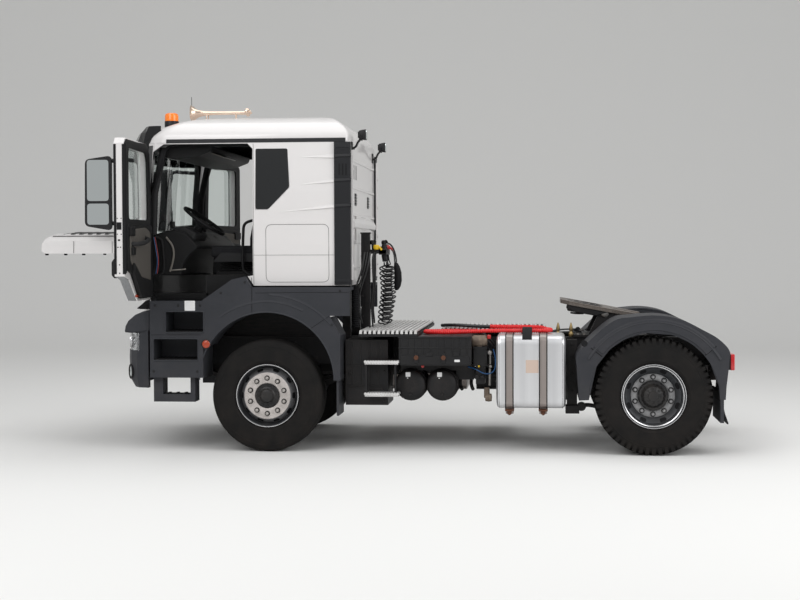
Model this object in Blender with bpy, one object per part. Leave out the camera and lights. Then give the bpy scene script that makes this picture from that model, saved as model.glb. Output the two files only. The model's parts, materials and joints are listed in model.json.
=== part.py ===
# Two-axle tractor unit with a medium cab, its left door open and its front flap raised.
# Truck frame: x runs rearwards from the front axle, y to the truck's right, z up from the ground.

import math

import bmesh
import bpy
from mathutils import Matrix, Vector

# Driving dimensions of the running gear, in metres
WHEELBASE = 3.6
FRONT_TYRE_RADIUS = 0.53
REAR_TYRE_RADIUS = 0.545
TYRE_WIDTH = 0.314
RIM_RADIUS = 0.2985
RIM_WALL = 0.022
RIM_WIDTH = 0.285
FRONT_WHEEL_Y = 1.02
REAR_OUTER_Y = 1.07
REAR_INNER_Y = 0.745
KINGPIN_Y = 0.90
FRAME_HALF = 0.43
FRAME_TOP = 1.05
FRAME_HEIGHT = 0.27
FRAME_FLANGE = 0.08
FRAME_WEB = 0.012
FRAME_FRONT = -1.10
FRAME_REAR = 4.24

# Fits and allowances
FIT = 0.0003
RUN = 0.006
OVERRUN = 0.05
SINK = 0.004

# Driving dimensions of the cab
CAB_HALF = 1.13
CAB_WALL = 0.05
CAB_CORNER_X = -0.95
CAB_REAR = 0.775
CAB_LOW = 1.30
CAB_TOP = 2.922
SILL_HEIGHT = 1.44
SIDE_LOW = 1.567
ROOF_JOINT = FIT
ROOF_HEIGHT = 0.245
CAB_NOSE = 0.45
TILT_X = -1.30
TILT_Z = 0.95

# Doors
HINGE_X = -1.175
HINGE_Y = CAB_HALF - 0.035
DOOR_THICKNESS = 0.09
DOOR_GAP = 0.008
DOOR_FRONT = -1.145
DOOR_REAR = -0.145
DOOR_TOP = 2.90
LEFT_DOOR_ANGLE = math.radians(88)
RIGHT_DOOR_ANGLE = math.radians(78)

# Front flap
FLAP_HINGE_X = -1.43
FLAP_HINGE_Z = 2.04
FLAP_LOW = 1.235
FLAP_TOP = 2.03
FLAP_HALF = CAB_HALF - 0.145
FLAP_WALL = 0.03
FLAP_FRONT = FLAP_HINGE_X - 0.04
FLAP_DEPTH = 0.205
FLAP_CORNER = 0.055
FLAP_POWER = 5.0
FLAP_OPEN_ANGLE = math.radians(90)

# Fifth wheel
FIFTH_X = WHEELBASE - 0.413
FIFTH_Z = 1.277
FIFTH_REST_ANGLE = math.radians(10.5)

# The whole truck is set down so that its box is centred over the origin
SHIFT_X = -1.048
SHIFT_Y = 0.0

COLOURS = {
    "white_paint": ((0.80, 0.80, 0.80, 1.0), 0.3, 0.0),
    "grey_plastic": ((0.045, 0.047, 0.053, 1.0), 0.55, 0.0),
    "black_plastic": ((0.012, 0.012, 0.013, 1.0), 0.5, 0.0),
    "chassis_black": ((0.010, 0.010, 0.011, 1.0), 0.45, 0.1),
    "rubber": ((0.012, 0.012, 0.012, 1.0), 0.85, 0.0),
    "rim_silver": ((0.42, 0.42, 0.43, 1.0), 0.4, 0.7),
    "aluminium": ((0.62, 0.63, 0.65, 1.0), 0.35, 0.9),
    "stainless": ((0.45, 0.43, 0.42, 1.0), 0.35, 0.9),
    "glass": ((0.55, 0.62, 0.60, 1.0), 0.05, 0.0),
    "lamp_lens": ((0.70, 0.72, 0.74, 1.0), 0.1, 0.0),
    "amber_lens": ((0.9, 0.25, 0.02, 1.0), 0.2, 0.0),
    "chrome": ((0.80, 0.62, 0.50, 1.0), 0.12, 1.0),
    "cabin_trim": ((0.03, 0.03, 0.03, 1.0), 0.7, 0.0),
    "seat_cloth": ((0.03, 0.03, 0.035, 1.0), 0.9, 0.0),
    "red_hose": ((0.75, 0.02, 0.02, 1.0), 0.4, 0.0),
}

for old in list(bpy.data.objects):
    bpy.data.objects.remove(old, do_unlink=True)


# Shapes

def material(name):
    """One Principled material for each named finish, made once."""
    made = bpy.data.materials.get(name)
    if made:
        return made
    colour, roughness, metallic = COLOURS[name]
    made = bpy.data.materials.new(name)
    made.use_nodes = True
    shader = made.node_tree.nodes["Principled BSDF"]
    shader.inputs["Base Color"].default_value = colour
    shader.inputs["Roughness"].default_value = roughness
    shader.inputs["Metallic"].default_value = metallic
    return made


def spread(shares, low, high):
    """Points given as shares of a rectangle from low to high."""
    return [tuple(a + (b - a) * share for a, b, share in zip(low, high, point)) for point in shares]


def rounded(points, radius, steps=3):
    """The outline with each corner replaced by an arc."""
    result = []
    count = len(points)
    for index, point in enumerate(points):
        corner = Vector(point)
        before = Vector(points[index - 1]) - corner
        after = Vector(points[(index + 1) % count]) - corner
        reach = min(radius, before.length * 0.45, after.length * 0.45)
        start = corner + before.normalized() * reach
        end = corner + after.normalized() * reach
        for step in range(steps + 1):
            t = step / steps
            result.append(tuple(start * (1 - t) ** 2 + corner * 2 * t * (1 - t) + end * t ** 2))
    return result


def rectangle(low, high):
    return [(low[0], low[1]), (high[0], low[1]), (high[0], high[1]), (low[0], high[1])]


AXES = {"x": (1, 2, 0), "y": (0, 2, 1), "z": (0, 1, 2)}


def prism(axis, outline, low, high):
    """A flat outline pushed along one axis; it lies in the other two axes, in order."""
    first, second, along = AXES[axis]
    shape = bmesh.new()
    rows = []
    for level in (low, high):
        row = []
        for a, b in outline:
            place = [0.0, 0.0, 0.0]
            place[first], place[second], place[along] = a, b, level
            row.append(shape.verts.new(place))
        rows.append(row)
    return closed(shape, rows)


def closed(shape, rows, ring=False):
    """Walls between rows of points, with caps on the first and last or joined in a ring."""
    count = len(rows[0])
    pairs = list(zip(rows, rows[1:]))
    if ring:
        pairs.append((rows[-1], rows[0]))
    for lower, upper in pairs:
        for index in range(count):
            after = (index + 1) % count
            shape.faces.new((lower[index], lower[after], upper[after], upper[index]))
    if not ring:
        shape.faces.new(rows[0][::-1])
        shape.faces.new(rows[-1])
    bmesh.ops.recalc_face_normals(shape, faces=shape.faces)
    return shape


def block(low, high):
    return prism("z", rectangle(low, high), low[2], high[2])


def pair_block(side, low, high):
    """A block whose y runs outwards on the given side, -1 for left and 1 for right."""
    inner, outer = sorted((side * low[1], side * high[1]))
    return block((low[0], inner, low[2]), (high[0], outer, high[2]))


def loft(rings):
    shape = bmesh.new()
    rows = [[shape.verts.new(point) for point in ring] for ring in rings]
    return closed(shape, rows)


def turned(axis, profile, centre, steps, whole=True):
    """A profile of (radius, place along the axis) turned about an axis through centre."""
    first, second, along = AXES[axis]
    shape = bmesh.new()
    rows = []
    for step in range(steps):
        angle = 2 * math.pi * step / steps - math.pi / 2
        row = []
        for radius, offset in profile:
            place = [0.0, 0.0, 0.0]
            place[first] = centre[first] + radius * math.cos(angle)
            place[second] = centre[second] + radius * math.sin(angle)
            place[along] = centre[along] + offset
            row.append(shape.verts.new(place))
        rows.append(row)
    if whole:
        return closed(shape, rows, ring=True)
    for row, after in zip(rows, rows[1:] + rows[:1]):
        for index in range(len(profile) - 1):
            shape.faces.new((row[index], row[index + 1], after[index + 1], after[index]))
    shape.faces.new([row[0] for row in rows])
    shape.faces.new([row[-1] for row in rows][::-1])
    bmesh.ops.recalc_face_normals(shape, faces=shape.faces)
    return shape


def rod(start, end, radius, sides=10):
    """A round bar from one point to another."""
    start, end = Vector(start), Vector(end)
    run = end - start
    turn = run.to_track_quat("Z", "Y").to_matrix()
    shape = bmesh.new()
    rows = []
    for level in (0.0, run.length):
        rows.append([shape.verts.new(start + turn @ Vector((
            radius * math.cos(2 * math.pi * side / sides),
            radius * math.sin(2 * math.pi * side / sides), level))) for side in range(sides)])
    return closed(shape, rows)


def tube(points, radius, sides=8):
    """A bar swept along points."""
    path = [Vector(point) for point in points]
    shape = bmesh.new()
    rows = []
    side_way = None
    for index, point in enumerate(path):
        run = path[min(index + 1, len(path) - 1)] - path[max(index - 1, 0)]
        run.normalize()
        if side_way is None:
            side_way = run.orthogonal().normalized()
        side_way = (side_way - run * side_way.dot(run)).normalized()
        up_way = run.cross(side_way)
        rows.append([shape.verts.new(point + radius * (
            side_way * math.cos(2 * math.pi * side / sides) + up_way * math.sin(2 * math.pi * side / sides)))
            for side in range(sides)])
    return closed(shape, rows)


def temporary(shape):
    mesh = bpy.data.meshes.new("temporary")
    shape.to_mesh(mesh)
    shape.free()
    carrier = bpy.data.objects.new("temporary", mesh)
    bpy.context.scene.collection.objects.link(carrier)
    return carrier


def combined(base, others, operation):
    """A Boolean of a base shape with others, worked out at once."""
    carrier = temporary(base)
    tools = [temporary(other) for other in others]
    for tool in tools:
        modifier = carrier.modifiers.new("combine", "BOOLEAN")
        modifier.operation = operation
        modifier.object = tool
    worked = carrier.evaluated_get(bpy.context.evaluated_depsgraph_get())
    result = bmesh.new()
    result.from_mesh(worked.to_mesh())
    for used in tools + [carrier]:
        mesh = used.data
        bpy.data.objects.remove(used, do_unlink=True)
        bpy.data.meshes.remove(mesh)
    return result


def joined(*shapes):
    return combined(shapes[0], shapes[1:], "UNION")


def carved(base, *cutters):
    return combined(base, cutters, "DIFFERENCE")


def shared(base, *others):
    return combined(base, others, "INTERSECT")


def sided(shape, side):
    """A shape drawn on the right side, mirrored for the left one."""
    if side < 0:
        bmesh.ops.scale(shape, vec=(1, -1, 1), verts=shape.verts)
        bmesh.ops.reverse_faces(shape, faces=shape.faces)
    return shape


# Pivots: one empty for each moving body, on its joint's axis

PIVOTS = {}


def pivot(name, place, parent=None, turn=(0, 0, 0)):
    empty = bpy.data.objects.new(name, None)
    bpy.context.scene.collection.objects.link(empty)
    place = Vector(place)
    if parent:
        holder, holder_place = PIVOTS[parent]
        empty.parent = holder
        empty.location = place - holder_place
    else:
        empty.location = place
    empty.rotation_euler = turn
    PIVOTS[name] = (empty, place)


def piece(name, shape, finish, body, smooth=True):
    """A named object made from a shape in the truck frame, parented to its body's pivot."""
    holder, place = PIVOTS[body]
    bmesh.ops.translate(shape, vec=-place, verts=shape.verts)
    bmesh.ops.remove_doubles(shape, verts=shape.verts, dist=FIT / 10)
    mesh = bpy.data.meshes.new(name)
    shape.to_mesh(mesh)
    shape.free()
    mesh.materials.append(material(finish))
    if smooth:
        mesh.shade_smooth()
        mesh.set_sharp_from_angle(angle=math.radians(35))
    made = bpy.data.objects.new(name, mesh)
    bpy.context.scene.collection.objects.link(made)
    made.parent = holder
    return made


SIDES = (("left", -1), ("right", 1))


def make_pivots():
    pivot("truck", (0, 0, 0))
    PIVOTS["truck"][0].location = (SHIFT_X, SHIFT_Y, 0)
    pivot("cab_pivot", (TILT_X, 0, TILT_Z), "truck")
    pivot("flap_pivot", (FLAP_HINGE_X, 0, FLAP_HINGE_Z), "cab_pivot", (0, FLAP_OPEN_ANGLE, 0))
    pivot("fifth_pivot", (FIFTH_X, 0, FIFTH_Z), "truck", (0, FIFTH_REST_ANGLE, 0))
    for label, side in SIDES:
        opened = -LEFT_DOOR_ANGLE if side < 0 else RIGHT_DOOR_ANGLE
        pivot(label + "_door_pivot", (HINGE_X, side * HINGE_Y, SILL_HEIGHT), "cab_pivot", (0, 0, opened))
        pivot(label + "_kingpin", (0, side * KINGPIN_Y, FRONT_TYRE_RADIUS), "truck")
        pivot(label + "_front_hub", (0, side * FRONT_WHEEL_Y, FRONT_TYRE_RADIUS), label + "_kingpin")
        pivot(label + "_rear_hub", (WHEELBASE, side * REAR_OUTER_Y, REAR_TYRE_RADIUS), "truck")


# Wheels

WHEEL_STEPS = 24
TYRE_BORE = RIM_RADIUS + 0.0008
# Tyre section: share of the wall height, share of the half width
TYRE_SHARES = ((0.0, 0.82), (0.22, 0.96), (0.55, 1.0), (0.84, 0.95), (0.955, 0.84), (1.0, 0.66))


def tyre(radius, centre):
    wall = radius - TYRE_BORE
    half = TYRE_WIDTH / 2
    upper = [(TYRE_BORE + wall * height, half * width) for height, width in TYRE_SHARES]
    lower = [(radial, -offset) for radial, offset in reversed(upper)]
    return turned("y", upper + lower, centre, WHEEL_STEPS)


HUB_RADIUS = 0.115
HUB_BORE = 0.062
HUB_REACH = 0.045
DISC_THICKNESS = 0.016
BOLT_RING_RADIUS = 0.1675
FLANGE_PLATE_RADIUS = 0.215
FRONT_DISC_SET = 0.035
RIM_BARREL = RIM_RADIUS - RIM_WALL


def front_rim(side, centre):
    """A single rim whose disc stands out, with its hub cap, as one turned section."""
    half = RIM_WIDTH / 2
    out = half - FRONT_DISC_SET
    profile = [
        (RIM_RADIUS, half), (RIM_BARREL, half), (RIM_BARREL, out - RIM_WALL * 2),
        (FLANGE_PLATE_RADIUS, out), (HUB_RADIUS, out), (HUB_RADIUS, out + HUB_REACH),
        (HUB_BORE, out + HUB_REACH + DISC_THICKNESS), (HUB_BORE, out - DISC_THICKNESS * 2),
        (FLANGE_PLATE_RADIUS, out - DISC_THICKNESS), (RIM_BARREL, out - RIM_WALL * 2 - DISC_THICKNESS * 2),
        (RIM_BARREL, -half), (RIM_RADIUS, -half)]
    return sided(turned("y", profile, (centre[0], abs(centre[1]), centre[2]), WHEEL_STEPS), side)


REAR_DISC_DEPTH = 0.075
REAR_HUB_RADIUS = 0.10
REAR_HUB_REACH = 0.10


def rear_rim(side, centre):
    """Twin rims back to back, joined by their discs and the hub."""
    half = RIM_WIDTH / 2
    inward = REAR_INNER_Y - REAR_OUTER_Y
    deep = half - REAR_DISC_DEPTH - RIM_WALL * 3
    profile = [
        (RIM_RADIUS, half), (RIM_BARREL, half), (RIM_BARREL, deep + RIM_WALL * 2),
        (FLANGE_PLATE_RADIUS, deep), (REAR_HUB_RADIUS, deep), (REAR_HUB_RADIUS, deep + REAR_HUB_REACH),
        (HUB_BORE, deep + REAR_HUB_REACH), (HUB_BORE, inward),
        (FLANGE_PLATE_RADIUS, inward), (RIM_BARREL, inward - half),
        (RIM_RADIUS, inward - half), (RIM_RADIUS, inward + half), (RIM_BARREL, inward + half),
        (RIM_BARREL, -half), (RIM_RADIUS, -half)]
    return sided(turned("y", profile, (centre[0], abs(centre[1]), centre[2]), WHEEL_STEPS), side)


def make_wheels():
    for label, side in SIDES:
        front = (0, side * FRONT_WHEEL_Y, FRONT_TYRE_RADIUS)
        piece(label + "_front_tyre", tyre(FRONT_TYRE_RADIUS, front), "rubber", label + "_front_hub")
        piece(label + "_front_rim", front_rim(side, front), "rim_silver", label + "_front_hub")
        outer = (WHEELBASE, side * REAR_OUTER_Y, REAR_TYRE_RADIUS)
        inner = (WHEELBASE, side * REAR_INNER_Y, REAR_TYRE_RADIUS)
        piece(label + "_rear_tyre_outer", tyre(REAR_TYRE_RADIUS, outer), "rubber", label + "_rear_hub")
        piece(label + "_rear_tyre_inner", tyre(REAR_TYRE_RADIUS, inner), "rubber", label + "_rear_hub")
        piece(label + "_rear_rims", rear_rim(side, outer), "rim_silver", label + "_rear_hub")


# Axles and knuckles

SPINDLE_RADIUS = HUB_BORE * math.cos(math.pi / WHEEL_STEPS) - FIT
BOSS_RADIUS = 0.06
BOSS_HALF = 0.05
FORK_THICKNESS = 0.035
FORK_LENGTH = 0.10
BRAKE_RADIUS = 0.20
BRAKE_WIDTH = 0.05
BEAM_DEPTH = 0.10
BEAM_HEIGHT = 0.09
BEAM_DROP = 0.10
BEAM_END = 0.06
SPRING_Y = FRAME_HALF - 0.01
SPRING_WIDTH = 0.08
SPRING_LEAF = 0.045
FRONT_SPRING_HALF = 0.72
REAR_SPRING_HALF = 0.635
REAR_SPRING_SET = 0.055
SPRING_SAG = 0.09
HANGER_GAP = FIT * 2
REAR_SPRING_Y = FRAME_HALF + 0.075
AXLE_RADIUS = 0.075
AXLE_CLEAR = 0.03
DIFF_RADIUS = 0.20
DIFF_HALF = 0.17


def spring(centre_x, half, low, eye_z, y):
    """A leaf spring seen from the side: a shallow arc whose ends rise to the eyes."""
    steps = 6
    upper, lower = [], []
    for step in range(steps + 1):
        share = 2 * step / steps - 1
        base = low + (eye_z - low) * share * share
        lower.append((centre_x + half * share, base))
        upper.append((centre_x + half * share, base + SPRING_LEAF * (1.6 - share * share * 0.8)))
    return prism("y", lower + upper[::-1], y - SPRING_WIDTH / 2, y + SPRING_WIDTH / 2)


def make_front_axle():
    middle = FRONT_TYRE_RADIUS
    drop = middle - BEAM_DROP
    neck = KINGPIN_Y - BOSS_RADIUS / 2
    inner = SPRING_Y + SPRING_WIDTH
    half = BEAM_HEIGHT / 2
    right = [(inner, drop - half), (neck - BEAM_END, middle - half), (neck, middle - half), (neck, middle + half),
             (neck - BEAM_END, middle + half), (inner, drop + half)]
    outline = right + [(-y, z) for y, z in right[::-1]]
    shapes = [prism("x", outline, -BEAM_DEPTH / 2, BEAM_DEPTH / 2)]
    for side in (-1, 1):
        shapes.append(rod((0, side * KINGPIN_Y, middle - BOSS_HALF), (0, side * KINGPIN_Y, middle + BOSS_HALF),
                          BOSS_RADIUS, 16))
        shapes.append(spring(0, FRONT_SPRING_HALF, drop + half - SINK, FRAME_TOP - FRAME_HEIGHT - SPRING_SAG,
                             side * SPRING_Y))
    piece("front_axle", joined(*shapes), "chassis_black", "truck")


def make_rear_axle():
    low = REAR_TYRE_RADIUS + AXLE_RADIUS - SINK * 2
    reach = REAR_INNER_Y - TYRE_WIDTH / 2 - AXLE_CLEAR
    centre = (WHEELBASE, 0, REAR_TYRE_RADIUS)
    end = REAR_OUTER_Y + RIM_WIDTH / 2 - REAR_DISC_DEPTH - RIM_WALL * 3 + REAR_HUB_REACH
    ball = [(HUB_BORE, -DIFF_HALF), (DIFF_RADIUS * 0.7, -DIFF_HALF * 0.8), (DIFF_RADIUS, 0),
            (DIFF_RADIUS * 0.7, DIFF_HALF * 0.8), (HUB_BORE, DIFF_HALF)]
    profile = [(SPINDLE_RADIUS, -end), (SPINDLE_RADIUS, -reach), (AXLE_RADIUS, -reach),
               (AXLE_RADIUS, reach), (SPINDLE_RADIUS, reach), (SPINDLE_RADIUS, end)]
    shapes = [turned("y", profile, centre, 18, whole=False), turned("y", ball, centre, 18, whole=False)]
    for side in (-1, 1):
        shapes.append(spring(WHEELBASE - REAR_SPRING_SET, REAR_SPRING_HALF, low, FRAME_TOP - FRAME_HEIGHT - SPRING_SAG,
                             side * REAR_SPRING_Y))
    piece("rear_axle", joined(*shapes), "chassis_black", "truck")


def make_knuckles():
    for label, side in SIDES:
        middle = FRONT_TYRE_RADIUS
        web = KINGPIN_Y + BOSS_RADIUS + RUN
        top = BOSS_HALF + HANGER_GAP
        fork_in = KINGPIN_Y - BOSS_RADIUS / 2
        shapes = [pair_block(side, (-BOSS_RADIUS, web, middle - top - FORK_THICKNESS),
                             (BOSS_RADIUS, web + FORK_THICKNESS, middle + top + FORK_THICKNESS))]
        for low in (middle + top, middle - top - FORK_THICKNESS):
            shapes.append(pair_block(side, (-BOSS_RADIUS * 0.8, fork_in, low),
                                     (BOSS_RADIUS * 0.8, web + SINK, low + FORK_THICKNESS)))
        tip = FRONT_WHEEL_Y + RIM_WIDTH / 2 - FRONT_DISC_SET + HUB_REACH
        shapes.append(rod((0, side * web, middle), (0, side * tip, middle), SPINDLE_RADIUS, 18))
        brake = web + FORK_THICKNESS - SINK
        shapes.append(rod((0, side * brake, middle), (0, side * (brake + BRAKE_WIDTH), middle), BRAKE_RADIUS, 18))
        piece(label + "_knuckle", joined(*shapes), "chassis_black", label + "_kingpin")


# Frame

CROSSMEMBER_XS = (-1.05, 1.20, 1.80, 2.35, 2.95, 4.10)
CROSSMEMBER_LENGTH = 0.09
CROSSMEMBER_HEIGHT = 0.16
HANGER_LENGTH = 0.09
HANGER_OUT = 0.13
REAR_HANGER_LOW = 0.36
TILT_EAR = 0.045
TILT_PIN = 0.03
TILT_ARM = 0.05
TILT_ARM_FRONT = -1.112
TILT_ARM_REAR = -1.04
CAB_POST_X = 0.62
CAB_POST_SIDE = 0.08


def make_frame():
    bottom = FRAME_TOP - FRAME_HEIGHT
    shapes = []
    for side in (-1, 1):
        web = side * FRAME_HALF
        inner = side * (FRAME_HALF - FRAME_FLANGE)
        skin = side * (FRAME_HALF - FRAME_WEB)
        outline = [(web, bottom), (inner, bottom), (inner, bottom + FRAME_WEB), (skin, bottom + FRAME_WEB),
                   (skin, FRAME_TOP - FRAME_WEB), (inner, FRAME_TOP - FRAME_WEB), (inner, FRAME_TOP),
                   (web, FRAME_TOP)]
        shapes.append(prism("x", outline, FRAME_FRONT, FRAME_REAR))
        for centre_x, half, y in ((0, FRONT_SPRING_HALF, SPRING_Y),
                                  (WHEELBASE - REAR_SPRING_SET, REAR_SPRING_HALF, REAR_SPRING_Y)):
            for way in (-1, 1):
                eye = centre_x + way * (half + HANGER_GAP)
                x0, x1 = sorted((eye, eye + way * HANGER_LENGTH))
                low = REAR_HANGER_LOW if (centre_x and way < 0) else bottom - SPRING_SAG - SPRING_LEAF
                shapes.append(pair_block(side, (x0, FRAME_HALF - FRAME_FLANGE, low),
                                         (x1, y + SPRING_WIDTH / 2, bottom + SINK)))
    for x in CROSSMEMBER_XS:
        edge = FRAME_HALF - FRAME_WEB / 2
        low = FRAME_TOP - FRAME_WEB - CROSSMEMBER_HEIGHT
        shapes.append(block((x, -edge, low), (x + CROSSMEMBER_LENGTH, edge, low + CROSSMEMBER_HEIGHT)))
    for side in (-1, 1):
        shapes.append(pair_block(side, (TILT_X - TILT_EAR, FRAME_HALF - TILT_EAR, TILT_Z - TILT_EAR),
                                 (FRAME_FRONT + OVERRUN, FRAME_HALF, TILT_Z + TILT_EAR)))
        shapes.append(pair_block(side, (CAB_POST_X, FRAME_HALF - CAB_POST_SIDE, FRAME_TOP - SINK),
                                 (CAB_POST_X + CAB_POST_SIDE, FRAME_HALF, SIDE_LOW - FIT)))
    piece("frame", joined(*shapes), "chassis_black", "truck", smooth=False)


ENGINE_HALF = FRAME_HALF - 0.10
ENGINE_FRONT = -0.90
ENGINE_REAR = 0.35
ENGINE_LOW = 0.66
ENGINE_HIGH = 1.36
GEARBOX_RADIUS = 0.20
GEARBOX_REAR = 1.15
SHAFT_RADIUS = 0.055
SHAFT_HEIGHT = 0.74


def make_engine():
    """The engine as one block, with its gearbox and the shaft to the rear axle."""
    nose = WHEELBASE - DIFF_RADIUS - HANGER_GAP
    shapes = [block((ENGINE_FRONT, -ENGINE_HALF, ENGINE_LOW), (ENGINE_REAR, ENGINE_HALF, ENGINE_HIGH)),
              rod((ENGINE_REAR - OVERRUN, 0, SHAFT_HEIGHT + GEARBOX_RADIUS / 2),
                  (GEARBOX_REAR, 0, SHAFT_HEIGHT + GEARBOX_RADIUS / 2), GEARBOX_RADIUS, 14),
              rod((GEARBOX_REAR - OVERRUN, 0, SHAFT_HEIGHT), (nose, 0, REAR_TYRE_RADIUS), SHAFT_RADIUS, 10)]
    piece("engine", joined(*shapes), "chassis_black", "truck", smooth=False)


# Bumper with its headlamps

BUMPER_HALF = CAB_HALF + 0.04
BUMPER_REAR = -1.14
BUMPER_FRONT = -1.475
BUMPER_WALL = 0.07
BUMPER_TOP = 1.215
BUMPER_LOW = 0.60
# Bumper levels: share of the height, share of the depth that the face keeps
BUMPER_LEVEL_SHARES = ((0.0, 0.80), (0.12, 0.97), (0.45, 1.0), (0.92, 0.95), (1.0, 0.90))
LAMP_LOW = 0.953
LAMP_HIGH = 1.120
LAMP_INNER = 0.72
LAMP_REAR = -1.235
NOSE_POWER_SHARE = 2.6
NOSE_STEPS = 6
BUMPER_ARM_LOW = 0.80
BUMPER_ARM_HIGH = 0.87
BUMPER_ARM_WIDTH = 0.10


def nose_ring(z, front, corner, half, rear, power=NOSE_POWER_SHARE, tail=0.0):
    """A plan outline: a bowed front from side to side, straight sides and a straight rear."""
    side_points = []
    for step in range(NOSE_STEPS + 1):
        angle = math.pi / 2 * step / NOSE_STEPS
        y = half * math.sin(angle) ** (2 / power)
        x = corner - (corner - front) * math.cos(angle) ** (2 / power)
        side_points.append((x, y))
    side_points[-1] = (corner, half)
    if tail:
        side_points += [(rear - tail, half), (rear, half - tail)]
    else:
        side_points.append((rear, half))
    right = [(x, y, z) for x, y in side_points]
    left = [(x, -y, z) for x, y in side_points[:0:-1]]
    return right + left


def bumper_solid(inset):
    rings = []
    height = BUMPER_TOP - BUMPER_LOW
    for level, depth in BUMPER_LEVEL_SHARES:
        front = BUMPER_REAR + (BUMPER_FRONT - BUMPER_REAR) * depth
        z = BUMPER_LOW + height * level
        rings.append(nose_ring(z, front + inset, BUMPER_REAR - inset / 2, BUMPER_HALF - inset,
                               BUMPER_REAR + OVERRUN * bool(inset)))
    if inset:
        low, high = rings[0], rings[-1]
        rings = [[(x, y, z - OVERRUN) for x, y, z in low]] + rings + [[(x, y, z + OVERRUN) for x, y, z in high]]
    return loft(rings)


def lamp_box(side, grow):
    return pair_block(side, (BUMPER_FRONT - OVERRUN, LAMP_INNER - grow, LAMP_LOW - grow),
                      (LAMP_REAR + grow, BUMPER_HALF + OVERRUN, LAMP_HIGH + grow))


def make_bumper():
    shell = carved(bumper_solid(0), bumper_solid(BUMPER_WALL), lamp_box(-1, 0), lamp_box(1, 0))
    arms = [pair_block(side, (BUMPER_FRONT + BUMPER_WALL / 2, FRAME_HALF - BUMPER_ARM_WIDTH, BUMPER_ARM_LOW),
                       (FRAME_FRONT - FIT, FRAME_HALF, BUMPER_ARM_HIGH)) for side in (-1, 1)]
    piece("bumper", joined(shell, *arms), "grey_plastic", "truck")
    for label, side in SIDES:
        lamp = carved(shared(bumper_solid(0), lamp_box(side, -FIT)), bumper_solid(BUMPER_WALL))
        piece(label + "_headlamp", lamp, "lamp_lens", "truck")


# Front fender with the entry steps, drawn on the right side

ARCH_RADIUS = 0.64
ARCH_Z = 0.68
CLAD_OUT = CAB_HALF + 0.075
CLAD_IN = CAB_HALF - 0.33
CLAD_SKIN = 0.03
STEP_FRONT = -1.115
STEP_REAR = -0.60
STEP_LOW = 0.70
STEP_IN = CAB_HALF - 0.25
STEP_TOP = 1.425
CLAD_REAR = 0.79
CLAD_REAR_LOW = 1.285
CLAD_TOP = 1.553
BUMP_TOP = 1.655
MUDGUARD_REAR = 0.70
FLAP_RUBBER_LOW = 0.345
FLAP_RUBBER_THICK = 0.02
HANG_LOW = 0.465
HANG_FRONT = -1.10
HANG_REAR = -0.70
HANG_BAR = 0.045
HANG_OUT = CAB_HALF
FENDER_ARM_FRONT = -0.86
FENDER_ARM_LENGTH = 0.10
FENDER_ARM_LOW = 0.90
FENDER_ARM_HEIGHT = 0.09
# Step recesses: low and high edge, front and rear edge
STEP_RECESSES = (("upper", 1.129, 1.323, -0.962, -0.600), ("lower", 0.865, 1.066, -1.080, -0.655))


def arch_points(radius, start, end, steps):
    return [(radius * math.sin(math.radians(start + (end - start) * step / steps)),
             ARCH_Z + radius * math.cos(math.radians(start + (end - start) * step / steps)))
            for step in range(steps + 1)]


def make_front_fenders():
    for label, side in SIDES:
        arch = arch_points(ARCH_RADIUS, -60, 90, 12)
        skin = [(STEP_FRONT, STEP_LOW), (STEP_REAR, STEP_LOW), (STEP_REAR, ARCH_Z + ARCH_RADIUS * 0.5)] + arch + [
            (MUDGUARD_REAR, ARCH_Z), (MUDGUARD_REAR, 1.10), (0.60, CLAD_REAR_LOW), (CLAD_REAR, CLAD_REAR_LOW),
            (CLAD_REAR, CLAD_TOP), (-0.14, CLAD_TOP), (-0.20, BUMP_TOP), (-0.33, 1.625), (-0.62, STEP_TOP),
            (STEP_FRONT, STEP_TOP)]
        shell = prism("y", skin, CLAD_IN, CLAD_OUT)
        under = [(STEP_REAR + CLAD_SKIN, 1.05)] + arch_points(ARCH_RADIUS + CLAD_SKIN, -56, 84, 10) + [
            (0.66, 1.08), (0.58, CLAD_REAR_LOW - 0.02), (CLAD_REAR + OVERRUN, CLAD_REAR_LOW - 0.02),
            (CLAD_REAR + OVERRUN, CLAD_TOP - CLAD_SKIN), (-0.12, CLAD_TOP - CLAD_SKIN), (-0.20, BUMP_TOP - CLAD_SKIN),
            (-0.33, 1.595), (-0.56, 1.43)]
        cutters = [prism("y", under, CLAD_IN - OVERRUN, CLAD_OUT - CLAD_SKIN)]
        for name, low, high, front, rear in STEP_RECESSES:
            cutters.append(block((front, STEP_IN, low), (rear, CLAD_OUT + OVERRUN, high)))
        shell = carved(shell, *cutters)
        rubber = block((MUDGUARD_REAR - FLAP_RUBBER_THICK * 2, CLAD_IN + SINK, FLAP_RUBBER_LOW),
                       (MUDGUARD_REAR - FLAP_RUBBER_THICK, CLAD_OUT - CLAD_SKIN, ARCH_Z + OVERRUN))
        hang = carved(block((HANG_FRONT, HANG_OUT - HANG_BAR * 4, HANG_LOW), (HANG_REAR, HANG_OUT, STEP_LOW + SINK)),
                      block((HANG_FRONT + HANG_BAR * 2, 0.5, HANG_LOW + HANG_BAR * 1.6),
                            (HANG_REAR - HANG_BAR, CLAD_OUT, STEP_LOW - SINK)))
        arm = block((FENDER_ARM_FRONT, FRAME_HALF + FIT, FENDER_ARM_LOW),
                    (FENDER_ARM_FRONT + FENDER_ARM_LENGTH, CLAD_IN + SINK, FENDER_ARM_LOW + FENDER_ARM_HEIGHT))
        piece(label + "_front_fender", sided(joined(shell, rubber, hang, arm), side), "grey_plastic", "truck")


# Left and right chassis gear

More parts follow.
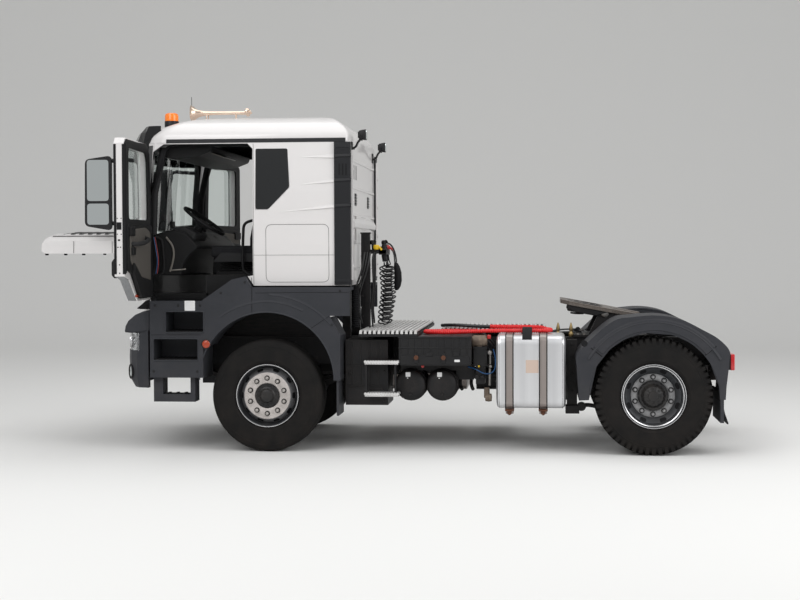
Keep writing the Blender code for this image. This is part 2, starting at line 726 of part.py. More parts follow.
STEP_BAR_FRONT = 0.923
STEP_BAR_REAR = 1.232
STEP_BAR_LEVELS = (0.54, 0.85)
STEP_BAR_HEIGHT = 0.035
STEP_BAR_DEPTH = 0.14
STEP_BAR_OUT = CAB_HALF - 0.01
LOCKER_FRONT = 0.72
LOCKER_REAR = 1.125
LOCKER_LOW = 0.43
LOCKER_IN = FRAME_HALF + 0.04
LOCKER_ARM = 0.12
GEAR_IN = FRAME_HALF + HANGER_GAP


def make_side_steps():
    """The black box behind the left front wheel, with its two tread bars."""
    box = block((LOCKER_FRONT, -(STEP_BAR_OUT - STEP_BAR_DEPTH), LOCKER_LOW),
                (LOCKER_REAR, -LOCKER_IN, FRAME_TOP))
    shapes = [box, block((LOCKER_REAR - LOCKER_ARM * 2, -LOCKER_IN - SINK, FRAME_TOP - LOCKER_ARM * 2),
                         (LOCKER_REAR - LOCKER_ARM, -GEAR_IN, FRAME_TOP - LOCKER_ARM))]
    for z in STEP_BAR_LEVELS:
        shapes.append(block((STEP_BAR_FRONT, -STEP_BAR_OUT, z - STEP_BAR_HEIGHT / 2),
                            (STEP_BAR_REAR, -(STEP_BAR_OUT - STEP_BAR_DEPTH - SINK), z + STEP_BAR_HEIGHT / 2)))
    for x in (STEP_BAR_FRONT, STEP_BAR_REAR - STEP_BAR_HEIGHT):
        shapes.append(block((x, -(STEP_BAR_OUT - SINK * 2), STEP_BAR_LEVELS[0]),
                            (x + STEP_BAR_HEIGHT / 2, -(STEP_BAR_OUT - STEP_BAR_DEPTH / 2), STEP_BAR_LEVELS[1])))
    piece("left_side_steps", joined(*shapes), "chassis_black", "truck", smooth=False)


BATTERY_FRONT = 1.24
BATTERY_REAR = 1.92
BATTERY_LOW = 0.815
BATTERY_HIGH = 1.087
BATTERY_OUT = CAB_HALF - 0.03
AIR_TANK_XS = (1.338, 1.637)
AIR_TANK_Z = 0.62
AIR_TANK_RADIUS = 0.145
AIR_TANK_CREST = 0.045
AIR_TANK_OUT = CAB_HALF - 0.165
AIR_RACK_HEIGHT = 0.03


def make_battery_and_tanks():
    outline = rounded(rectangle((BATTERY_FRONT, BATTERY_LOW), (BATTERY_REAR, BATTERY_HIGH)), 0.03, 2)
    piece("battery_box", prism("y", outline, -BATTERY_OUT, -GEAR_IN), "black_plastic", "truck")
    shapes = []
    for x in AIR_TANK_XS:
        profile = [(AIR_TANK_RADIUS * 0.6, -AIR_TANK_OUT), (AIR_TANK_RADIUS, -AIR_TANK_OUT + AIR_TANK_CREST),
                   (AIR_TANK_RADIUS, -GEAR_IN)]
        shapes.append(turned("y", profile, (x, 0, AIR_TANK_Z), 20, whole=False))
    shapes.append(block((BATTERY_FRONT, -AIR_TANK_OUT + AIR_TANK_CREST * 2, AIR_TANK_Z + AIR_TANK_RADIUS - SINK * 3),
                        (BATTERY_REAR, -GEAR_IN, BATTERY_LOW - FIT)))
    piece("air_tanks", joined(*shapes), "chassis_black", "truck")


TANK_FRONT = 2.153
TANK_REAR = 2.799
TANK_LOW = 0.421
TANK_HIGH = 1.102
TANK_OUT = CAB_HALF + 0.03
TANK_IN = FRAME_HALF + 0.07
TANK_CORNER = 0.09
STRAP_XS = (2.276, 2.589)
STRAP_WIDTH = 0.06
STRAP_THICK = 0.008
STRAP_FOOT_LOW = 0.365


def make_fuel_tank():
    section = rounded(rectangle((-TANK_OUT, TANK_LOW), (-TANK_IN, TANK_HIGH)), TANK_CORNER, 4)
    piece("fuel_tank", prism("x", section, TANK_FRONT, TANK_REAR), "aluminium", "truck")
    skin = STRAP_THICK + FIT
    shapes = [block((STRAP_XS[0] - STRAP_WIDTH, -TANK_IN + skin - SINK, FRAME_TOP - FRAME_HEIGHT),
                    (STRAP_XS[1] + STRAP_WIDTH, -GEAR_IN, FRAME_TOP - FRAME_HEIGHT / 2))]
    for x in STRAP_XS:
        outer = rounded(rectangle((-TANK_OUT - skin, TANK_LOW - skin), (-TANK_IN + skin, TANK_HIGH + skin)),
                        TANK_CORNER + skin, 4)
        inner = rounded(rectangle((-TANK_OUT - FIT, TANK_LOW - FIT), (-TANK_IN + FIT, TANK_HIGH + FIT)),
                        TANK_CORNER + FIT, 4)
        band = carved(prism("x", outer, x - STRAP_WIDTH / 2, x + STRAP_WIDTH / 2),
                      prism("x", inner, x - STRAP_WIDTH, x + STRAP_WIDTH))
        foot = block((x - STRAP_WIDTH * 0.6, -TANK_OUT + TANK_CORNER, STRAP_FOOT_LOW),
                     (x + STRAP_WIDTH * 0.6, -GEAR_IN - SINK, TANK_LOW - FIT * 2))
        shapes += [band, foot]
    piece("tank_straps", joined(*shapes), "stainless", "truck", smooth=False)


SILENCER_FRONT = 0.83
SILENCER_REAR = 1.80
SILENCER_LOW = 0.45
SILENCER_HIGH = 1.04
ADBLUE_FRONT = 1.90
ADBLUE_REAR = 2.35


def make_right_gear():
    outline = rounded(rectangle((GEAR_IN, SILENCER_LOW), (TANK_OUT, SILENCER_HIGH)), TANK_CORNER, 3)
    piece("silencer", prism("x", outline, SILENCER_FRONT, SILENCER_REAR), "stainless", "truck")
    piece("additive_tank", prism("x", outline, ADBLUE_FRONT, ADBLUE_REAR), "black_plastic", "truck")


DECK_FRONT = 0.86
DECK_REAR = 1.42
DECK_HALF = CAB_HALF - 0.03
DECK_LOW = BATTERY_HIGH + HANGER_GAP
BEARER_WIDTH = 0.05
BEARER_SHARES = (0.12, 0.80)
DECK_THICK = 0.045
REAR_DECK_FRONT = 1.60
REAR_DECK_REAR = 2.62
REAR_DECK_HALF = FRAME_HALF
DECK_PLANKS = 8
GROOVE_SHARE = 0.22


def deck(front, rear, half, planks):
    """Planks laid across, as one plate with grooves on its upper side, on bearers that stand on the frame."""
    base = block((front, -half, DECK_LOW), (rear, half, DECK_LOW + DECK_THICK * 0.6))
    pitch = (rear - front) / planks
    shapes = [base]
    for share in BEARER_SHARES:
        start = front + (rear - front) * share
        shapes.append(block((start, -FRAME_HALF, FRAME_TOP + HANGER_GAP), (start + BEARER_WIDTH, FRAME_HALF,
                                                                        DECK_LOW + SINK)))
    for plank in range(planks):
        start = front + pitch * plank
        shapes.append(block((start, -half, DECK_LOW + DECK_THICK * 0.3),
                            (start + pitch * (1 - GROOVE_SHARE), half, DECK_LOW + DECK_THICK)))
    return joined(*shapes)


def make_decks():
    piece("front_deck", deck(DECK_FRONT, DECK_REAR, DECK_HALF, DECK_PLANKS), "aluminium", "truck", smooth=False)
    piece("rear_deck", deck(REAR_DECK_FRONT, REAR_DECK_REAR, REAR_DECK_HALF, DECK_PLANKS), "aluminium", "truck",
          smooth=False)


# Rear fenders and lamps, drawn on the right side

REAR_FENDER_IN = 0.60
REAR_FENDER_OUT = REAR_OUTER_Y + 0.175
REAR_FENDER_SKIN = 0.02
REAR_SKIRT = 0.03
REAR_ARCH_SHARE = 1.09
# Outer edge of the fender: angle in degrees rearwards from the top, share of the tyre radius
REAR_OUTER_SHARES = ((-93, 1.25), (-62, 1.46), (-42, 1.42), (-26, 1.44), (-8, 1.36), (17, 1.37), (34, 1.37),
                     (48, 1.44), (58, 1.46), (80, 1.21), (92, 1.175))
REAR_FLAP_LOW = 0.31
END_TURN = 4
LIGHT_BAR_Z = 0.86
# Arms from the rails to a rear fender: front and rear edge, low edge
REAR_ARMS = ((2.893, 2.953, 0.82), (4.170, 4.260, 0.88))
REAR_ARM_HEIGHT = 0.05


def polar(radius, degrees):
    angle = math.radians(degrees)
    return (WHEELBASE + radius * math.sin(angle), REAR_TYRE_RADIUS + radius * math.cos(angle))


def make_rear_fenders():
    for label, side in SIDES:
        outer = [polar(REAR_TYRE_RADIUS * share, angle) for angle, share in REAR_OUTER_SHARES]
        inner = [polar(REAR_TYRE_RADIUS * REAR_ARCH_SHARE, angle) for angle, share in reversed(REAR_OUTER_SHARES)]
        full = prism("y", outer + inner, REAR_FENDER_IN, REAR_FENDER_OUT)
        beyond = [(REAR_OUTER_SHARES[0][0] - END_TURN, REAR_OUTER_SHARES[0][1])] + list(REAR_OUTER_SHARES) + [
            (REAR_OUTER_SHARES[-1][0] + END_TURN, REAR_OUTER_SHARES[-1][1])]
        hollow_outer = [polar(REAR_TYRE_RADIUS * share - REAR_FENDER_SKIN, angle) for angle, share in beyond]
        hollow_inner = [polar(REAR_TYRE_RADIUS, angle) for angle, share in reversed(beyond)]
        hollow = prism("y", hollow_outer + hollow_inner, REAR_FENDER_IN - OVERRUN, REAR_FENDER_OUT - REAR_SKIRT)
        end = polar(REAR_TYRE_RADIUS * REAR_OUTER_SHARES[-1][1], REAR_OUTER_SHARES[-1][0])
        rubber = block((end[0] - FLAP_RUBBER_THICK * 2, REAR_FENDER_IN + SINK, REAR_FLAP_LOW),
                       (end[0] - FLAP_RUBBER_THICK / 2, REAR_FENDER_OUT - SINK, end[1] + FLAP_RUBBER_THICK))
        arms = [block((front, FRAME_HALF + FIT, low), (rear, REAR_FENDER_IN + REAR_SKIRT, low + REAR_ARM_HEIGHT))
                for front, rear, low in REAR_ARMS]
        piece(label + "_rear_fender", sided(joined(carved(full, hollow), rubber, *arms), side), "grey_plastic",
              "truck")


TAIL_BAR_FRONT = FRAME_REAR + 0.036
TAIL_BAR_DEPTH = 0.07
TAIL_ARM_HALF = FRAME_HALF
TAIL_ARM_WIDTH = 0.10
TAIL_BAR_SKIN = 0.02
TAIL_LAMP_REAR = 4.33
TAIL_BAR_HALF = CAB_HALF + 0.03
TAIL_LAMP_LENGTH = 0.36
TAIL_LAMP_HEIGHT = 0.14


def make_tail():
    bar = block((TAIL_BAR_FRONT, -TAIL_BAR_HALF, LIGHT_BAR_Z - TAIL_BAR_DEPTH),
                (TAIL_BAR_FRONT + TAIL_BAR_SKIN, TAIL_BAR_HALF, LIGHT_BAR_Z + TAIL_BAR_DEPTH))
    shapes = [bar]
    for side in (-1, 1):
        shapes.append(pair_block(side, (FRAME_REAR + HANGER_GAP, TAIL_ARM_HALF - TAIL_ARM_WIDTH,
                                        LIGHT_BAR_Z - TAIL_BAR_DEPTH / 2),
                                 (TAIL_BAR_FRONT + SINK, TAIL_ARM_HALF, LIGHT_BAR_Z + TAIL_BAR_DEPTH / 2)))
        shapes.append(pair_block(side, (TAIL_BAR_FRONT + TAIL_BAR_SKIN - SINK, TAIL_BAR_HALF - TAIL_LAMP_LENGTH,
                                        LIGHT_BAR_Z - TAIL_LAMP_HEIGHT / 2),
                                 (TAIL_LAMP_REAR, TAIL_BAR_HALF, LIGHT_BAR_Z + TAIL_LAMP_HEIGHT / 2)))
    piece("tail_bar", joined(*shapes), "black_plastic", "truck", smooth=False)


# Fifth wheel

PLATE_HALF = FRAME_HALF + 0.02
PLATE_FRONT = -0.44
PLATE_REAR = 0.37
PLATE_THICK = 0.035
PLATE_TOP = 0.055
RIB_DEPTH = 0.05
PEDESTAL_IN = PLATE_HALF - 0.15
PEDESTAL_HALF = 0.17
BASE_FRONT = 2.88
BASE_REAR = 3.60
BASE_THICK = 0.02
BASE_LOW = FRAME_TOP + HANGER_GAP
PIN_RADIUS = 0.03
JAW_HALF = 0.06
MOUTH_HALF = 0.22
# Plate outline on the right side: share of its length from the front, share of its half width
PLATE_SHARES = ((0.0, 0.75), (0.10, 1.0), (0.62, 1.0), (1.0, 0.62))


def make_fifth_wheel():
    length = PLATE_REAR - PLATE_FRONT
    right = [(FIFTH_X + PLATE_FRONT + length * along, PLATE_HALF * out) for along, out in PLATE_SHARES]
    mouth = [(FIFTH_X + PLATE_REAR, MOUTH_HALF), (FIFTH_X + JAW_HALF, JAW_HALF)]
    half = right + mouth
    outline = half + [(x, -y) for x, y in reversed(half)]
    top = FIFTH_Z + PLATE_TOP
    shapes = [prism("z", outline, top - PLATE_THICK, top)]
    for side in (-1, 1):
        shapes.append(pair_block(side, (FIFTH_X - PEDESTAL_HALF, PEDESTAL_IN, FIFTH_Z - PIN_RADIUS),
                                 (FIFTH_X + PEDESTAL_HALF, PEDESTAL_IN + RIB_DEPTH, top - PLATE_THICK + SINK)))
        shapes.append(rod((FIFTH_X, side * (PEDESTAL_IN + SINK), FIFTH_Z),
                          (FIFTH_X, side * (PEDESTAL_IN + RIB_DEPTH + RUN - FIT), FIFTH_Z), PIN_RADIUS * 0.8, 12))
    shapes.append(block((FIFTH_X - PEDESTAL_HALF, -PEDESTAL_IN - SINK, top - PLATE_THICK - RIB_DEPTH),
                        (FIFTH_X - PEDESTAL_HALF + RIB_DEPTH, PEDESTAL_IN + SINK, top - PLATE_THICK + SINK)))
    piece("fifth_wheel_plate", joined(*shapes), "chassis_black", "fifth_pivot", smooth=False)
    base = [block((BASE_FRONT, -PLATE_HALF, BASE_LOW), (BASE_REAR, PLATE_HALF, BASE_LOW + BASE_THICK))]
    for side in (-1, 1):
        low_in = PEDESTAL_IN + RIB_DEPTH + RUN
        outline = [(FIFTH_X - PEDESTAL_HALF, BASE_LOW), (FIFTH_X + PEDESTAL_HALF, BASE_LOW),
                   (FIFTH_X + PIN_RADIUS * 2, FIFTH_Z), (FIFTH_X - PIN_RADIUS * 2, FIFTH_Z)]
        y0, y1 = sorted((side * low_in, side * (low_in + RIB_DEPTH)))
        base.append(prism("y", outline, y0, y1))
    piece("fifth_wheel_base", joined(*base), "chassis_black", "truck", smooth=False)


# Air lines behind the cab

POST_X = 0.91
POST_Y = -0.40
POST_SIDE = 0.085
POST_TOP = 2.068
ARM_REACH = 0.30
COUPLING_Z = 1.93
COIL_RADIUS = 0.085
COIL_LOW = 1.16
COIL_YS = (-0.33, -0.10)
COIL_X = 1.10


def make_air_lines():
    arm = COUPLING_Z + POST_SIDE / 2
    shapes = [block((POST_X - POST_SIDE / 2, POST_Y - POST_SIDE / 2, DECK_LOW + DECK_THICK + FIT),
                    (POST_X + POST_SIDE / 2, POST_Y + POST_SIDE / 2, POST_TOP)),
              block((POST_X, POST_Y + POST_SIDE / 2 - SINK, COUPLING_Z - POST_SIDE / 2),
                    (COIL_X + POST_SIDE / 2, COIL_YS[1] + POST_SIDE, arm))]
    piece("air_line_bracket", joined(*shapes), "chassis_black", "truck", smooth=False)
    for index, y in enumerate(COIL_YS):
        piece("air_coil_%d" % (index + 1),
              rod((COIL_X, y, COIL_LOW), (COIL_X, y, COUPLING_Z - POST_SIDE / 2 - FIT), COIL_RADIUS, 12),
              "black_plastic", "truck")


# The red sleeved hose on the decks: points of its route, from its first fitting to its last
HOSE_RADIUS = 0.022
HOSE_ROUTE = (
    (2.62, -0.60, 1.1326), (2.66, -0.72, 1.1326), (2.60, -0.84, 1.1326), (2.40, -0.88, 1.1326),
    (2.15, -0.88, 1.1326), (1.90, -0.85, 1.122), (1.68, -0.82, 1.112), (1.52, -0.76, 1.112), (1.46, -0.66, 1.112),
    (1.54, -0.57, 1.112), (1.74, -0.55, 1.115), (1.96, -0.56, 1.118))


def smooth_route(points, per_span):
    path = [Vector(point) for point in points]
    path = [path[0] * 2 - path[1]] + path + [path[-1] * 2 - path[-2]]
    result = []
    for a, b, c, d in zip(path, path[1:], path[2:], path[3:]):
        for step in range(per_span):
            t = step / per_span
            result.append(0.5 * (2 * b + (c - a) * t + (2 * a - 5 * b + 4 * c - d) * t * t
                                 + (3 * b - a - 3 * c + d) * t ** 3))
    result.append(path[-2])
    return result


def make_hose():
    points = smooth_route(HOSE_ROUTE, 3)
    curve = bpy.data.curves.new("red_hose", "CURVE")
    curve.dimensions = "3D"
    curve.bevel_depth = HOSE_RADIUS
    curve.bevel_resolution = 2
    curve.use_fill_caps = True
    spline = curve.splines.new("POLY")
    spline.points.add(len(points) - 1)
    for target, point in zip(spline.points, points):
        target.co = (*point, 1)
    curve.materials.append(material("red_hose"))
    made = bpy.data.objects.new("red_hose", curve)
    bpy.context.scene.collection.objects.link(made)
    made.parent = PIVOTS["truck"][0]


# Cab shell and roof

# Cab levels: height, place of the front, half width
CAB_TUMBLE = 0.015
CAB_LEVELS = ((CAB_LOW, -1.36, CAB_HALF - CAB_TUMBLE), (1.95, -1.375, CAB_HALF), (2.04, -1.395, CAB_HALF),
              (2.45, -1.37, CAB_HALF), (CAB_TOP, -1.315, CAB_HALF - CAB_TUMBLE))


def cab_solid(inset, extend):
    rings = []
    for z, front, half in CAB_LEVELS:
        rings.append(nose_ring(z, front + inset, CAB_CORNER_X + inset / 2, half - inset, CAB_REAR - inset,
                               tail=0.04))
    if extend:
        low, high = rings[0], rings[-1]
        rings = [[(x, y, z - extend) for x, y, z in low]] + rings + [[(x, y, z + extend) for x, y, z in high]]
    return loft(rings)


SCREEN_LOW = 2.075
SCREEN_HIGH = 2.86
SCREEN_HALF = CAB_HALF - 0.145
SCREEN_REAR = -1.13
SCREEN_SET = 0.010
SCREEN_THICK = 0.012
SCREEN_GAP = FIT
FLOOR_HIGH = 1.66
FOOTWELL_LOW = 1.49
FOOTWELL_REAR = -0.62
TUNNEL_HALF = 0.36
HINGE_LEVELS = (1.75, 2.35)
HINGE_LENGTH = 0.10
HINGE_PIN = 0.018
HINGE_BRACKET = 0.10
# Door outline: share of its length from the front, height
DOOR_LOW = 1.44
DOOR_BUMP = 1.672
DOOR_OUTLINE_SHARES = ((0.0, 0.0), (0.52, 0.0), (0.815, 0.86), (1.0, 1.0))


def door_outline(grow):
    """The door seen from the side, its lower rear corner cut along the fender's rise."""
    low = [(DOOR_FRONT + (DOOR_REAR - DOOR_FRONT) * along, DOOR_LOW + (DOOR_BUMP - DOOR_LOW) * up)
           for along, up in DOOR_OUTLINE_SHARES]
    front, rear = DOOR_FRONT - grow, DOOR_REAR + grow
    low[0] = (front, low[0][1] - grow)
    low[-1] = (rear, low[-1][1] - grow)
    low[1] = (low[1][0], low[1][1] - grow)
    low[2] = (low[2][0] + grow, low[2][1] - grow)
    top = DOOR_TOP + grow
    return low + [(rear, top - 0.05), (rear - 0.05, top), (DOOR_FRONT + 0.16 - grow, top),
                  (DOOR_FRONT + 0.05 - grow, top - 0.07), (front, top - 0.55)]


def screen_outline(grow):
    half = SCREEN_HALF + grow
    return rounded([(-half, SCREEN_LOW - grow), (half, SCREEN_LOW - grow), (half, SCREEN_HIGH + grow),
                    (-half, SCREEN_HIGH + grow)], 0.09, 3)


FLAP_PIN = 0.012
FLAP_ARM_Y = 0.16
FLAP_ARM_WIDTH = 0.04


def flap_brackets():
    """Supports on the cab's front, just behind the pins of the flap's hinges."""
    return [pair_block(side, (FLAP_HINGE_X + FLAP_PIN + FIT, FLAP_ARM_Y + FLAP_ARM_WIDTH + RUN, FLAP_HINGE_Z - FLAP_PIN),
                       (FLAP_HINGE_X + CAB_WALL, FLAP_ARM_Y + FLAP_ARM_WIDTH * 2 + RUN, FLAP_HINGE_Z + FLAP_PIN))
            for side in (-1, 1)]


PENTAGON_SHARES = ((0.0, 1.0), (0.0, 0.0), (0.37, 0.0), (1.0, 0.36), (0.95, 1.0))
SIDE_WINDOW_LOW = (-0.114, 2.282)
SIDE_WINDOW_HIGH = (0.218, 2.863)
SIDE_WINDOW_DEPTH = 0.010


def make_cab_shell():
    outer = cab_solid(0, 0)
    cavity = joined(shared(cab_solid(CAB_WALL, OVERRUN),
                           block((-2, -2, FLOOR_HIGH), (2, 2, CAB_TOP + OVERRUN / 2))),
                    carved(block((-1.30, -CAB_HALF + CAB_WALL * 1.5, FOOTWELL_LOW),
                                 (FOOTWELL_REAR, CAB_HALF - CAB_WALL * 1.5, FLOOR_HIGH + OVERRUN)),
                           block((-2, -TUNNEL_HALF, FOOTWELL_LOW - OVERRUN), (2, TUNNEL_HALF, FLOOR_HIGH))))
    below = [(DOOR_FRONT, CAB_LOW - OVERRUN), (DOOR_FRONT, DOOR_LOW), (-0.62, DOOR_LOW), (-0.33, 1.64),
             (-0.20, DOOR_BUMP), (-0.13, SIDE_LOW), (CAB_REAR + OVERRUN, SIDE_LOW),
             (CAB_REAR + OVERRUN, CAB_LOW - OVERRUN)]
    cutters = [cavity, prism("y", below, -2, 2),
               prism("x", screen_outline(0), -1.7, SCREEN_REAR)]
    for side in (-1, 1):
        inner, outer_y = sorted((side * (CAB_HALF - CAB_WALL * 3), side * (CAB_HALF + OVERRUN)))
        cutters.append(prism("y", door_outline(DOOR_GAP), inner, outer_y))
        window = spread(PENTAGON_SHARES, SIDE_WINDOW_LOW, SIDE_WINDOW_HIGH)
        inner, outer_y = sorted((side * (CAB_HALF - SIDE_WINDOW_DEPTH), side * (CAB_HALF + OVERRUN)))
        cutters.append(prism("y", window, inner, outer_y))
    shell = carved(outer, *cutters)
    brackets = [pair_block(side, (HINGE_X - HINGE_PIN, HINGE_Y - HINGE_BRACKET, low - HINGE_PIN * 2),
                           (DOOR_FRONT - DOOR_GAP - SINK, HINGE_Y + HINGE_PIN, low - FIT))
                for side in (-1, 1) for low in HINGE_LEVELS]
    mounts = []
    for side in (-1, 1):
        inner = FRAME_HALF + RUN
        mounts += [rod((TILT_X, side * (FRAME_HALF + FIT), TILT_Z), (TILT_X, side * (inner + SINK), TILT_Z), TILT_PIN, 12),
                   pair_block(side, (TILT_X - TILT_PIN, inner, TILT_Z - TILT_PIN),
                              (TILT_ARM_REAR, inner + TILT_ARM, TILT_Z + TILT_PIN)),
                   pair_block(side, (TILT_ARM_FRONT, inner + SINK / 2, TILT_Z),
                              (TILT_ARM_REAR - SINK / 2, inner + TILT_ARM - SINK / 2, DOOR_LOW + SINK))]
    piece("cab_shell", joined(shell, *brackets, *mounts, *flap_brackets()), "white_paint", "cab_pivot")
    glass = shared(cab_solid(SCREEN_SET, 0), prism("x", screen_outline(-SCREEN_GAP), -1.7, SCREEN_REAR - RUN))
    glass = carved(glass, cab_solid(SCREEN_SET + SCREEN_THICK, OVERRUN))
    piece("windscreen", glass, "glass", "cab_pivot")


# Roof levels: share of the height, front, half width, rear
ROOF_LEVELS = ((0.0, -1.31, CAB_HALF - 0.017, 0.772), (0.30, -1.26, CAB_HALF - 0.03, 0.765),
               (0.62, -1.13, CAB_HALF - 0.10, 0.735), (0.88, -0.86, CAB_HALF - 0.25, 0.68),
               (1.0, -0.40, CAB_HALF - 0.47, 0.56))


def roof_solid(inset):
    low = CAB_TOP + ROOF_JOINT
    rings = []
    for share, front, half, rear in ROOF_LEVELS:
        rings.append(nose_ring(low + (ROOF_HEIGHT - inset) * share, front + inset,
                               CAB_CORNER_X + (front - ROOF_LEVELS[0][1]) * 0.5 + inset / 2, half - inset,
                               rear - inset, tail=0.04))
    if inset:
        rings = [[(x, y, z - OVERRUN) for x, y, z in rings[0]]] + rings
    return loft(rings)


def make_roof():
    piece("cab_roof", carved(roof_solid(0), roof_solid(CAB_WALL)), "white_paint", "cab_pivot")


PANEL_FRONT = 0.640
PANEL_OUT = CAB_HALF + 0.012
PANEL_THICK = 0.02


def make_corner_panels():
    """Black upright panels on the cab's rear corners, wrapped onto the rear wall."""
    for label, side in SIDES:
        outline = [(PANEL_FRONT, CAB_HALF + FIT), (PANEL_FRONT, PANEL_OUT), (CAB_REAR + PANEL_THICK, PANEL_OUT),
                   (CAB_REAR + PANEL_THICK, CAB_HALF - 0.10), (CAB_REAR + FIT, CAB_HALF - 0.10),
                   (CAB_REAR + FIT, CAB_HALF + FIT)]
        piece(label + "_corner_panel", sided(prism("z", outline, SIDE_LOW + RUN, CAB_TOP - 0.03), side),
              "black_plastic", "cab_pivot")


# Inside the cab

DASH_HALF = CAB_HALF - 0.20
DASH_SHARES = ((0.0, 0.0), (0.0, 0.86), (0.35, 1.0), (0.72, 0.92), (1.0, 0.62), (0.70, 0.30), (0.62, 0.0))
DASH_LOW = (-1.17, FLOOR_HIGH + FIT)
DASH_HIGH = (-0.70, 2.10)
STEER_Y = -0.60
STEER_X = -0.72
STEER_Z = 2.19
STEER_RADIUS = 0.225
STEER_GRIP = 0.016
STEER_TILT = math.radians(35)
SEAT_XS = (-0.62, -0.10)
SEAT_HALF = 0.26
SEAT_Y = 0.60
SEAT_Z = 1.95
SEAT_PAD = 0.14
SEAT_BACK_TOP = 2.72


def make_dashboard():
    shapes = [prism("y", spread(DASH_SHARES, DASH_LOW, DASH_HIGH), -DASH_HALF, DASH_HALF)]
    steps, sides = 20, 6
    ring = bmesh.new()
    rows = []
    for step in range(steps):
        around = 2 * math.pi * step / steps
        row = []
        for side in range(sides):
            about = 2 * math.pi * side / sides
            spoke = STEER_RADIUS + STEER_GRIP * math.cos(about)
            row.append(ring.verts.new((spoke * math.cos(around), spoke * math.sin(around),
                                       STEER_GRIP * math.sin(about))))
        rows.append(row)
    closed(ring, rows, ring=True)
    wheel = joined(ring, block((-STEER_RADIUS, -STEER_GRIP * 2, -STEER_GRIP / 2),
                               (STEER_RADIUS, STEER_GRIP * 2, STEER_GRIP / 2)),
                   rod((0, 0, -0.30), (0, 0, STEER_GRIP), 0.05, 10))
    wheel.transform(Matrix.Translation((STEER_X, STEER_Y, STEER_Z)) @ Matrix.Rotation(STEER_TILT, 4, "Y"))
    shapes.append(wheel)
    piece("dashboard", joined(*shapes), "cabin_trim", "cab_pivot")


def make_seats():
    for label, side in SIDES:
        y = side * SEAT_Y
        front, rear = SEAT_XS
        shapes = [block((front, y - SEAT_HALF, SEAT_Z - SEAT_PAD), (rear, y + SEAT_HALF, SEAT_Z)),
                  block((front + 0.10, y - SEAT_HALF * 0.7, FLOOR_HIGH + FIT),
                        (rear - 0.05, y + SEAT_HALF * 0.7, SEAT_Z - SEAT_PAD + SINK)),
                  prism("y", [(rear - 0.10, SEAT_Z - SEAT_PAD / 2), (rear + 0.04, SEAT_Z - SEAT_PAD / 2),
                              (rear + 0.20, SEAT_BACK_TOP), (rear + 0.10, SEAT_BACK_TOP)],
                        y - SEAT_HALF * 0.95, y + SEAT_HALF * 0.95)]
        piece(label + "_seat", joined(*shapes), "seat_cloth", "cab_pivot")


VISOR_HALF = CAB_HALF - 0.11
VISOR_THICK = 0.012
VISOR_SIDE_X = -1.09
# Visor levels: height, front
VISOR_LEVELS = ((2.80, -1.47), (2.93, -1.45), (3.03, -1.38), (3.09, -1.29))
BEACON_PLACE = (-1.00, -0.75)
BEACON_RADIUS = 0.07
BEACON_TOP = 3.235
HORN_YS = (-0.36, -0.22)
HORN_BELL_X = -0.92
HORN_REAR_X = -0.30
HORN_BELL_RADIUS = 0.075
HORN_TUBE_RADIUS = 0.014
HORN_Z = 3.285


def roof_surface(x):
    """Height of the roof's crest line near its middle at a place along it."""
    low = CAB_TOP + ROOF_JOINT
    for (share_a, front_a, *_), (share_b, front_b, *_) in zip(ROOF_LEVELS, ROOF_LEVELS[1:]):
        if front_a <= x <= front_b:
            along = (x - front_a) / (front_b - front_a)
            return low + ROOF_HEIGHT * (share_a + (share_b - share_a) * along)
    return low + ROOF_HEIGHT


def visor_solid(inset, extend):
    """The smoked visor ahead of the screen's top, or the space inside it."""
    levels = list(VISOR_LEVELS)
    if extend:
        for end, near in ((0, 1), (-1, -2)):
            (z, front), (z_near, front_near) = levels[end], levels[near]
            share = 1 + extend / abs(z - z_near)
            levels[end] = (z_near + (z - z_near) * share, front_near + (front - front_near) * share)
    return loft([nose_ring(z, front + inset, VISOR_SIDE_X, VISOR_HALF - inset, VISOR_SIDE_X + OVERRUN + extend)
                 for z, front in levels])


def make_roof_gear():
    solid = carved(visor_solid(0, 0), visor_solid(VISOR_THICK, OVERRUN), cab_solid(-FIT, 0), roof_solid(-FIT))
    piece("sun_visor", solid, "black_plastic", "cab_pivot")
    base = roof_surface(BEACON_PLACE[0]) - OVERRUN
    profile = [(BEACON_RADIUS, base), (BEACON_RADIUS, BEACON_TOP - 0.02), (BEACON_RADIUS * 0.7, BEACON_TOP)]
    beacon = turned("z", profile, (BEACON_PLACE[0], BEACON_PLACE[1], 0), 14, whole=False)
    piece("beacon", carved(beacon, roof_solid(-FIT)), "amber_lens", "cab_pivot")
    shapes = []
    foot = CAB_TOP + ROOF_JOINT + ROOF_HEIGHT + FIT
    for y in HORN_YS:
        profile = [(HORN_BELL_RADIUS, HORN_BELL_X), (HORN_TUBE_RADIUS * 1.6, HORN_BELL_X + 0.10),
                   (HORN_TUBE_RADIUS, HORN_REAR_X - 0.10), (HORN_TUBE_RADIUS * 2.4, HORN_REAR_X - 0.08),
                   (HORN_TUBE_RADIUS * 2.4, HORN_REAR_X)]
        shapes.append(turned("x", profile, (0, y, HORN_Z), 10, whole=False))
    for x in (-0.42, -0.33):
        shapes.append(block((x - 0.01, HORN_YS[0] - 0.01, foot), (x + 0.01, HORN_YS[1] + 0.01, HORN_Z)))
    piece("air_horns", joined(*shapes), "chrome", "cab_pivot")


WORK_LAMP_X = 0.85
WORK_LAMP_Z = 2.975
WORK_LAMP_SIZE = 0.10


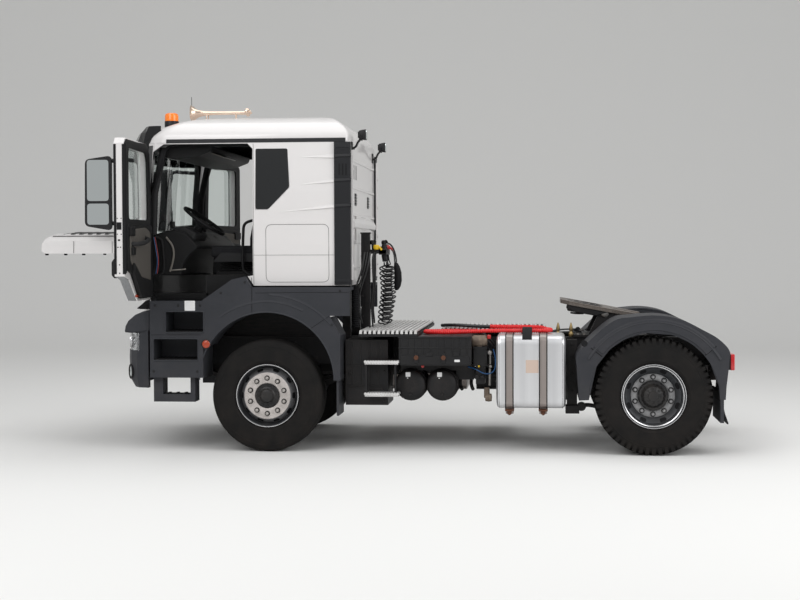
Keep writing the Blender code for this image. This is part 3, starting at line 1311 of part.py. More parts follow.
def make_work_lamps():
    """Two rear work lamps on a bar across the top of the cab's rear wall."""
    wall = CAB_REAR + FIT
    low = CAB_TOP - 0.06
    shapes = [block((wall, -0.93, low), (wall + 0.02, 0.93, low + 0.04))]
    for side in (-1, 1):
        shapes.append(pair_block(side, (wall + 0.01, 0.86, low + SINK), (WORK_LAMP_X, 0.90, WORK_LAMP_Z)))
        shapes.append(pair_block(side, (WORK_LAMP_X - SINK, 0.88 - WORK_LAMP_SIZE / 2, WORK_LAMP_Z - 0.03),
                                 (WORK_LAMP_X + WORK_LAMP_SIZE * 0.7, 0.88 + WORK_LAMP_SIZE / 2, WORK_LAMP_Z + 0.07)))
    piece("work_lamps", joined(*shapes), "black_plastic", "cab_pivot", smooth=False)


# Doors, drawn closed on the right side

WINDOW_SHARES = ((0.10, 0.50), (0.90, 0.50), (0.90, 0.95), (0.19, 0.95), (0.13, 0.90), (0.10, 0.62))
GLASS_THICK = 0.008
GLASS_GAP = 0.0012
MIRROR_IN = CAB_HALF + 0.29
MIRROR_OUT = MIRROR_IN + 0.26
MIRROR_LOW = 2.10
MIRROR_HIGH = 2.76
MIRROR_DEPTH = 0.09
MIRROR_X = -1.165
ARM_RADIUS = 0.018


def window_outline(grow):
    low = (DOOR_FRONT, DOOR_LOW)
    high = (DOOR_REAR, DOOR_TOP)
    points = spread(WINDOW_SHARES, low, high)
    middle = Vector((sum(p[0] for p in points) / len(points), sum(p[1] for p in points) / len(points)))
    return rounded([tuple(Vector(p) + (Vector(p) - middle).normalized() * grow * 1.4) for p in points], 0.04, 2)


def make_doors():
    inner = HINGE_Y - DOOR_THICKNESS / 2
    outer = HINGE_Y + DOOR_THICKNESS / 2
    middle = HINGE_Y + DOOR_THICKNESS * 0.2
    for label, side in SIDES:
        slab = carved(prism("y", door_outline(0), inner, outer),
                      prism("y", window_outline(0), inner - OVERRUN, outer + OVERRUN))
        shapes = [slab]
        for low in HINGE_LEVELS:
            shapes.append(rod((HINGE_X, HINGE_Y, low), (HINGE_X, HINGE_Y, low + HINGE_LENGTH), HINGE_PIN, 8))
            shapes.append(block((HINGE_X, HINGE_Y - HINGE_PIN * 0.6, low + HINGE_PIN / 2),
                                (DOOR_FRONT + SINK, HINGE_Y + HINGE_PIN * 0.6, low + HINGE_LENGTH - HINGE_PIN / 2)))
        piece(label + "_door", sided(joined(*shapes), side), "white_paint",
              label + "_door_pivot")
        glass = prism("y", window_outline(-GLASS_GAP), middle - GLASS_THICK / 2, middle + GLASS_THICK / 2)
        piece(label + "_door_glass", sided(glass, side), "glass", label + "_door_pivot")
        plan = rounded([(MIRROR_X, MIRROR_IN), (MIRROR_X, MIRROR_OUT), (MIRROR_X - MIRROR_DEPTH * 0.6, MIRROR_OUT),
                        (MIRROR_X - MIRROR_DEPTH, MIRROR_OUT - 0.06), (MIRROR_X - MIRROR_DEPTH, MIRROR_IN)], 0.03, 2)
        shapes = [prism("z", plan, MIRROR_LOW, MIRROR_HIGH)]
        foot = outer + FIT
        for z in (MIRROR_LOW + 0.03, MIRROR_HIGH - 0.03):
            shapes.append(rod((MIRROR_X - 0.04, MIRROR_IN + 0.02, z), (DOOR_FRONT + 0.05, foot + 0.02, z), ARM_RADIUS, 8))
            shapes.append(block((DOOR_FRONT + 0.02, foot, z - 0.04), (DOOR_FRONT + 0.08, foot + 0.03, z + 0.04)))
        piece(label + "_mirror", sided(joined(*shapes), side), "black_plastic", label + "_door_pivot")


# Front flap, drawn closed

FLAP_LEVELS = ((FLAP_LOW, 0.045), (FLAP_LOW + 0.025, 0.016), (FLAP_LOW + 0.07, 0.0), (FLAP_TOP - 0.04, 0.0),
               (FLAP_TOP, 0.008))


def flap_solid(inset, extend):
    """A slightly bowed front with rounded corners and deep returns at both sides."""
    rings = []
    for z, set_back in FLAP_LEVELS:
        front = FLAP_FRONT + set_back + inset
        rings.append(nose_ring(z, front, FLAP_FRONT + FLAP_DEPTH, FLAP_HALF - inset,
                               FLAP_FRONT + FLAP_DEPTH + OVERRUN, FLAP_POWER))
    if extend:
        low, high = rings[0], rings[-1]
        rings = [[(x, y, z - extend) for x, y, z in low]] + rings + [[(x, y, z + extend) for x, y, z in high]]
    return loft(rings)


def make_flap():
    skin = carved(flap_solid(0, 0), flap_solid(FLAP_WALL, OVERRUN))
    side_view = [(FLAP_FRONT - OVERRUN, FLAP_LOW - OVERRUN), (FLAP_FRONT + FLAP_DEPTH, FLAP_LOW),
                 (FLAP_FRONT + FLAP_DEPTH, FLAP_TOP), (FLAP_FRONT - OVERRUN, FLAP_TOP + OVERRUN)]
    keep = prism("y", rounded(side_view, FLAP_CORNER), -CAB_HALF, CAB_HALF)
    shapes = [shared(skin, keep)]
    for side in (-1, 1):
        shapes.append(rod((FLAP_HINGE_X, side * FLAP_ARM_Y, FLAP_HINGE_Z),
                          (FLAP_HINGE_X, side * (FLAP_ARM_Y + FLAP_ARM_WIDTH * 2 + RUN), FLAP_HINGE_Z), FLAP_PIN, 12))
        shapes.append(pair_block(side, (FLAP_HINGE_X - FLAP_WALL, FLAP_ARM_Y, FLAP_TOP - FLAP_WALL * 2),
                                 (FLAP_HINGE_X + FLAP_PIN, FLAP_ARM_Y + FLAP_ARM_WIDTH, FLAP_HINGE_Z + FLAP_PIN * 0.6)))
    piece("front_flap", joined(*shapes), "white_paint", "flap_pivot")


def build():
    make_pivots()
    make_wheels()
    make_front_axle()
    make_rear_axle()
    make_knuckles()
    make_frame()
    make_engine()
    make_bumper()
    make_front_fenders()
    make_side_steps()
    make_battery_and_tanks()
    make_fuel_tank()
    make_right_gear()
    make_decks()
    make_rear_fenders()
    make_tail()
    make_fifth_wheel()
    make_air_lines()
    make_hose()
    make_cab_shell()
    make_roof()
    make_corner_panels()
    make_dashboard()
    make_seats()
    make_roof_gear()
    make_work_lamps()
    make_doors()
    make_flap()


build()
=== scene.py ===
"""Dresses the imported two-axle tractor unit with its detailed pieces and finishes.

Lengths are in metres. Pieces are drawn in the truck frame: x runs rearwards from the front axle, y to the
truck's right and z up from the ground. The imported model's place in its own frame is read from the tyres.
"""

import json
import logging
import math
from dataclasses import dataclass
from enum import Enum
from typing import Any, Callable, Iterable, Optional, Sequence

import bmesh
import bpy
from mathutils import Matrix, Vector
from mathutils.bvhtree import BVHTree

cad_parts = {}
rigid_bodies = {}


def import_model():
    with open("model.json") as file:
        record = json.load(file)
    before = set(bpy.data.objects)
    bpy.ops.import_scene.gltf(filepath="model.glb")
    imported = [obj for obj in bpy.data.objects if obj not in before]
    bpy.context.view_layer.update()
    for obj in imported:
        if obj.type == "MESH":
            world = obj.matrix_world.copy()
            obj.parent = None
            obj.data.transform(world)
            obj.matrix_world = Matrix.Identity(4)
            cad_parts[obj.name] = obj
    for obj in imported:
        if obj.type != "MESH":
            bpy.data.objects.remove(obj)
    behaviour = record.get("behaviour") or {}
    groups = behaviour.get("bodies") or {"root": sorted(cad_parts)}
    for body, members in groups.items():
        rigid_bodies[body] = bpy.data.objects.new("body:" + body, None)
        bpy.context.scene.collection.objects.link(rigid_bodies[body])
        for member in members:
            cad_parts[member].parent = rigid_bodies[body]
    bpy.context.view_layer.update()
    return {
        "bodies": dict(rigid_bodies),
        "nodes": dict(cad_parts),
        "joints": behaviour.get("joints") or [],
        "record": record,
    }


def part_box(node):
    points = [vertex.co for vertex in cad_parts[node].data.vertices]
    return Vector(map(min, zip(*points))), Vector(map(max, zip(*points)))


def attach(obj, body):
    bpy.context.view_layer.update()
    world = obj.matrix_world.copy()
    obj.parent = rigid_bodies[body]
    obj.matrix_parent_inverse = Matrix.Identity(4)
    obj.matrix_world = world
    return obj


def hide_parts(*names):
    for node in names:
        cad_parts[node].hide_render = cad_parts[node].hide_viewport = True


LOG = logging.getLogger("tractor_unit")
Point = Sequence[float]
Outline = Sequence[Sequence[float]]
Colour = tuple[float, float, float]
Nodes = dict[str, bpy.types.Object]
Socket = bpy.types.NodeSocket
Tree = bpy.types.NodeTree


# Finishes


class Grain(Enum):
    """The surface texture of a finish."""

    SMOOTH = "smooth"
    MOULDED = "moulded"
    CAST = "cast"
    BRUSHED = "brushed"
    WOVEN = "woven"
    RUBBER = "rubber"
    CHEQUER = "chequer"


class Graph:
    """Adds and links the nodes of one material or node group."""

    def __init__(self, tree: Tree) -> None:
        """Starts with an empty tree.

        Args:
            tree: The node tree to fill.
        """
        self.tree = tree
        tree.nodes.clear()

    def add(self, kind: str, sockets: Optional[dict[Any, Any]] = None, **settings: Any) -> bpy.types.Node:
        """Makes a node, sets its options and fills its sockets.

        Args:
            kind: The node's type.
            sockets: Values or output sockets, by input name or number.
            **settings: Attributes of the node.

        Returns:
            The node.
        """
        made = self.tree.nodes.new(kind)
        for key, value in settings.items():
            setattr(made, key, value)
        for key, value in (sockets or {}).items():
            if isinstance(value, Socket):
                self.tree.links.new(value, made.inputs[key])
            else:
                made.inputs[key].default_value = value
        return made

    def math(self, operation: str, a: Any, b: Any = 0.0) -> Socket:
        """Returns the result of an operation on two values."""
        return self.add("ShaderNodeMath", {0: a, 1: b}, operation=operation).outputs[0]

    def span(self, value: Any, low: float, high: float, to_low: float, to_high: float) -> Socket:
        """Returns a value mapped from one range to another, held at its ends."""
        return self.add("ShaderNodeMapRange", {0: value, 1: low, 2: high, 3: to_low, 4: to_high}).outputs[0]

    def blend(self, share: Any, first: Any, second: Any) -> Socket:
        """Returns a mix of two colours."""
        return self.add("ShaderNodeMix", {0: share, 6: first, 7: second}, data_type="RGBA").outputs[2]


def new_group(name: str, inputs: dict[str, float], outputs: dict[str, str]) -> tuple[Tree, Graph, Any, Any]:
    """Starts a shader node group with named sockets.

    Args:
        name: The group's name.
        inputs: Each input's starting value.
        outputs: Each output's socket type.

    Returns:
        The tree, its graph, and its input and output nodes.
    """
    tree = bpy.data.node_groups.new(name, "ShaderNodeTree")
    for label, value in inputs.items():
        socket = tree.interface.new_socket(label, in_out="INPUT", socket_type="NodeSocketFloat")
        socket.default_value = value
    for label, kind in outputs.items():
        tree.interface.new_socket(label, in_out="OUTPUT", socket_type=kind)
    graph = Graph(tree)
    return tree, graph, graph.add("NodeGroupInput"), graph.add("NodeGroupOutput")


class Effects:
    """The node groups that several finishes share, each built once."""

    made: dict[str, Tree] = {}

    @classmethod
    def get(cls, name: str) -> Tree:
        """Returns a shared group, built at its first use.

        Args:
            name: The group's name.

        Returns:
            The node group.
        """
        if name not in cls.made:
            cls.made[name] = getattr(cls, name)()
        return cls.made[name]

    @staticmethod
    def road_dust() -> Tree:
        """Returns dust that thins out with height and gathers on upward faces.

        Returns:
            The node group.
        """
        tree, graph, given, result = new_group(
            "road_dust", {"Top": 1.2, "Amount": 0.3, "Scale": 6.0}, {"Mask": "NodeSocketFloat"})
        place = graph.add("ShaderNodeTexCoord").outputs["Object"]
        height = graph.add("ShaderNodeSeparateXYZ", {0: place}).outputs[2]
        rise = graph.add("ShaderNodeMapRange", {0: height, 1: given.outputs["Top"], 2: 0.0, 3: 0.0, 4: 1.0}).outputs[0]
        cloud = graph.add("ShaderNodeTexNoise", {"Vector": place, "Scale": given.outputs["Scale"], "Detail": 6.0,
                                                 "Roughness": 0.62}).outputs[0]
        patch = graph.span(cloud, 0.38, 0.68, 0.0, 1.0)
        normal = graph.add("ShaderNodeNewGeometry").outputs["Normal"]
        up = graph.span(graph.add("ShaderNodeSeparateXYZ", {0: normal}).outputs[2], 0.2, 1.0, 0.0, 0.5)
        spread = graph.math("ADD", graph.math("MULTIPLY", rise, patch), graph.math("MULTIPLY", up, patch))
        graph.tree.links.new(graph.math("MULTIPLY", spread, given.outputs["Amount"]), result.inputs["Mask"])
        return tree

    @staticmethod
    def fine_grain() -> Tree:
        """Returns the height of a moulded or cast surface.

        Returns:
            The node group.
        """
        tree, graph, given, result = new_group("fine_grain", {"Scale": 400.0}, {"Height": "NodeSocketFloat"})
        place = graph.add("ShaderNodeTexCoord").outputs["Object"]
        fine = graph.add("ShaderNodeTexNoise", {"Vector": place, "Scale": given.outputs["Scale"], "Detail": 3.0})
        broad = graph.add("ShaderNodeTexNoise", {
            "Vector": place, "Scale": graph.math("MULTIPLY", given.outputs["Scale"], 0.12), "Detail": 2.0})
        total = graph.math("ADD", graph.math("MULTIPLY", fine.outputs[0], 0.6), broad.outputs[0])
        graph.tree.links.new(total, result.inputs["Height"])
        return tree

    @staticmethod
    def drawn_lines() -> Tree:
        """Returns fine upright lines, as on drawn or brushed metal.

        Returns:
            The node group.
        """
        tree, graph, given, result = new_group(
            "drawn_lines", {"Scale": 60.0}, {"Height": "NodeSocketFloat", "Mask": "NodeSocketFloat"})
        place = graph.add("ShaderNodeTexCoord").outputs["Object"]
        narrow = graph.add("ShaderNodeMapping", {"Vector": place, "Scale": (1.0, 1.0, 0.02)}).outputs[0]
        fine = graph.add("ShaderNodeTexNoise", {"Vector": narrow, "Scale": given.outputs["Scale"], "Detail": 5.0})
        broad = graph.add("ShaderNodeTexNoise", {
            "Vector": narrow, "Scale": graph.math("MULTIPLY", given.outputs["Scale"], 0.2), "Detail": 2.0})
        graph.tree.links.new(fine.outputs[0], result.inputs["Height"])
        graph.tree.links.new(graph.span(broad.outputs[0], 0.3, 0.7, 0.0, 1.0), result.inputs["Mask"])
        return tree

    @staticmethod
    def worn_edges() -> Tree:
        """Returns where the corners have rubbed bare.

        Returns:
            The node group.
        """
        tree, graph, given, result = new_group("worn_edges", {"Amount": 0.5}, {"Mask": "NodeSocketFloat"})
        edge = graph.span(graph.add("ShaderNodeNewGeometry").outputs["Pointiness"], 0.52, 0.60, 0.0, 1.0)
        cloud = graph.add("ShaderNodeTexNoise", {"Scale": 45.0, "Detail": 4.0}).outputs[0]
        rubbed = graph.math("MULTIPLY", edge, graph.span(cloud, 0.4, 0.6, 0.0, 1.0))
        graph.tree.links.new(graph.math("MULTIPLY", rubbed, given.outputs["Amount"]), result.inputs["Mask"])
        return tree

    @staticmethod
    def cloth_weave() -> Tree:
        """Returns the height of a coarse seat cloth.

        Returns:
            The node group.
        """
        tree, graph, given, result = new_group("cloth_weave", {"Scale": 300.0}, {"Height": "NodeSocketFloat"})
        place = graph.add("ShaderNodeTexCoord").outputs["Object"]
        threads = [graph.add("ShaderNodeTexWave", {"Vector": place, "Scale": given.outputs["Scale"],
                                                   "Distortion": 0.6}, bands_direction=way).outputs[1]
                   for way in ("Y", "Z")]
        graph.tree.links.new(graph.math("MULTIPLY", threads[0], threads[1]), result.inputs["Height"])
        return tree


@dataclass(frozen=True)
class Finish:
    """One surface finish and how it is worn."""

    name: str
    colour: Colour
    roughness: float = 0.5
    metallic: float = 0.0
    coat: float = 0.0
    grain: Grain = Grain.SMOOTH
    grain_scale: float = 400.0
    grain_depth: float = 0.0004
    second: Optional[Colour] = None
    dust: float = 0.0
    dust_top: float = 1.3
    dust_colour: Colour = (0.20, 0.175, 0.15)
    wear: float = 0.0
    wear_colour: Colour = (0.30, 0.29, 0.28)
    transmission: float = 0.0
    specular: float = 0.5
    glow: float = 0.0
    # inner paints the faces inside the cab near-black: painted shade over the dark trim.
    inner: Optional[Colour] = None

    def height(self, graph: Graph) -> Optional[Socket]:
        """Returns the socket that raises this finish's grain, if it has one.

        Args:
            graph: The material's nodes.

        Returns:
            The height, or nothing on a smooth finish.
        """
        if self.grain in (Grain.MOULDED, Grain.CAST, Grain.RUBBER):
            return self.filled(graph, "fine_grain", {"Scale": self.grain_scale}).outputs["Height"]
        if self.grain is Grain.BRUSHED:
            return self.filled(graph, "drawn_lines", {"Scale": self.grain_scale}).outputs["Height"]
        if self.grain is Grain.WOVEN:
            return self.filled(graph, "cloth_weave", {"Scale": self.grain_scale}).outputs["Height"]
        if self.grain is Grain.CHEQUER:
            return graph.add("ShaderNodeTexVoronoi", {"Scale": self.grain_scale, "Randomness": 0.0}).outputs[0]
        return None

    @staticmethod
    def filled(graph: Graph, name: str, values: dict[str, float]) -> bpy.types.Node:
        """Places a shared effect in a material and fills its inputs.

        Args:
            graph: The material's nodes.
            name: The effect's name.
            values: Its inputs' values.

        Returns:
            The group's node.
        """
        made = graph.tree.nodes.new("ShaderNodeGroup")
        made.node_tree = Effects.get(name)
        for key, value in values.items():
            made.inputs[key].default_value = value
        return made

    def tint(self, graph: Graph) -> Any:
        """Returns the base colour with its mottle, painted shade inside the cab, dust and wear.

        Args:
            graph: The material's nodes.

        Returns:
            A colour or the socket that gives it.
        """
        colour: Any = (*self.colour, 1.0)
        if self.second:
            if self.grain is Grain.BRUSHED:
                share = self.filled(graph, "drawn_lines", {"Scale": self.grain_scale}).outputs["Mask"]
            else:
                cloud = graph.add("ShaderNodeTexNoise", {"Scale": 7.0, "Detail": 5.0, "Roughness": 0.6}).outputs[0]
                share = graph.span(cloud, 0.35, 0.65, 0.0, 1.0)
            colour = graph.blend(share, colour, (*self.second, 1.0))
        # Faces inside the cab take the inner colour: painted shade.
        if self.inner:
            colour = graph.blend(self.inside_shade_mask(graph), colour, (*self.inner, 1.0))
        if self.dust:
            mask = self.filled(graph, "road_dust", {"Top": self.dust_top, "Amount": self.dust}).outputs["Mask"]
            colour = graph.blend(mask, colour, (*self.dust_colour, 1.0))
        if self.wear:
            mask = self.filled(graph, "worn_edges", {"Amount": self.wear}).outputs["Mask"]
            colour = graph.blend(mask, colour, (*self.wear_colour, 1.0))
        return colour

    @staticmethod
    def inside_shade_mask(graph: Graph) -> Socket:
        """Returns 1 on the faces that look into the cab, between its two side walls, which take the painted shade of
        the cab's inside.

        Args:
            graph: The material's nodes.

        Returns:
            The mask.
        """
        place = graph.add("ShaderNodeSeparateXYZ", {0: graph.add("ShaderNodeTexCoord").outputs["Object"]}).outputs
        normal = graph.add("ShaderNodeSeparateXYZ",
                           {0: graph.add("ShaderNodeNewGeometry").outputs["True Normal"]}).outputs
        along = graph.math("ADD", place[0], -CAB_MIDDLE[0] - Truck.origin.x)
        across = graph.math("ADD", place[1], -Truck.origin.y)
        inward = graph.math("ADD", graph.math("MULTIPLY", along, normal[0]), graph.math("MULTIPLY", across, normal[1]))
        facing = graph.math("MULTIPLY", graph.math("LESS_THAN", inward, 0.02), graph.math("LESS_THAN", normal[2], 0.2))
        lid = graph.math("LESS_THAN", normal[2], -0.5)
        high = graph.math("GREATER_THAN", place[2], CAB_WAIST)
        floor = graph.math("MULTIPLY", graph.math("GREATER_THAN", normal[2], 0.5),
                           graph.math("LESS_THAN", place[2], CAB_WAIST))
        look = graph.math("MAXIMUM", graph.math("MAXIMUM", facing, graph.math("MULTIPLY", lid, high)), floor)
        within = graph.math("LESS_THAN", graph.math("ABSOLUTE", across), CAB_INNER_HALF)
        level = graph.math("MULTIPLY", graph.math("GREATER_THAN", place[2], CAB_SILL),
                           graph.math("LESS_THAN", place[2], CAB_ROOF_JOINT))
        span = graph.math("LESS_THAN", graph.math("ABSOLUTE", graph.math("ADD", along, 0.06)), CAB_HALF_LENGTH)
        narrow = graph.math("LESS_THAN", graph.math("ABSOLUTE", across), CAB_DOORWAY_HALF)
        cabin = graph.math("MULTIPLY", graph.math("MULTIPLY", level, span), narrow)
        return graph.math("MAXIMUM", graph.math("MULTIPLY", look, within), cabin)

    def build(self) -> bpy.types.Material:
        """Makes the material, once.

        Returns:
            The material.
        """
        made = bpy.data.materials.get(self.name)
        if made:
            return made
        made = bpy.data.materials.new(self.name)
        made.use_nodes = True
        graph = Graph(made.node_tree)
        shader = graph.add("ShaderNodeBsdfPrincipled", {
            "Roughness": self.roughness, "Metallic": self.metallic, "Coat Weight": self.coat, "Coat Roughness": 0.06,
            "Transmission Weight": self.transmission, "Specular IOR Level": self.specular})
        output = graph.add("ShaderNodeOutputMaterial")
        graph.tree.links.new(shader.outputs[0], output.inputs[0])
        colour = self.tint(graph)
        if isinstance(colour, Socket):
            graph.tree.links.new(colour, shader.inputs["Base Color"])
        else:
            shader.inputs["Base Color"].default_value = colour
        if self.glow:
            shader.inputs["Emission Color"].default_value = (*self.colour, 1.0)
            shader.inputs["Emission Strength"].default_value = self.glow
        height = self.height(graph)
        if height:
            bump = graph.add("ShaderNodeBump", {"Distance": self.grain_depth, "Height": height})
            graph.tree.links.new(bump.outputs[0], shader.inputs["Normal"])
        return made


WHITE_PAINT = Finish("white_paint_gloss", (0.69, 0.672, 0.668), 0.28, coat=0.5, second=(0.67, 0.655, 0.65), dust=0.10,
                     dust_top=1.9)
# The cab's white paint; its inner colour is the painted shade inside the cab.
CAB_PAINT = Finish("cab_paint", (0.69, 0.672, 0.668), 0.28, coat=0.5, dust=0.06, dust_top=1.9,
                   inner=(0.012, 0.012, 0.013))
CLADDING = Finish("grained_cladding", (0.034, 0.035, 0.041), 0.55, specular=0.22, grain=Grain.MOULDED,
                  grain_scale=420.0, second=(0.028, 0.030, 0.035), dust=0.12)
CLADDING_EDGE = Finish("cladding_edge", (0.036, 0.038, 0.044), 0.5, specular=0.22, grain=Grain.MOULDED)
DOOR_FOOT = Finish("door_foot", (0.30, 0.305, 0.315), 0.45, grain=Grain.MOULDED, second=(0.22, 0.225, 0.235), dust=0.3)
MOULDING = Finish("black_moulding", (0.009, 0.009, 0.010), 0.42, specular=0.3, grain=Grain.MOULDED, dust=0.05)
CORNER_BLACK = Finish("corner_black", (0.013, 0.0135, 0.0155), 0.35, specular=0.25, grain=Grain.MOULDED,
                      grain_scale=260.0)
GLOSS_BLACK = Finish("gloss_black", (0.009, 0.010, 0.011), 0.12, coat=0.3, specular=0.35)
# Near-black rubber of the seals; the same black also paints the shade in the rims' hand holes and the corner slots.
SEAL_AND_SHADE = Finish("rubber_seal_and_painted_shade", (0.008, 0.008, 0.009), 0.7, specular=0.2)
SEAM = Finish("seam_shadow", (0.13, 0.13, 0.13), 0.8)
SMOKED = Finish("smoked_visor", (0.007, 0.0075, 0.008), 0.16, coat=0.2, specular=0.3)
CHASSIS = Finish("chassis_paint", (0.0085, 0.0085, 0.0095), 0.48, specular=0.25, grain=Grain.CAST, grain_scale=150.0,
                 grain_depth=0.0008, dust=0.07, wear=0.15, wear_colour=(0.07, 0.05, 0.04))
TYRE_RUBBER = Finish("tyre_rubber", (0.0100, 0.0098, 0.0098), 0.78, specular=0.12, grain=Grain.RUBBER,
                     grain_scale=180.0, second=(0.0145, 0.0132, 0.0125), dust=0.10, dust_top=0.9,
                     dust_colour=(0.07, 0.052, 0.042))
RIM_PLATE = Finish("rim_plate", (0.58, 0.54, 0.52), 0.42, 0.35, grain=Grain.CAST, grain_scale=90.0,
                   second=(0.44, 0.41, 0.39), dust=0.25)
RIM_SHADE = Finish("rim_shade", (0.045, 0.048, 0.054), 0.42, 0.4, dust=0.1, second=(0.065, 0.068, 0.073))
# The disc's cone, a darker copy of the rim's steel: painted shade in the dish behind the plate.
RIM_CONE_SHADED = Finish("rim_cone_shaded", (0.25, 0.25, 0.26), 0.42, 0.4, second=(0.16, 0.163, 0.17), dust=0.2)
RIM_BRIGHT = Finish("rim_bright", (0.62, 0.62, 0.63), 0.26, 0.85)
RIM_GREY = Finish("rim_grey", (0.34, 0.34, 0.345), 0.45, 0.4, second=(0.24, 0.243, 0.25), dust=0.2)
HUB_BLACK = Finish("hub_black", (0.008, 0.008, 0.009), 0.35, specular=0.35, grain=Grain.CAST, grain_scale=120.0,
                   dust=0.15)
NUT = Finish("nut_cap", (0.42, 0.40, 0.38), 0.3, 0.8)
TANK_METAL = Finish("tank_metal", (0.60, 0.605, 0.62), 0.34, 0.75, grain=Grain.BRUSHED, grain_scale=55.0,
                    grain_depth=0.0003, second=(0.74, 0.745, 0.76))
STRAP_METAL = Finish("strap_metal", (0.36, 0.315, 0.295), 0.35, 0.75, grain=Grain.BRUSHED, grain_scale=90.0,
                     second=(0.27, 0.24, 0.225), dust=0.2)
RUST = Finish("rusty_steel", (0.14, 0.050, 0.022), 0.85, 0.1, grain=Grain.CAST, grain_scale=160.0, grain_depth=0.001,
              second=(0.06, 0.028, 0.018))
PLANK_METAL = Finish("plank_metal", (0.72, 0.715, 0.71), 0.42, 0.5, grain=Grain.BRUSHED, grain_scale=70.0,
                     second=(0.60, 0.59, 0.58), dust=0.15)
STEEL = Finish("dull_steel", (0.30, 0.295, 0.29), 0.45, 0.8, grain=Grain.CAST, grain_scale=200.0,
               second=(0.22, 0.20, 0.18))
GREASED_PLATE = Finish("greased_plate", (0.13, 0.12, 0.11), 0.42, 0.5, grain=Grain.CAST, grain_scale=60.0,
                       grain_depth=0.001, second=(0.085, 0.078, 0.070), wear=0.6, wear_colour=(0.25, 0.20, 0.17))
BRONZE = Finish("bronze_casting", (0.20, 0.155, 0.115), 0.5, 0.5, grain=Grain.CAST, grain_scale=140.0,
                second=(0.12, 0.09, 0.07))
BRASS = Finish("brass_fitting", (0.30, 0.22, 0.10), 0.4, 0.8)
HORN_METAL = Finish("horn_metal", (0.78, 0.62, 0.50), 0.14, 1.0)
HOSE_RED = Finish("red_sleeve", (0.72, 0.014, 0.016), 0.36, second=(0.62, 0.012, 0.014))
CABLE_RED = Finish("red_cable", (0.22, 0.006, 0.008), 0.4)
CABLE_BLUE = Finish("blue_line", (0.01, 0.07, 0.20), 0.4)
CABLE_BLACK = Finish("black_cable", (0.010, 0.010, 0.011), 0.36)
YELLOW = Finish("yellow_coupling", (0.72, 0.46, 0.01), 0.4)
RED_PLASTIC = Finish("red_plastic", (0.45, 0.012, 0.010), 0.3, coat=0.4)
LABEL = Finish("blank_label", (0.72, 0.72, 0.72), 0.5)
LABEL_PALE = Finish("pale_label", (0.55, 0.43, 0.36), 0.5)
TRIM_BLACK = Finish("cabin_black", (0.009, 0.009, 0.0095), 0.6, specular=0.2, grain=Grain.MOULDED, grain_scale=350.0)
TRIM_DARK = Finish("cabin_dark", (0.019, 0.019, 0.020), 0.7, specular=0.2, grain=Grain.MOULDED, grain_scale=350.0)
TRIM_PALE = Finish("cabin_beige", (0.085, 0.078, 0.070), 0.7, specular=0.2, grain=Grain.MOULDED, grain_scale=350.0)
TRIM_STRIP = Finish("cabin_strip", (0.20, 0.185, 0.165), 0.35, 0.4)
SEAT_CLOTH = Finish("seat_weave", (0.014, 0.014, 0.0155), 0.9, specular=0.1, grain=Grain.WOVEN, grain_scale=160.0,
                    grain_depth=0.0008, second=(0.021, 0.021, 0.023))
MAT_RUBBER = Finish("floor_mat", (0.018, 0.0175, 0.0175), 0.8, specular=0.2, grain=Grain.CHEQUER, grain_scale=60.0,
                    dust=0.2, dust_top=2.0)
GLASS = Finish("window_glass", (0.86, 0.93, 0.91), 0.02, transmission=1.0)
LAMP_GLASS = Finish("lamp_glass", (0.92, 0.94, 0.96), 0.03, transmission=0.9)
MIRROR = Finish("mirror_glass", (0.62, 0.66, 0.66), 0.03, 1.0)
REFLECTOR = Finish("lamp_bowl", (0.55, 0.55, 0.56), 0.3, 1.0)
AMBER = Finish("amber_dome", (0.95, 0.24, 0.01), 0.15, coat=0.5, second=(0.85, 0.16, 0.005), glow=0.12)
RED_LENS = Finish("red_lens", (0.55, 0.004, 0.010), 0.15, coat=0.6, glow=0.05)
ORANGE_LENS = Finish("orange_marker", (0.42, 0.045, 0.006), 0.25, coat=0.4, second=(0.30, 0.028, 0.004))
GREEN_STRIP = Finish("green_reflector", (0.10, 0.20, 0.04), 0.35)
PALE_FLOOR = Finish("pale_floor", (0.80, 0.80, 0.79), 0.9, specular=0.2)


# Shapes


class Truck:
    """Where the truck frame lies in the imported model's frame, and the matrices of turned pieces."""

    origin: Vector = Vector((0.0, 0.0, 0.0))
    wheelbase: float = 3.6
    left_door_turn: float = -88.0
    right_door_turn: float = 78.0
    hinge: Vector = Vector((-1.175, 1.095, 0.0))
    fifth_place: Vector = Vector((3.187, 0.0, 1.277))
    fifth_tilt: float = 10.5
    flap_place: Vector = Vector((-1.43, 0.0, 2.04))
    flap_turn: float = 90.0

    @classmethod
    def locate(cls) -> None:
        """Reads the truck's place from the front tyres."""
        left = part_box("left_front_tyre")
        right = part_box("right_front_tyre")
        middle = (Vector(left[0]) + Vector(left[1]) + Vector(right[0]) + Vector(right[1])) / 4
        cls.origin = Vector((middle.x, middle.y, 0.0))

    @classmethod
    def door_matrix(cls, side: int) -> Matrix:
        """Returns the turn of a door drawn closed on the given side.

        Args:
            side: -1 on the left, 1 on the right.

        Returns:
            The matrix.
        """
        place = Vector((cls.hinge.x, side * cls.hinge.y, 0.0))
        turn = math.radians(cls.left_door_turn if side < 0 else cls.right_door_turn)
        return Matrix.Translation(place) @ Matrix.Rotation(turn, 4, "Z") @ Matrix.Translation(-place)

    @classmethod
    def about(cls, place: Vector, degrees: float) -> Matrix:
        """Returns a turn about a cross axis through a place."""
        return Matrix.Translation(place) @ Matrix.Rotation(math.radians(degrees), 4, "Y") @ Matrix.Translation(-place)


# The cab's inside, painted near-black as painted shade over its dark trim: its middle, half widths and half length,
# sill, waist and roof joint
CAB_MIDDLE = (-0.30, 0.0)
CAB_INNER_HALF = 1.085
CAB_DOORWAY_HALF = 1.06
CAB_HALF_LENGTH = 0.95
CAB_SILL, CAB_WAIST, CAB_ROOF_JOINT = 1.462, 2.0, 2.9
AXES = {"x": (1, 2, 0), "y": (0, 2, 1), "z": (0, 1, 2)}


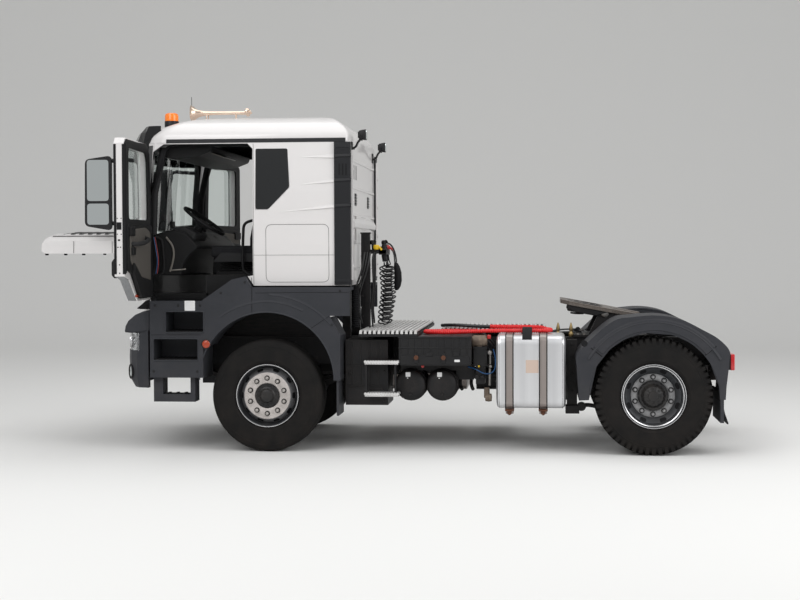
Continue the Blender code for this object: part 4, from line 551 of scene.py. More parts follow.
class Solid:
    """Mesh shells drawn together for one piece, in the truck frame."""

    def __init__(self) -> None:
        """Starts empty."""
        self.mesh = bmesh.new()

    def rows(self, rings: Sequence[Sequence[Point]], ring: bool = False, caps: bool = True) -> "Solid":
        """Adds walls between rings of points.

        Args:
            rings: The rings, each with as many points as the next.
            ring: Whether the last ring joins the first.
            caps: Whether the ends are closed.

        Returns:
            This solid.
        """
        made = [[self.mesh.verts.new(point) for point in row] for row in rings]
        pairs = list(zip(made, made[1:]))
        if ring:
            pairs.append((made[-1], made[0]))
        count = len(made[0])
        faces = []
        for lower, upper in pairs:
            for index in range(count):
                after = (index + 1) % count
                faces.append(self.mesh.faces.new((lower[index], lower[after], upper[after], upper[index])))
        if caps and not ring:
            faces.append(self.mesh.faces.new(made[0][::-1]))
            faces.append(self.mesh.faces.new(made[-1]))
        bmesh.ops.recalc_face_normals(self.mesh, faces=faces)
        return self

    def prism(self, axis: str, outline: Outline, low: float, high: float) -> "Solid":
        """Adds an outline pushed along an axis; it lies in the other two axes, in order.

        Args:
            axis: The axis that it is pushed along.
            outline: Its outline.
            low: Its first end.
            high: Its other end.

        Returns:
            This solid.
        """
        first, second, along = AXES[axis]
        rings = []
        for level in (low, high):
            ring = []
            for a, b in outline:
                place = [0.0, 0.0, 0.0]
                place[first], place[second], place[along] = a, b, level
                ring.append(place)
            rings.append(ring)
        return self.rows(rings)

    def box(self, low: Point, high: Point) -> "Solid":
        """Adds a block between two corners."""
        low, high = [min(a, b) for a, b in zip(low, high)], [max(a, b) for a, b in zip(low, high)]
        return self.prism("z", rectangle(low, high), low[2], high[2])

    def lathe(self, profile: Outline, centre: Point, steps: int = 48, axis: str = "y", sign: float = 1.0,
              ring: bool = False, shape: Optional[Callable[[float], float]] = None) -> "Solid":
        """Turns a profile of radius and offset about an axis through a centre.

        Args:
            profile: Pairs of radius and offset along the axis.
            centre: A point on the axis.
            steps: Sides of the turned shape.
            axis: The axis.
            sign: Which way the offsets run.
            ring: Whether the profile is a closed loop.
            shape: Scales the radius by the angle.

        Returns:
            This solid.
        """
        first, second, along = AXES[axis]
        rows = []
        for step in range(steps):
            angle = 2 * math.pi * step / steps
            grow = shape(angle) if shape else 1.0
            row = []
            for radius, offset in profile:
                place = [0.0, 0.0, 0.0]
                place[first] = centre[first] + radius * grow * math.cos(angle)
                place[second] = centre[second] + radius * grow * math.sin(angle)
                place[along] = centre[along] + sign * offset
                row.append(self.mesh.verts.new(place))
            rows.append(row)
        faces = []
        count = len(profile)
        for row, after in zip(rows, rows[1:] + rows[:1]):
            for index in range(count if ring else count - 1):
                nearby = (index + 1) % count
                faces.append(self.mesh.faces.new((row[index], row[nearby], after[nearby], after[index])))
        if not ring:
            for end in (0, -1):
                if profile[end][0] > 1e-4:
                    faces.append(self.mesh.faces.new([row[end] for row in rows]))
        bmesh.ops.recalc_face_normals(self.mesh, faces=faces)
        return self

    def bar(self, start: Point, end: Point, radius: float, sides: int = 12) -> "Solid":
        """Adds a round bar."""
        return self.sweep([start, end], radius, sides)

    def sweep(self, path: Sequence[Point], radius: float, sides: int = 10, flat: float = 1.0,
              wave: Optional[Callable[[float], float]] = None) -> "Solid":
        """Adds a round or flattened bar along a path.

        Args:
            path: Points on its middle line.
            radius: Its radius.
            sides: Sides of its section.
            flat: Width over height of its section.
            wave: Scales the radius by the length run so far.

        Returns:
            This solid.
        """
        points = [Vector(point) for point in path]
        across: Optional[Vector] = None
        rings = []
        run_so_far = 0.0
        for index, point in enumerate(points):
            run = points[min(index + 1, len(points) - 1)] - points[max(index - 1, 0)]
            run.normalize()
            if across is None:
                level = run.orthogonal() if abs(run.z) > 0.9 else run.cross(Vector((0, 0, 1)))
                across = level.normalized()
            across = (across - run * across.dot(run)).normalized()
            up = run.cross(across)
            size = radius * (wave(run_so_far) if wave else 1.0)
            rings.append([point + across * (size * flat * math.cos(2 * math.pi * s / sides))
                          + up * (size * math.sin(2 * math.pi * s / sides)) for s in range(sides)])
            if index + 1 < len(points):
                run_so_far += (points[index + 1] - point).length
        return self.rows(rings)

    def dome(self, centre: Point, radius: float, height: float, axis: str = "y", sign: float = 1.0,
             steps: int = 24) -> "Solid":
        """Adds a domed cap that stands up along an axis.

        Args:
            centre: The middle of its foot.
            radius: Its radius.
            height: Its height.
            axis: The axis that it stands along.
            sign: Which way it stands.
            steps: Its sides.

        Returns:
            This solid.
        """
        profile = [(radius * math.cos(a), height * math.sin(a)) for a in
                   (math.pi / 2 * s / 5 for s in range(5))] + [(0.0005, height)]
        return self.lathe([(radius, -height * 0.2)] + profile, centre, steps, axis, sign)

    def moved(self, matrix: Matrix) -> "Solid":
        """Turns or moves all that is drawn so far.

        Args:
            matrix: The move.

        Returns:
            This solid.
        """
        self.mesh.transform(matrix)
        if matrix.determinant() < 0:
            bmesh.ops.reverse_faces(self.mesh, faces=self.mesh.faces)
        return self

    def join(self, other: "Solid") -> None:
        """Adds another solid's shells.

        Args:
            other: The solid to copy.
        """
        copy = bpy.data.meshes.new("copy")
        other.mesh.to_mesh(copy)
        self.mesh.from_mesh(copy)
        bpy.data.meshes.remove(copy)

    def bend(self, points: Sequence[Point], per_span: int, radius: float, sides: int, flat: float = 1.0) -> "Solid":
        """Adds a bar along a smooth curve through points."""
        return self.sweep(smooth_route(points, per_span), radius, sides, flat)

    def sided(self, side: int) -> "Solid":
        """Mirrors a solid drawn on the right for the left side."""
        return self.moved(Matrix.Scale(-1, 4, (0, 1, 0))) if side < 0 else self


def rectangle(low: Point, high: Point) -> list[tuple[float, float]]:
    """Returns the four corners of a rectangle."""
    return [(low[0], low[1]), (high[0], low[1]), (high[0], high[1]), (low[0], high[1])]


def rounded(points: Outline, radius: float, steps: int = 5) -> list[tuple[float, float]]:
    """Returns an outline whose corners are arcs.

    Args:
        points: The outline.
        radius: How far from a corner an arc starts.
        steps: Steps of an arc.

    Returns:
        The outline with round corners.
    """
    result = []
    count = len(points)
    for index, point in enumerate(points):
        corner = Vector(point)
        before = Vector(points[index - 1]) - corner
        after = Vector(points[(index + 1) % count]) - corner
        reach = min(radius, before.length * 0.48, after.length * 0.48)
        start = corner + before.normalized() * reach
        end = corner + after.normalized() * reach
        for step in range(steps + 1):
            t = step / steps
            mixed = start * (1 - t) ** 2 + corner * 2 * t * (1 - t) + end * t ** 2
            result.append((mixed[0], mixed[1]))
    return result


def tile(low: Point, high: Point, radius: float, steps: int) -> list[tuple[float, float]]:
    """Returns a rectangle with round corners."""
    return rounded(rectangle(low, high), radius, steps)


def smooth_route(points: Sequence[Point], per_span: int) -> list[Vector]:
    """Returns a smooth curve through points.

    Args:
        points: The points that it passes.
        per_span: Steps between two of them.

    Returns:
        The points of the curve.
    """
    path = [Vector(point) for point in points]
    path = [path[0] * 2 - path[1]] + path + [path[-1] * 2 - path[-2]]
    result = []
    for a, b, c, d in zip(path, path[1:], path[2:], path[3:]):
        for step in range(per_span):
            t = step / per_span
            result.append(0.5 * (2 * b + (c - a) * t + (2 * a - 5 * b + 4 * c - d) * t * t
                                 + (3 * b - a - 3 * c + d) * t ** 3))
    result.append(path[-2])
    return result


def place(name: str, solid: Solid, finish: Finish, body: str, bevel: float = 0.0, smooth: float = 38.0,
          stands_for: Iterable[str] = (), matrix: Optional[Matrix] = None) -> bpy.types.Object:
    """Turns a solid into a dressed piece on a body.

    Args:
        name: The piece's name.
        solid: Its shells in the truck frame.
        finish: Its finish.
        body: The body that carries it.
        bevel: Width of its rounded edges.
        smooth: Edges sharper than this many degrees stay sharp.
        stands_for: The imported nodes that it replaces.
        matrix: A turn in the truck frame.

    Returns:
        The object.
    """
    mesh = bpy.data.meshes.new(name)
    if matrix:
        solid.moved(matrix)
    solid.mesh.to_mesh(mesh)
    solid.mesh.free()
    mesh.shade_smooth()
    mesh.set_sharp_from_angle(angle=math.radians(smooth))
    mesh.materials.append(finish.build())
    made = bpy.data.objects.new(name, mesh)
    bpy.context.scene.collection.objects.link(made)
    made.location = Truck.origin
    if bevel:
        edge = made.modifiers.new("edges", "BEVEL")
        edge.width = bevel
        edge.segments = 2
        edge.limit_method = "ANGLE"
        edge.angle_limit = math.radians(34)
        edge.harden_normals = False
    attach(made, body)
    stands_for = tuple(stands_for)
    if stands_for:
        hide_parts(*stands_for)
    LOG.info("piece %s on %s", name, body)
    return made


def paint(nodes: Nodes, finish: Finish, *names: str) -> None:
    """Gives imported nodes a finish.

    Args:
        nodes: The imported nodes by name.
        finish: The finish.
        *names: The nodes to dress.
    """
    material = finish.build()
    for name in names:
        slots = nodes[name].material_slots
        if not slots:
            nodes[name].data.materials.append(material)
        for slot in slots:
            slot.material = material


SIDES = (("left", -1), ("right", 1))


# Wheels


@dataclass
class Wheels:
    """Tyres and rims on the front hubs and the twin rear hubs."""

    front_radius: float = 0.53
    rear_radius: float = 0.545
    front_y: float = 1.02
    outer_y: float = 1.07
    inner_y: float = 0.745
    bead_radius: float = 0.2995
    rim_half: float = 0.1425
    steps: int = 120
    nuts: int = 10
    nut_ring: float = 0.1675
    lugs: int = 54
    rear_holes: int = 8
    front_hub_bolts: int = 12
    rear_hub_bolts: int = 8

    def tyre_profile(self, radius: float, grooves: Sequence[tuple[float, float, float]]) -> list[tuple[float, float]]:
        """Returns a tyre's closed section.

        Args:
            radius: The tread's radius.
            grooves: Each groove's middle, width and depth.

        Returns:
            Pairs of radius and offset.
        """
        wall = radius - self.bead_radius
        side = [(0.0, 0.128), (0.05, 0.141), (0.12, 0.1475), (0.150, 0.1525), (0.175, 0.1515), (0.30, 0.1555),
                (0.48, 0.157), (0.62, 0.1555), (0.70, 0.1525), (0.715, 0.1545), (0.745, 0.1520), (0.84, 0.147),
                (0.92, 0.138), (0.965, 0.127), (0.988, 0.114)]
        upper = [(self.bead_radius + wall * share, offset) for share, offset in side]
        tread = []
        for middle, width, depth in grooves:
            crown = radius - 0.006 * (abs(middle) / 0.11) ** 2
            tread += [(crown, middle + width / 2), (crown - depth, middle + width * 0.3),
                      (crown - depth, middle - width * 0.3), (crown, middle - width / 2)]
        lower = [(radial, -offset) for radial, offset in reversed(upper)]
        return upper + tread + lower

    def front_tyre(self, label: str, side: int) -> None:
        """Builds a steered wheel's tyre with its ribs and grooves.

        Args:
            label: The side's name.
            side: -1 on the left, 1 on the right.
        """
        centre = (0.0, side * self.front_y, self.front_radius)
        grooves = [(0.078, 0.012, 0.013), (0.028, 0.011, 0.014), (-0.028, 0.011, 0.014), (-0.078, 0.012, 0.013)]
        solid = Solid().lathe(self.tyre_profile(self.front_radius, grooves), centre, self.steps, ring=True)
        place(label + "_steer_tyre", solid, TYRE_RUBBER, label + "_front_wheel",
              stands_for=[label + "_front_tyre"])

    def rear_tyre(self, name: str, y: float, body: str, stands_for: str) -> None:
        """Builds a driven wheel's tyre with its blocks.

        Args:
            name: The piece's name.
            y: The tyre's middle plane.
            body: The body that carries it.
            stands_for: The node that it replaces.
        """
        centre = Vector((Truck.wheelbase, y, self.rear_radius))
        base = self.rear_radius - 0.016
        solid = Solid().lathe(self.tyre_profile(base, [(0.05, 0.01, 0.004), (-0.05, 0.01, 0.004)]), centre,
                              self.steps, ring=True)
        for lug in range(self.lugs):
            angle = 2 * math.pi * lug / self.lugs
            for low, high, shift, share in ((0.084, 0.1515, 0.0, 0.60), (0.030, 0.078, 0.5, 0.66),
                                            (-0.024, 0.024, 0.0, 0.66), (-0.078, -0.030, 0.5, 0.66),
                                            (-0.1515, -0.084, 0.0, 0.60)):
                spread = math.pi / self.lugs * share
                middle = angle + 2 * math.pi / self.lugs * shift
                rings = []
                for turn in (middle - spread, middle + spread):
                    ring = []
                    shoulder = max(abs(low), abs(high)) > 0.1
                    outer, inner = (high, low) if abs(high) > abs(low) else (low, high)
                    edge = self.rear_radius - (0.011 if shoulder else 0.0)
                    for offset, radius in ((inner, base - 0.012), (inner, self.rear_radius - 0.0005), (outer, edge),
                                           (outer, base - (0.055 if shoulder else 0.012))):
                        ring.append(centre + Vector((radius * math.sin(turn), offset, radius * math.cos(turn))))
                    rings.append(ring)
                solid.rows(rings)
        place(name, solid, TYRE_RUBBER, body, smooth=30.0, stands_for=[stands_for])

    def nut_circle(self, centre: Point, side: int, offset: float, radius: float) -> tuple[Solid, Solid]:
        """Returns the dark washers and bright caps of a wheel's nuts.

        Args:
            centre: The wheel's middle.
            side: -1 on the left, 1 on the right.
            offset: How far out the nuts stand.
            radius: The nut circle's radius.

        Returns:
            The washers and the caps.
        """
        washers, caps = Solid(), Solid()
        for spot in self.circle(centre, side, self.nuts, radius, offset, 0.5):
            washers.lathe([(0.0255, -0.002), (0.0255, 0.004), (0.0225, 0.007), (0.0, 0.007)], spot, 20, sign=side)
            caps.lathe([(0.0185, 0.0), (0.0180, 0.022), (0.0145, 0.029), (0.0, 0.0315)], spot, 6, sign=side)
            caps.lathe([(0.0135, 0.02), (0.0125, 0.031), (0.009, 0.0345), (0.0, 0.0355)], spot, 14, sign=side)
        return washers, caps

    @staticmethod
    def circle(centre: Point, side: int, count: int, radius: float, offset: float, shift: float = 0.0) -> list[Point]:
        """Returns spots evenly round an axle.

        Args:
            centre: The wheel's middle.
            side: -1 on the left, 1 on the right.
            count: How many spots.
            radius: Their distance from the axle.
            offset: How far out they lie.
            shift: Part of a step by which the first is turned.

        Returns:
            The spots.
        """
        angles = [2 * math.pi * (step + shift) / count for step in range(count)]
        return [(centre[0] + radius * math.cos(angle), centre[1] + side * offset, centre[2] + radius * math.sin(angle))
                for angle in angles]

    @staticmethod
    def handholes(centre: Point, side: int, turns: Sequence[float], outline: Outline, rise: Callable[[float], float],
                  depths: Sequence[float]) -> Solid:
        """Returns dark pads on a disc's cone in place of its hand holes: painted shade for the open holes.

        Args:
            centre: The wheel's middle.
            side: -1 on the left, 1 on the right.
            turns: Each hole's angle.
            outline: One hole's outline, by radius and distance along the rim.
            rise: How far out the cone lies at a radius.
            depths: How deep the back and the face lie in the cone.

        Returns:
            The holes.
        """
        holes = Solid()
        for turn in turns:
            pad = Solid().rows([[Vector((a, side * (rise(a) - deep), b)) for a, b in outline] for deep in depths])
            holes.join(pad.moved(Matrix.Translation(Vector(centre)) @ Matrix.Rotation(-turn, 4, "Y")))
        return holes

    def front_rim(self, label: str, side: int) -> None:
        """Builds a steered wheel's rim, plate, nuts and hub.

        Args:
            label: The side's name.
            side: -1 on the left, 1 on the right.
        """
        body = label + "_front_wheel"
        centre = (0.0, side * self.front_y, self.front_radius)
        half = self.rim_half
        barrel = Solid().lathe([
            (0.2980, half - 0.004), (0.2980, -half), (0.285, -half), (0.262, -half + 0.03), (0.262, 0.052),
            (0.266, 0.070), (0.2795, 0.100), (0.2845, half - 0.006)], centre, self.steps, sign=side, ring=True)
        place(label + "_front_barrel", barrel, RIM_SHADE, body, stands_for=[label + "_front_rim"])
        lip = Solid().lathe([
            (0.2983, half - 0.005), (0.2983, half + 0.003), (0.2955, half + 0.0065), (0.2905, half + 0.0055),
            (0.2870, half - 0.002), (0.2870, half - 0.008)], centre, self.steps, sign=side, ring=True)
        place(label + "_front_lip", lip, RIM_BRIGHT, body)
        # The disc's cone is painted darker than the plate: painted shade in the dish.
        disc = Solid().lathe([
            (0.264, 0.030), (0.264, 0.058), (0.257, 0.070), (0.240, 0.098), (0.228, 0.126), (0.2225, 0.1385),
            (0.215, 0.1385), (0.110, 0.138), (0.110, 0.120), (0.212, 0.120), (0.226, 0.090), (0.246, 0.050)],
            centre, self.steps, sign=side, ring=True)
        place(label + "_front_disc", disc, RIM_CONE_SHADED, body)
        plate = Solid().lathe([
            (0.2195, 0.135), (0.2195, 0.1435), (0.2160, 0.1475), (0.128, 0.1485), (0.122, 0.1465), (0.117, 0.1405),
            (0.117, 0.135)], centre, self.steps, sign=side, ring=True)
        place(label + "_front_plate", plate, RIM_PLATE, body)
        # Black pads in the front hand holes: painted shade for the open holes.
        holes = self.handholes(
            centre, side, [2 * math.pi * hole / self.nuts for hole in range(self.nuts)],
            rounded([(0.2335, -0.026), (0.2555, -0.031), (0.2555, 0.031), (0.2335, 0.026)], 0.0105, 4),
            lambda a: 0.1135 - (a - 0.2335) * 1.86, (0.016, -0.0015))
        place(label + "_front_handholes", holes, SEAL_AND_SHADE, body)
        washers, caps = self.nut_circle(centre, side, 0.148, self.nut_ring)
        place(label + "_front_washers", washers, HUB_BLACK, body)
        place(label + "_front_nuts", caps, NUT, body)
        hub = Solid().lathe([
            (0.1165, 0.100), (0.1165, 0.144), (0.112, 0.148), (0.088, 0.147), (0.072, 0.152), (0.062, 0.166),
            (0.056, 0.176), (0.040, 0.181), (0.0, 0.182)], centre, 64, sign=side)
        for spot in self.circle(centre, side, self.front_hub_bolts, 0.099, 0.146):
            hub.lathe([(0.009, 0.0), (0.009, 0.010), (0.0, 0.011)], spot, 6, sign=side)
        place(label + "_front_hubcap", hub, HUB_BLACK, body)

    def rear_rims(self, label: str, side: int) -> None:
        """Builds the twin rims, the driven hub and its nuts.

        Args:
            label: The side's name.
            side: -1 on the left, 1 on the right.
        """
        body = label + "_rear_wheels"
        half = self.rim_half
        outer = (Truck.wheelbase, side * self.outer_y, self.rear_radius)
        inner = (Truck.wheelbase, side * self.inner_y, self.rear_radius)
        barrels = Solid()
        for centre in (outer, inner):
            barrels.lathe([(0.2980, half - 0.003), (0.2980, -half), (0.285, -half), (0.262, -half + 0.03),
                           (0.258, 0.03), (0.262, 0.080), (0.280, 0.105), (0.2860, half - 0.006)], centre, self.steps,
                          sign=side, ring=True)
        place(label + "_rear_barrels", barrels, RIM_SHADE, body, stands_for=[label + "_rear_rims"])
        lips = Solid()
        lips.lathe([(0.2983, half - 0.006), (0.2983, half + 0.003), (0.2955, half + 0.0065), (0.2910, half + 0.0055),
                    (0.2885, half - 0.004), (0.2885, half - 0.012)], outer, self.steps, sign=side, ring=True)
        lips.lathe([(0.2835, 0.116), (0.2800, 0.1215), (0.2720, 0.1170), (0.2690, 0.107), (0.2745, 0.098)], outer,
                   self.steps, sign=side, ring=True)
        place(label + "_rear_lips", lips, RIM_BRIGHT, body)
        disc = Solid()
        for centre, sign in ((outer, side), (inner, -side)):
            disc.lathe([(0.262, 0.050), (0.256, 0.055), (0.236, 0.040), (0.214, 0.016), (0.204, 0.006), (0.128, 0.004),
                        (0.128, -0.012), (0.214, -0.012), (0.245, 0.020), (0.262, 0.036)], centre, self.steps,
                       sign=sign, ring=True)
        place(label + "_rear_discs", disc, RIM_SHADE, body)
        ring = Solid().lathe([(0.203, 0.004), (0.203, 0.0125), (0.199, 0.0155), (0.146, 0.0155), (0.140, 0.011),
                              (0.140, 0.004)], outer, self.steps, sign=side, ring=True)
        place(label + "_rear_plate", ring, RIM_GREY, body)
        # Black pads in the rear hand holes: painted shade for the open holes.
        holes = self.handholes(
            outer, side, [2 * math.pi * (hole + 0.5) / self.rear_holes for hole in range(self.rear_holes)],
            rounded([(0.222, -0.028), (0.250, -0.034), (0.250, 0.034), (0.222, 0.028)], 0.016, 4),
            lambda a: 0.0245 + (a - 0.222) * 0.98, (0.010, -0.0045))
        place(label + "_rear_handholes", holes, SEAL_AND_SHADE, body)
        washers, caps = self.nut_circle(outer, side, 0.015, 0.173)
        place(label + "_rear_washers", washers, HUB_BLACK, body)
        place(label + "_rear_nuts", caps, RIM_GREY, body)
        hub = Solid().lathe([(0.136, -0.01), (0.136, 0.045), (0.131, 0.055), (0.112, 0.058), (0.104, 0.070),
                             (0.088, 0.096), (0.050, 0.108), (0.047, 0.122), (0.030, 0.126), (0.0, 0.126)],
                            outer, 96, sign=side, shape=lambda a: 1.0 + 0.022 * math.cos(16 * a))
        for spot in self.circle(outer, side, self.rear_hub_bolts, 0.074, 0.094):
            hub.lathe([(0.010, 0.0), (0.010, 0.014), (0.0, 0.015)], spot, 6, sign=side)
        place(label + "_rear_hubcap", hub, HUB_BLACK, body)

    def build(self) -> None:
        """Builds both axles' wheels."""
        for label, side in SIDES:
            self.front_tyre(label, side)
            self.front_rim(label, side)
            body = label + "_rear_wheels"
            self.rear_tyre(label + "_drive_tyre_outer", side * self.outer_y, body, label + "_rear_tyre_outer")
            self.rear_tyre(label + "_drive_tyre_inner", side * self.inner_y, body, label + "_rear_tyre_inner")
            self.rear_rims(label, side)


# Cab


def between(table: Sequence[Sequence[float]], key: float) -> list[float]:
    """Returns the values at a key between two rows of a table, held at its ends.

    Args:
        table: Rows of a key and its values.
        key: Where to read it.

    Returns:
        The values there.
    """
    if key <= table[0][0]:
        return list(table[0][1:])
    for low, high in zip(table, table[1:]):
        if key <= high[0]:
            share = (key - low[0]) / (high[0] - low[0])
            return [a + (b - a) * share for a, b in zip(low[1:], high[1:])]
    return list(table[-1][1:])


class Skin:
    """The cab's outer skin, which its details follow."""

    # Height, front and half width
    levels = ((1.30, -1.36, 1.115), (1.95, -1.375, 1.13), (2.04, -1.395, 1.13), (2.45, -1.37, 1.13),
              (2.922, -1.315, 1.115))
    # Share of the roof's height, front, half width and rear
    roof_levels = ((0.0, -1.31, 1.113, 0.772), (0.30, -1.26, 1.10, 0.767), (0.62, -1.13, 1.03, 0.705),
                   (0.88, -0.86, 0.88, 0.60), (1.0, -0.40, 0.66, 0.48))
    roof_height = 0.262
    corner = -0.95
    rear = 0.775
    top = 2.922
    wall = 0.05
    power = 2.6
    door_inner = 1.05
    door_outer = 1.14

    @classmethod
    def side_y(cls, z: float) -> float:
        """Returns the cab's half width at a height."""
        return between(cls.levels, z)[1]

    @classmethod
    def ring(cls, z: float, front: float, corner: float, half: float, rear: float, steps: int = 14,
             tail: float = 0.04) -> list[Point]:
        """Returns a plan outline with a bowed front and small rear corners.

        Args:
            z: Its height.
            front: Where its nose lies.
            corner: Where its bow starts.
            half: Its half width.
            rear: Where its rear lies.
            steps: Steps of the bow.
            tail: The rear corners' radius.

        Returns:
            The outline.
        """
        side = []
        for step in range(steps + 1):
            angle = math.pi / 2 * step / steps
            side.append((corner - (corner - front) * max(math.cos(angle), 0.0) ** (2 / cls.power),
                         half * math.sin(angle) ** (2 / cls.power)))
        for step in range(1, 6):
            angle = math.pi / 2 * step / 5
            side.append((rear - tail + tail * math.sin(angle), half - tail + tail * math.cos(angle)))
        return [(x, y, z) for x, y in side] + [(x, -y, z) for x, y in side[:0:-1]]

    @classmethod
    def roof_rows(cls, inset: float, per_span: int = 5) -> list[list[Point]]:
        """Returns the roof's plan outlines from its joint up to its crown.

        Args:
            inset: How far inside the outer skin they lie.
            per_span: Steps between two levels.

        Returns:
            The outlines.
        """
        low = cls.top + 0.0003
        rows = []
        for share, front, half, rear in smooth_route([Vector(level) for level in cls.roof_levels], per_span):
            corner = cls.corner + (front - cls.roof_levels[0][1]) * 0.5
            rows.append(cls.ring(low + (cls.roof_height - inset) * share, front + inset, corner + inset / 2,
                                 half - inset, rear - inset))
        for shrink, over in ((0.6, 1.0), (0.25, 0.6), (0.01, 0.6)):
            rows.append([(x * shrink / over, y * shrink / over, z) for x, y, z in rows[-1]])
        return rows


def draped(outline: Outline, side: int, low: float, high: float) -> Solid:
    """Returns a plate that follows the cab's side between two heights off its skin."""
    return Solid().rows([[(x, side * (Skin.side_y(z) + out), z) for x, z in outline] for out in (low, high)])


def side_line(points: Outline, side: int, radius: float, out: float = 0.0, fine: int = 6) -> Solid:
    """Returns a thin line over the cab's side.

    Args:
        points: Places along and up.
        side: -1 on the left, 1 on the right.
        radius: The line's radius.
        out: How far off the skin it lies.
        fine: Steps between two points.

    Returns:
        The line.
    """
    path = []
    for (x0, z0), (x1, z1) in zip(points, points[1:]):
        path += [(x0 + (x1 - x0) * s / fine, z0 + (z1 - z0) * s / fine) for s in range(fine)]
    path.append(points[-1])
    return Solid().sweep([(x, side * (Skin.side_y(z) + out), z) for x, z in path], radius, 6)


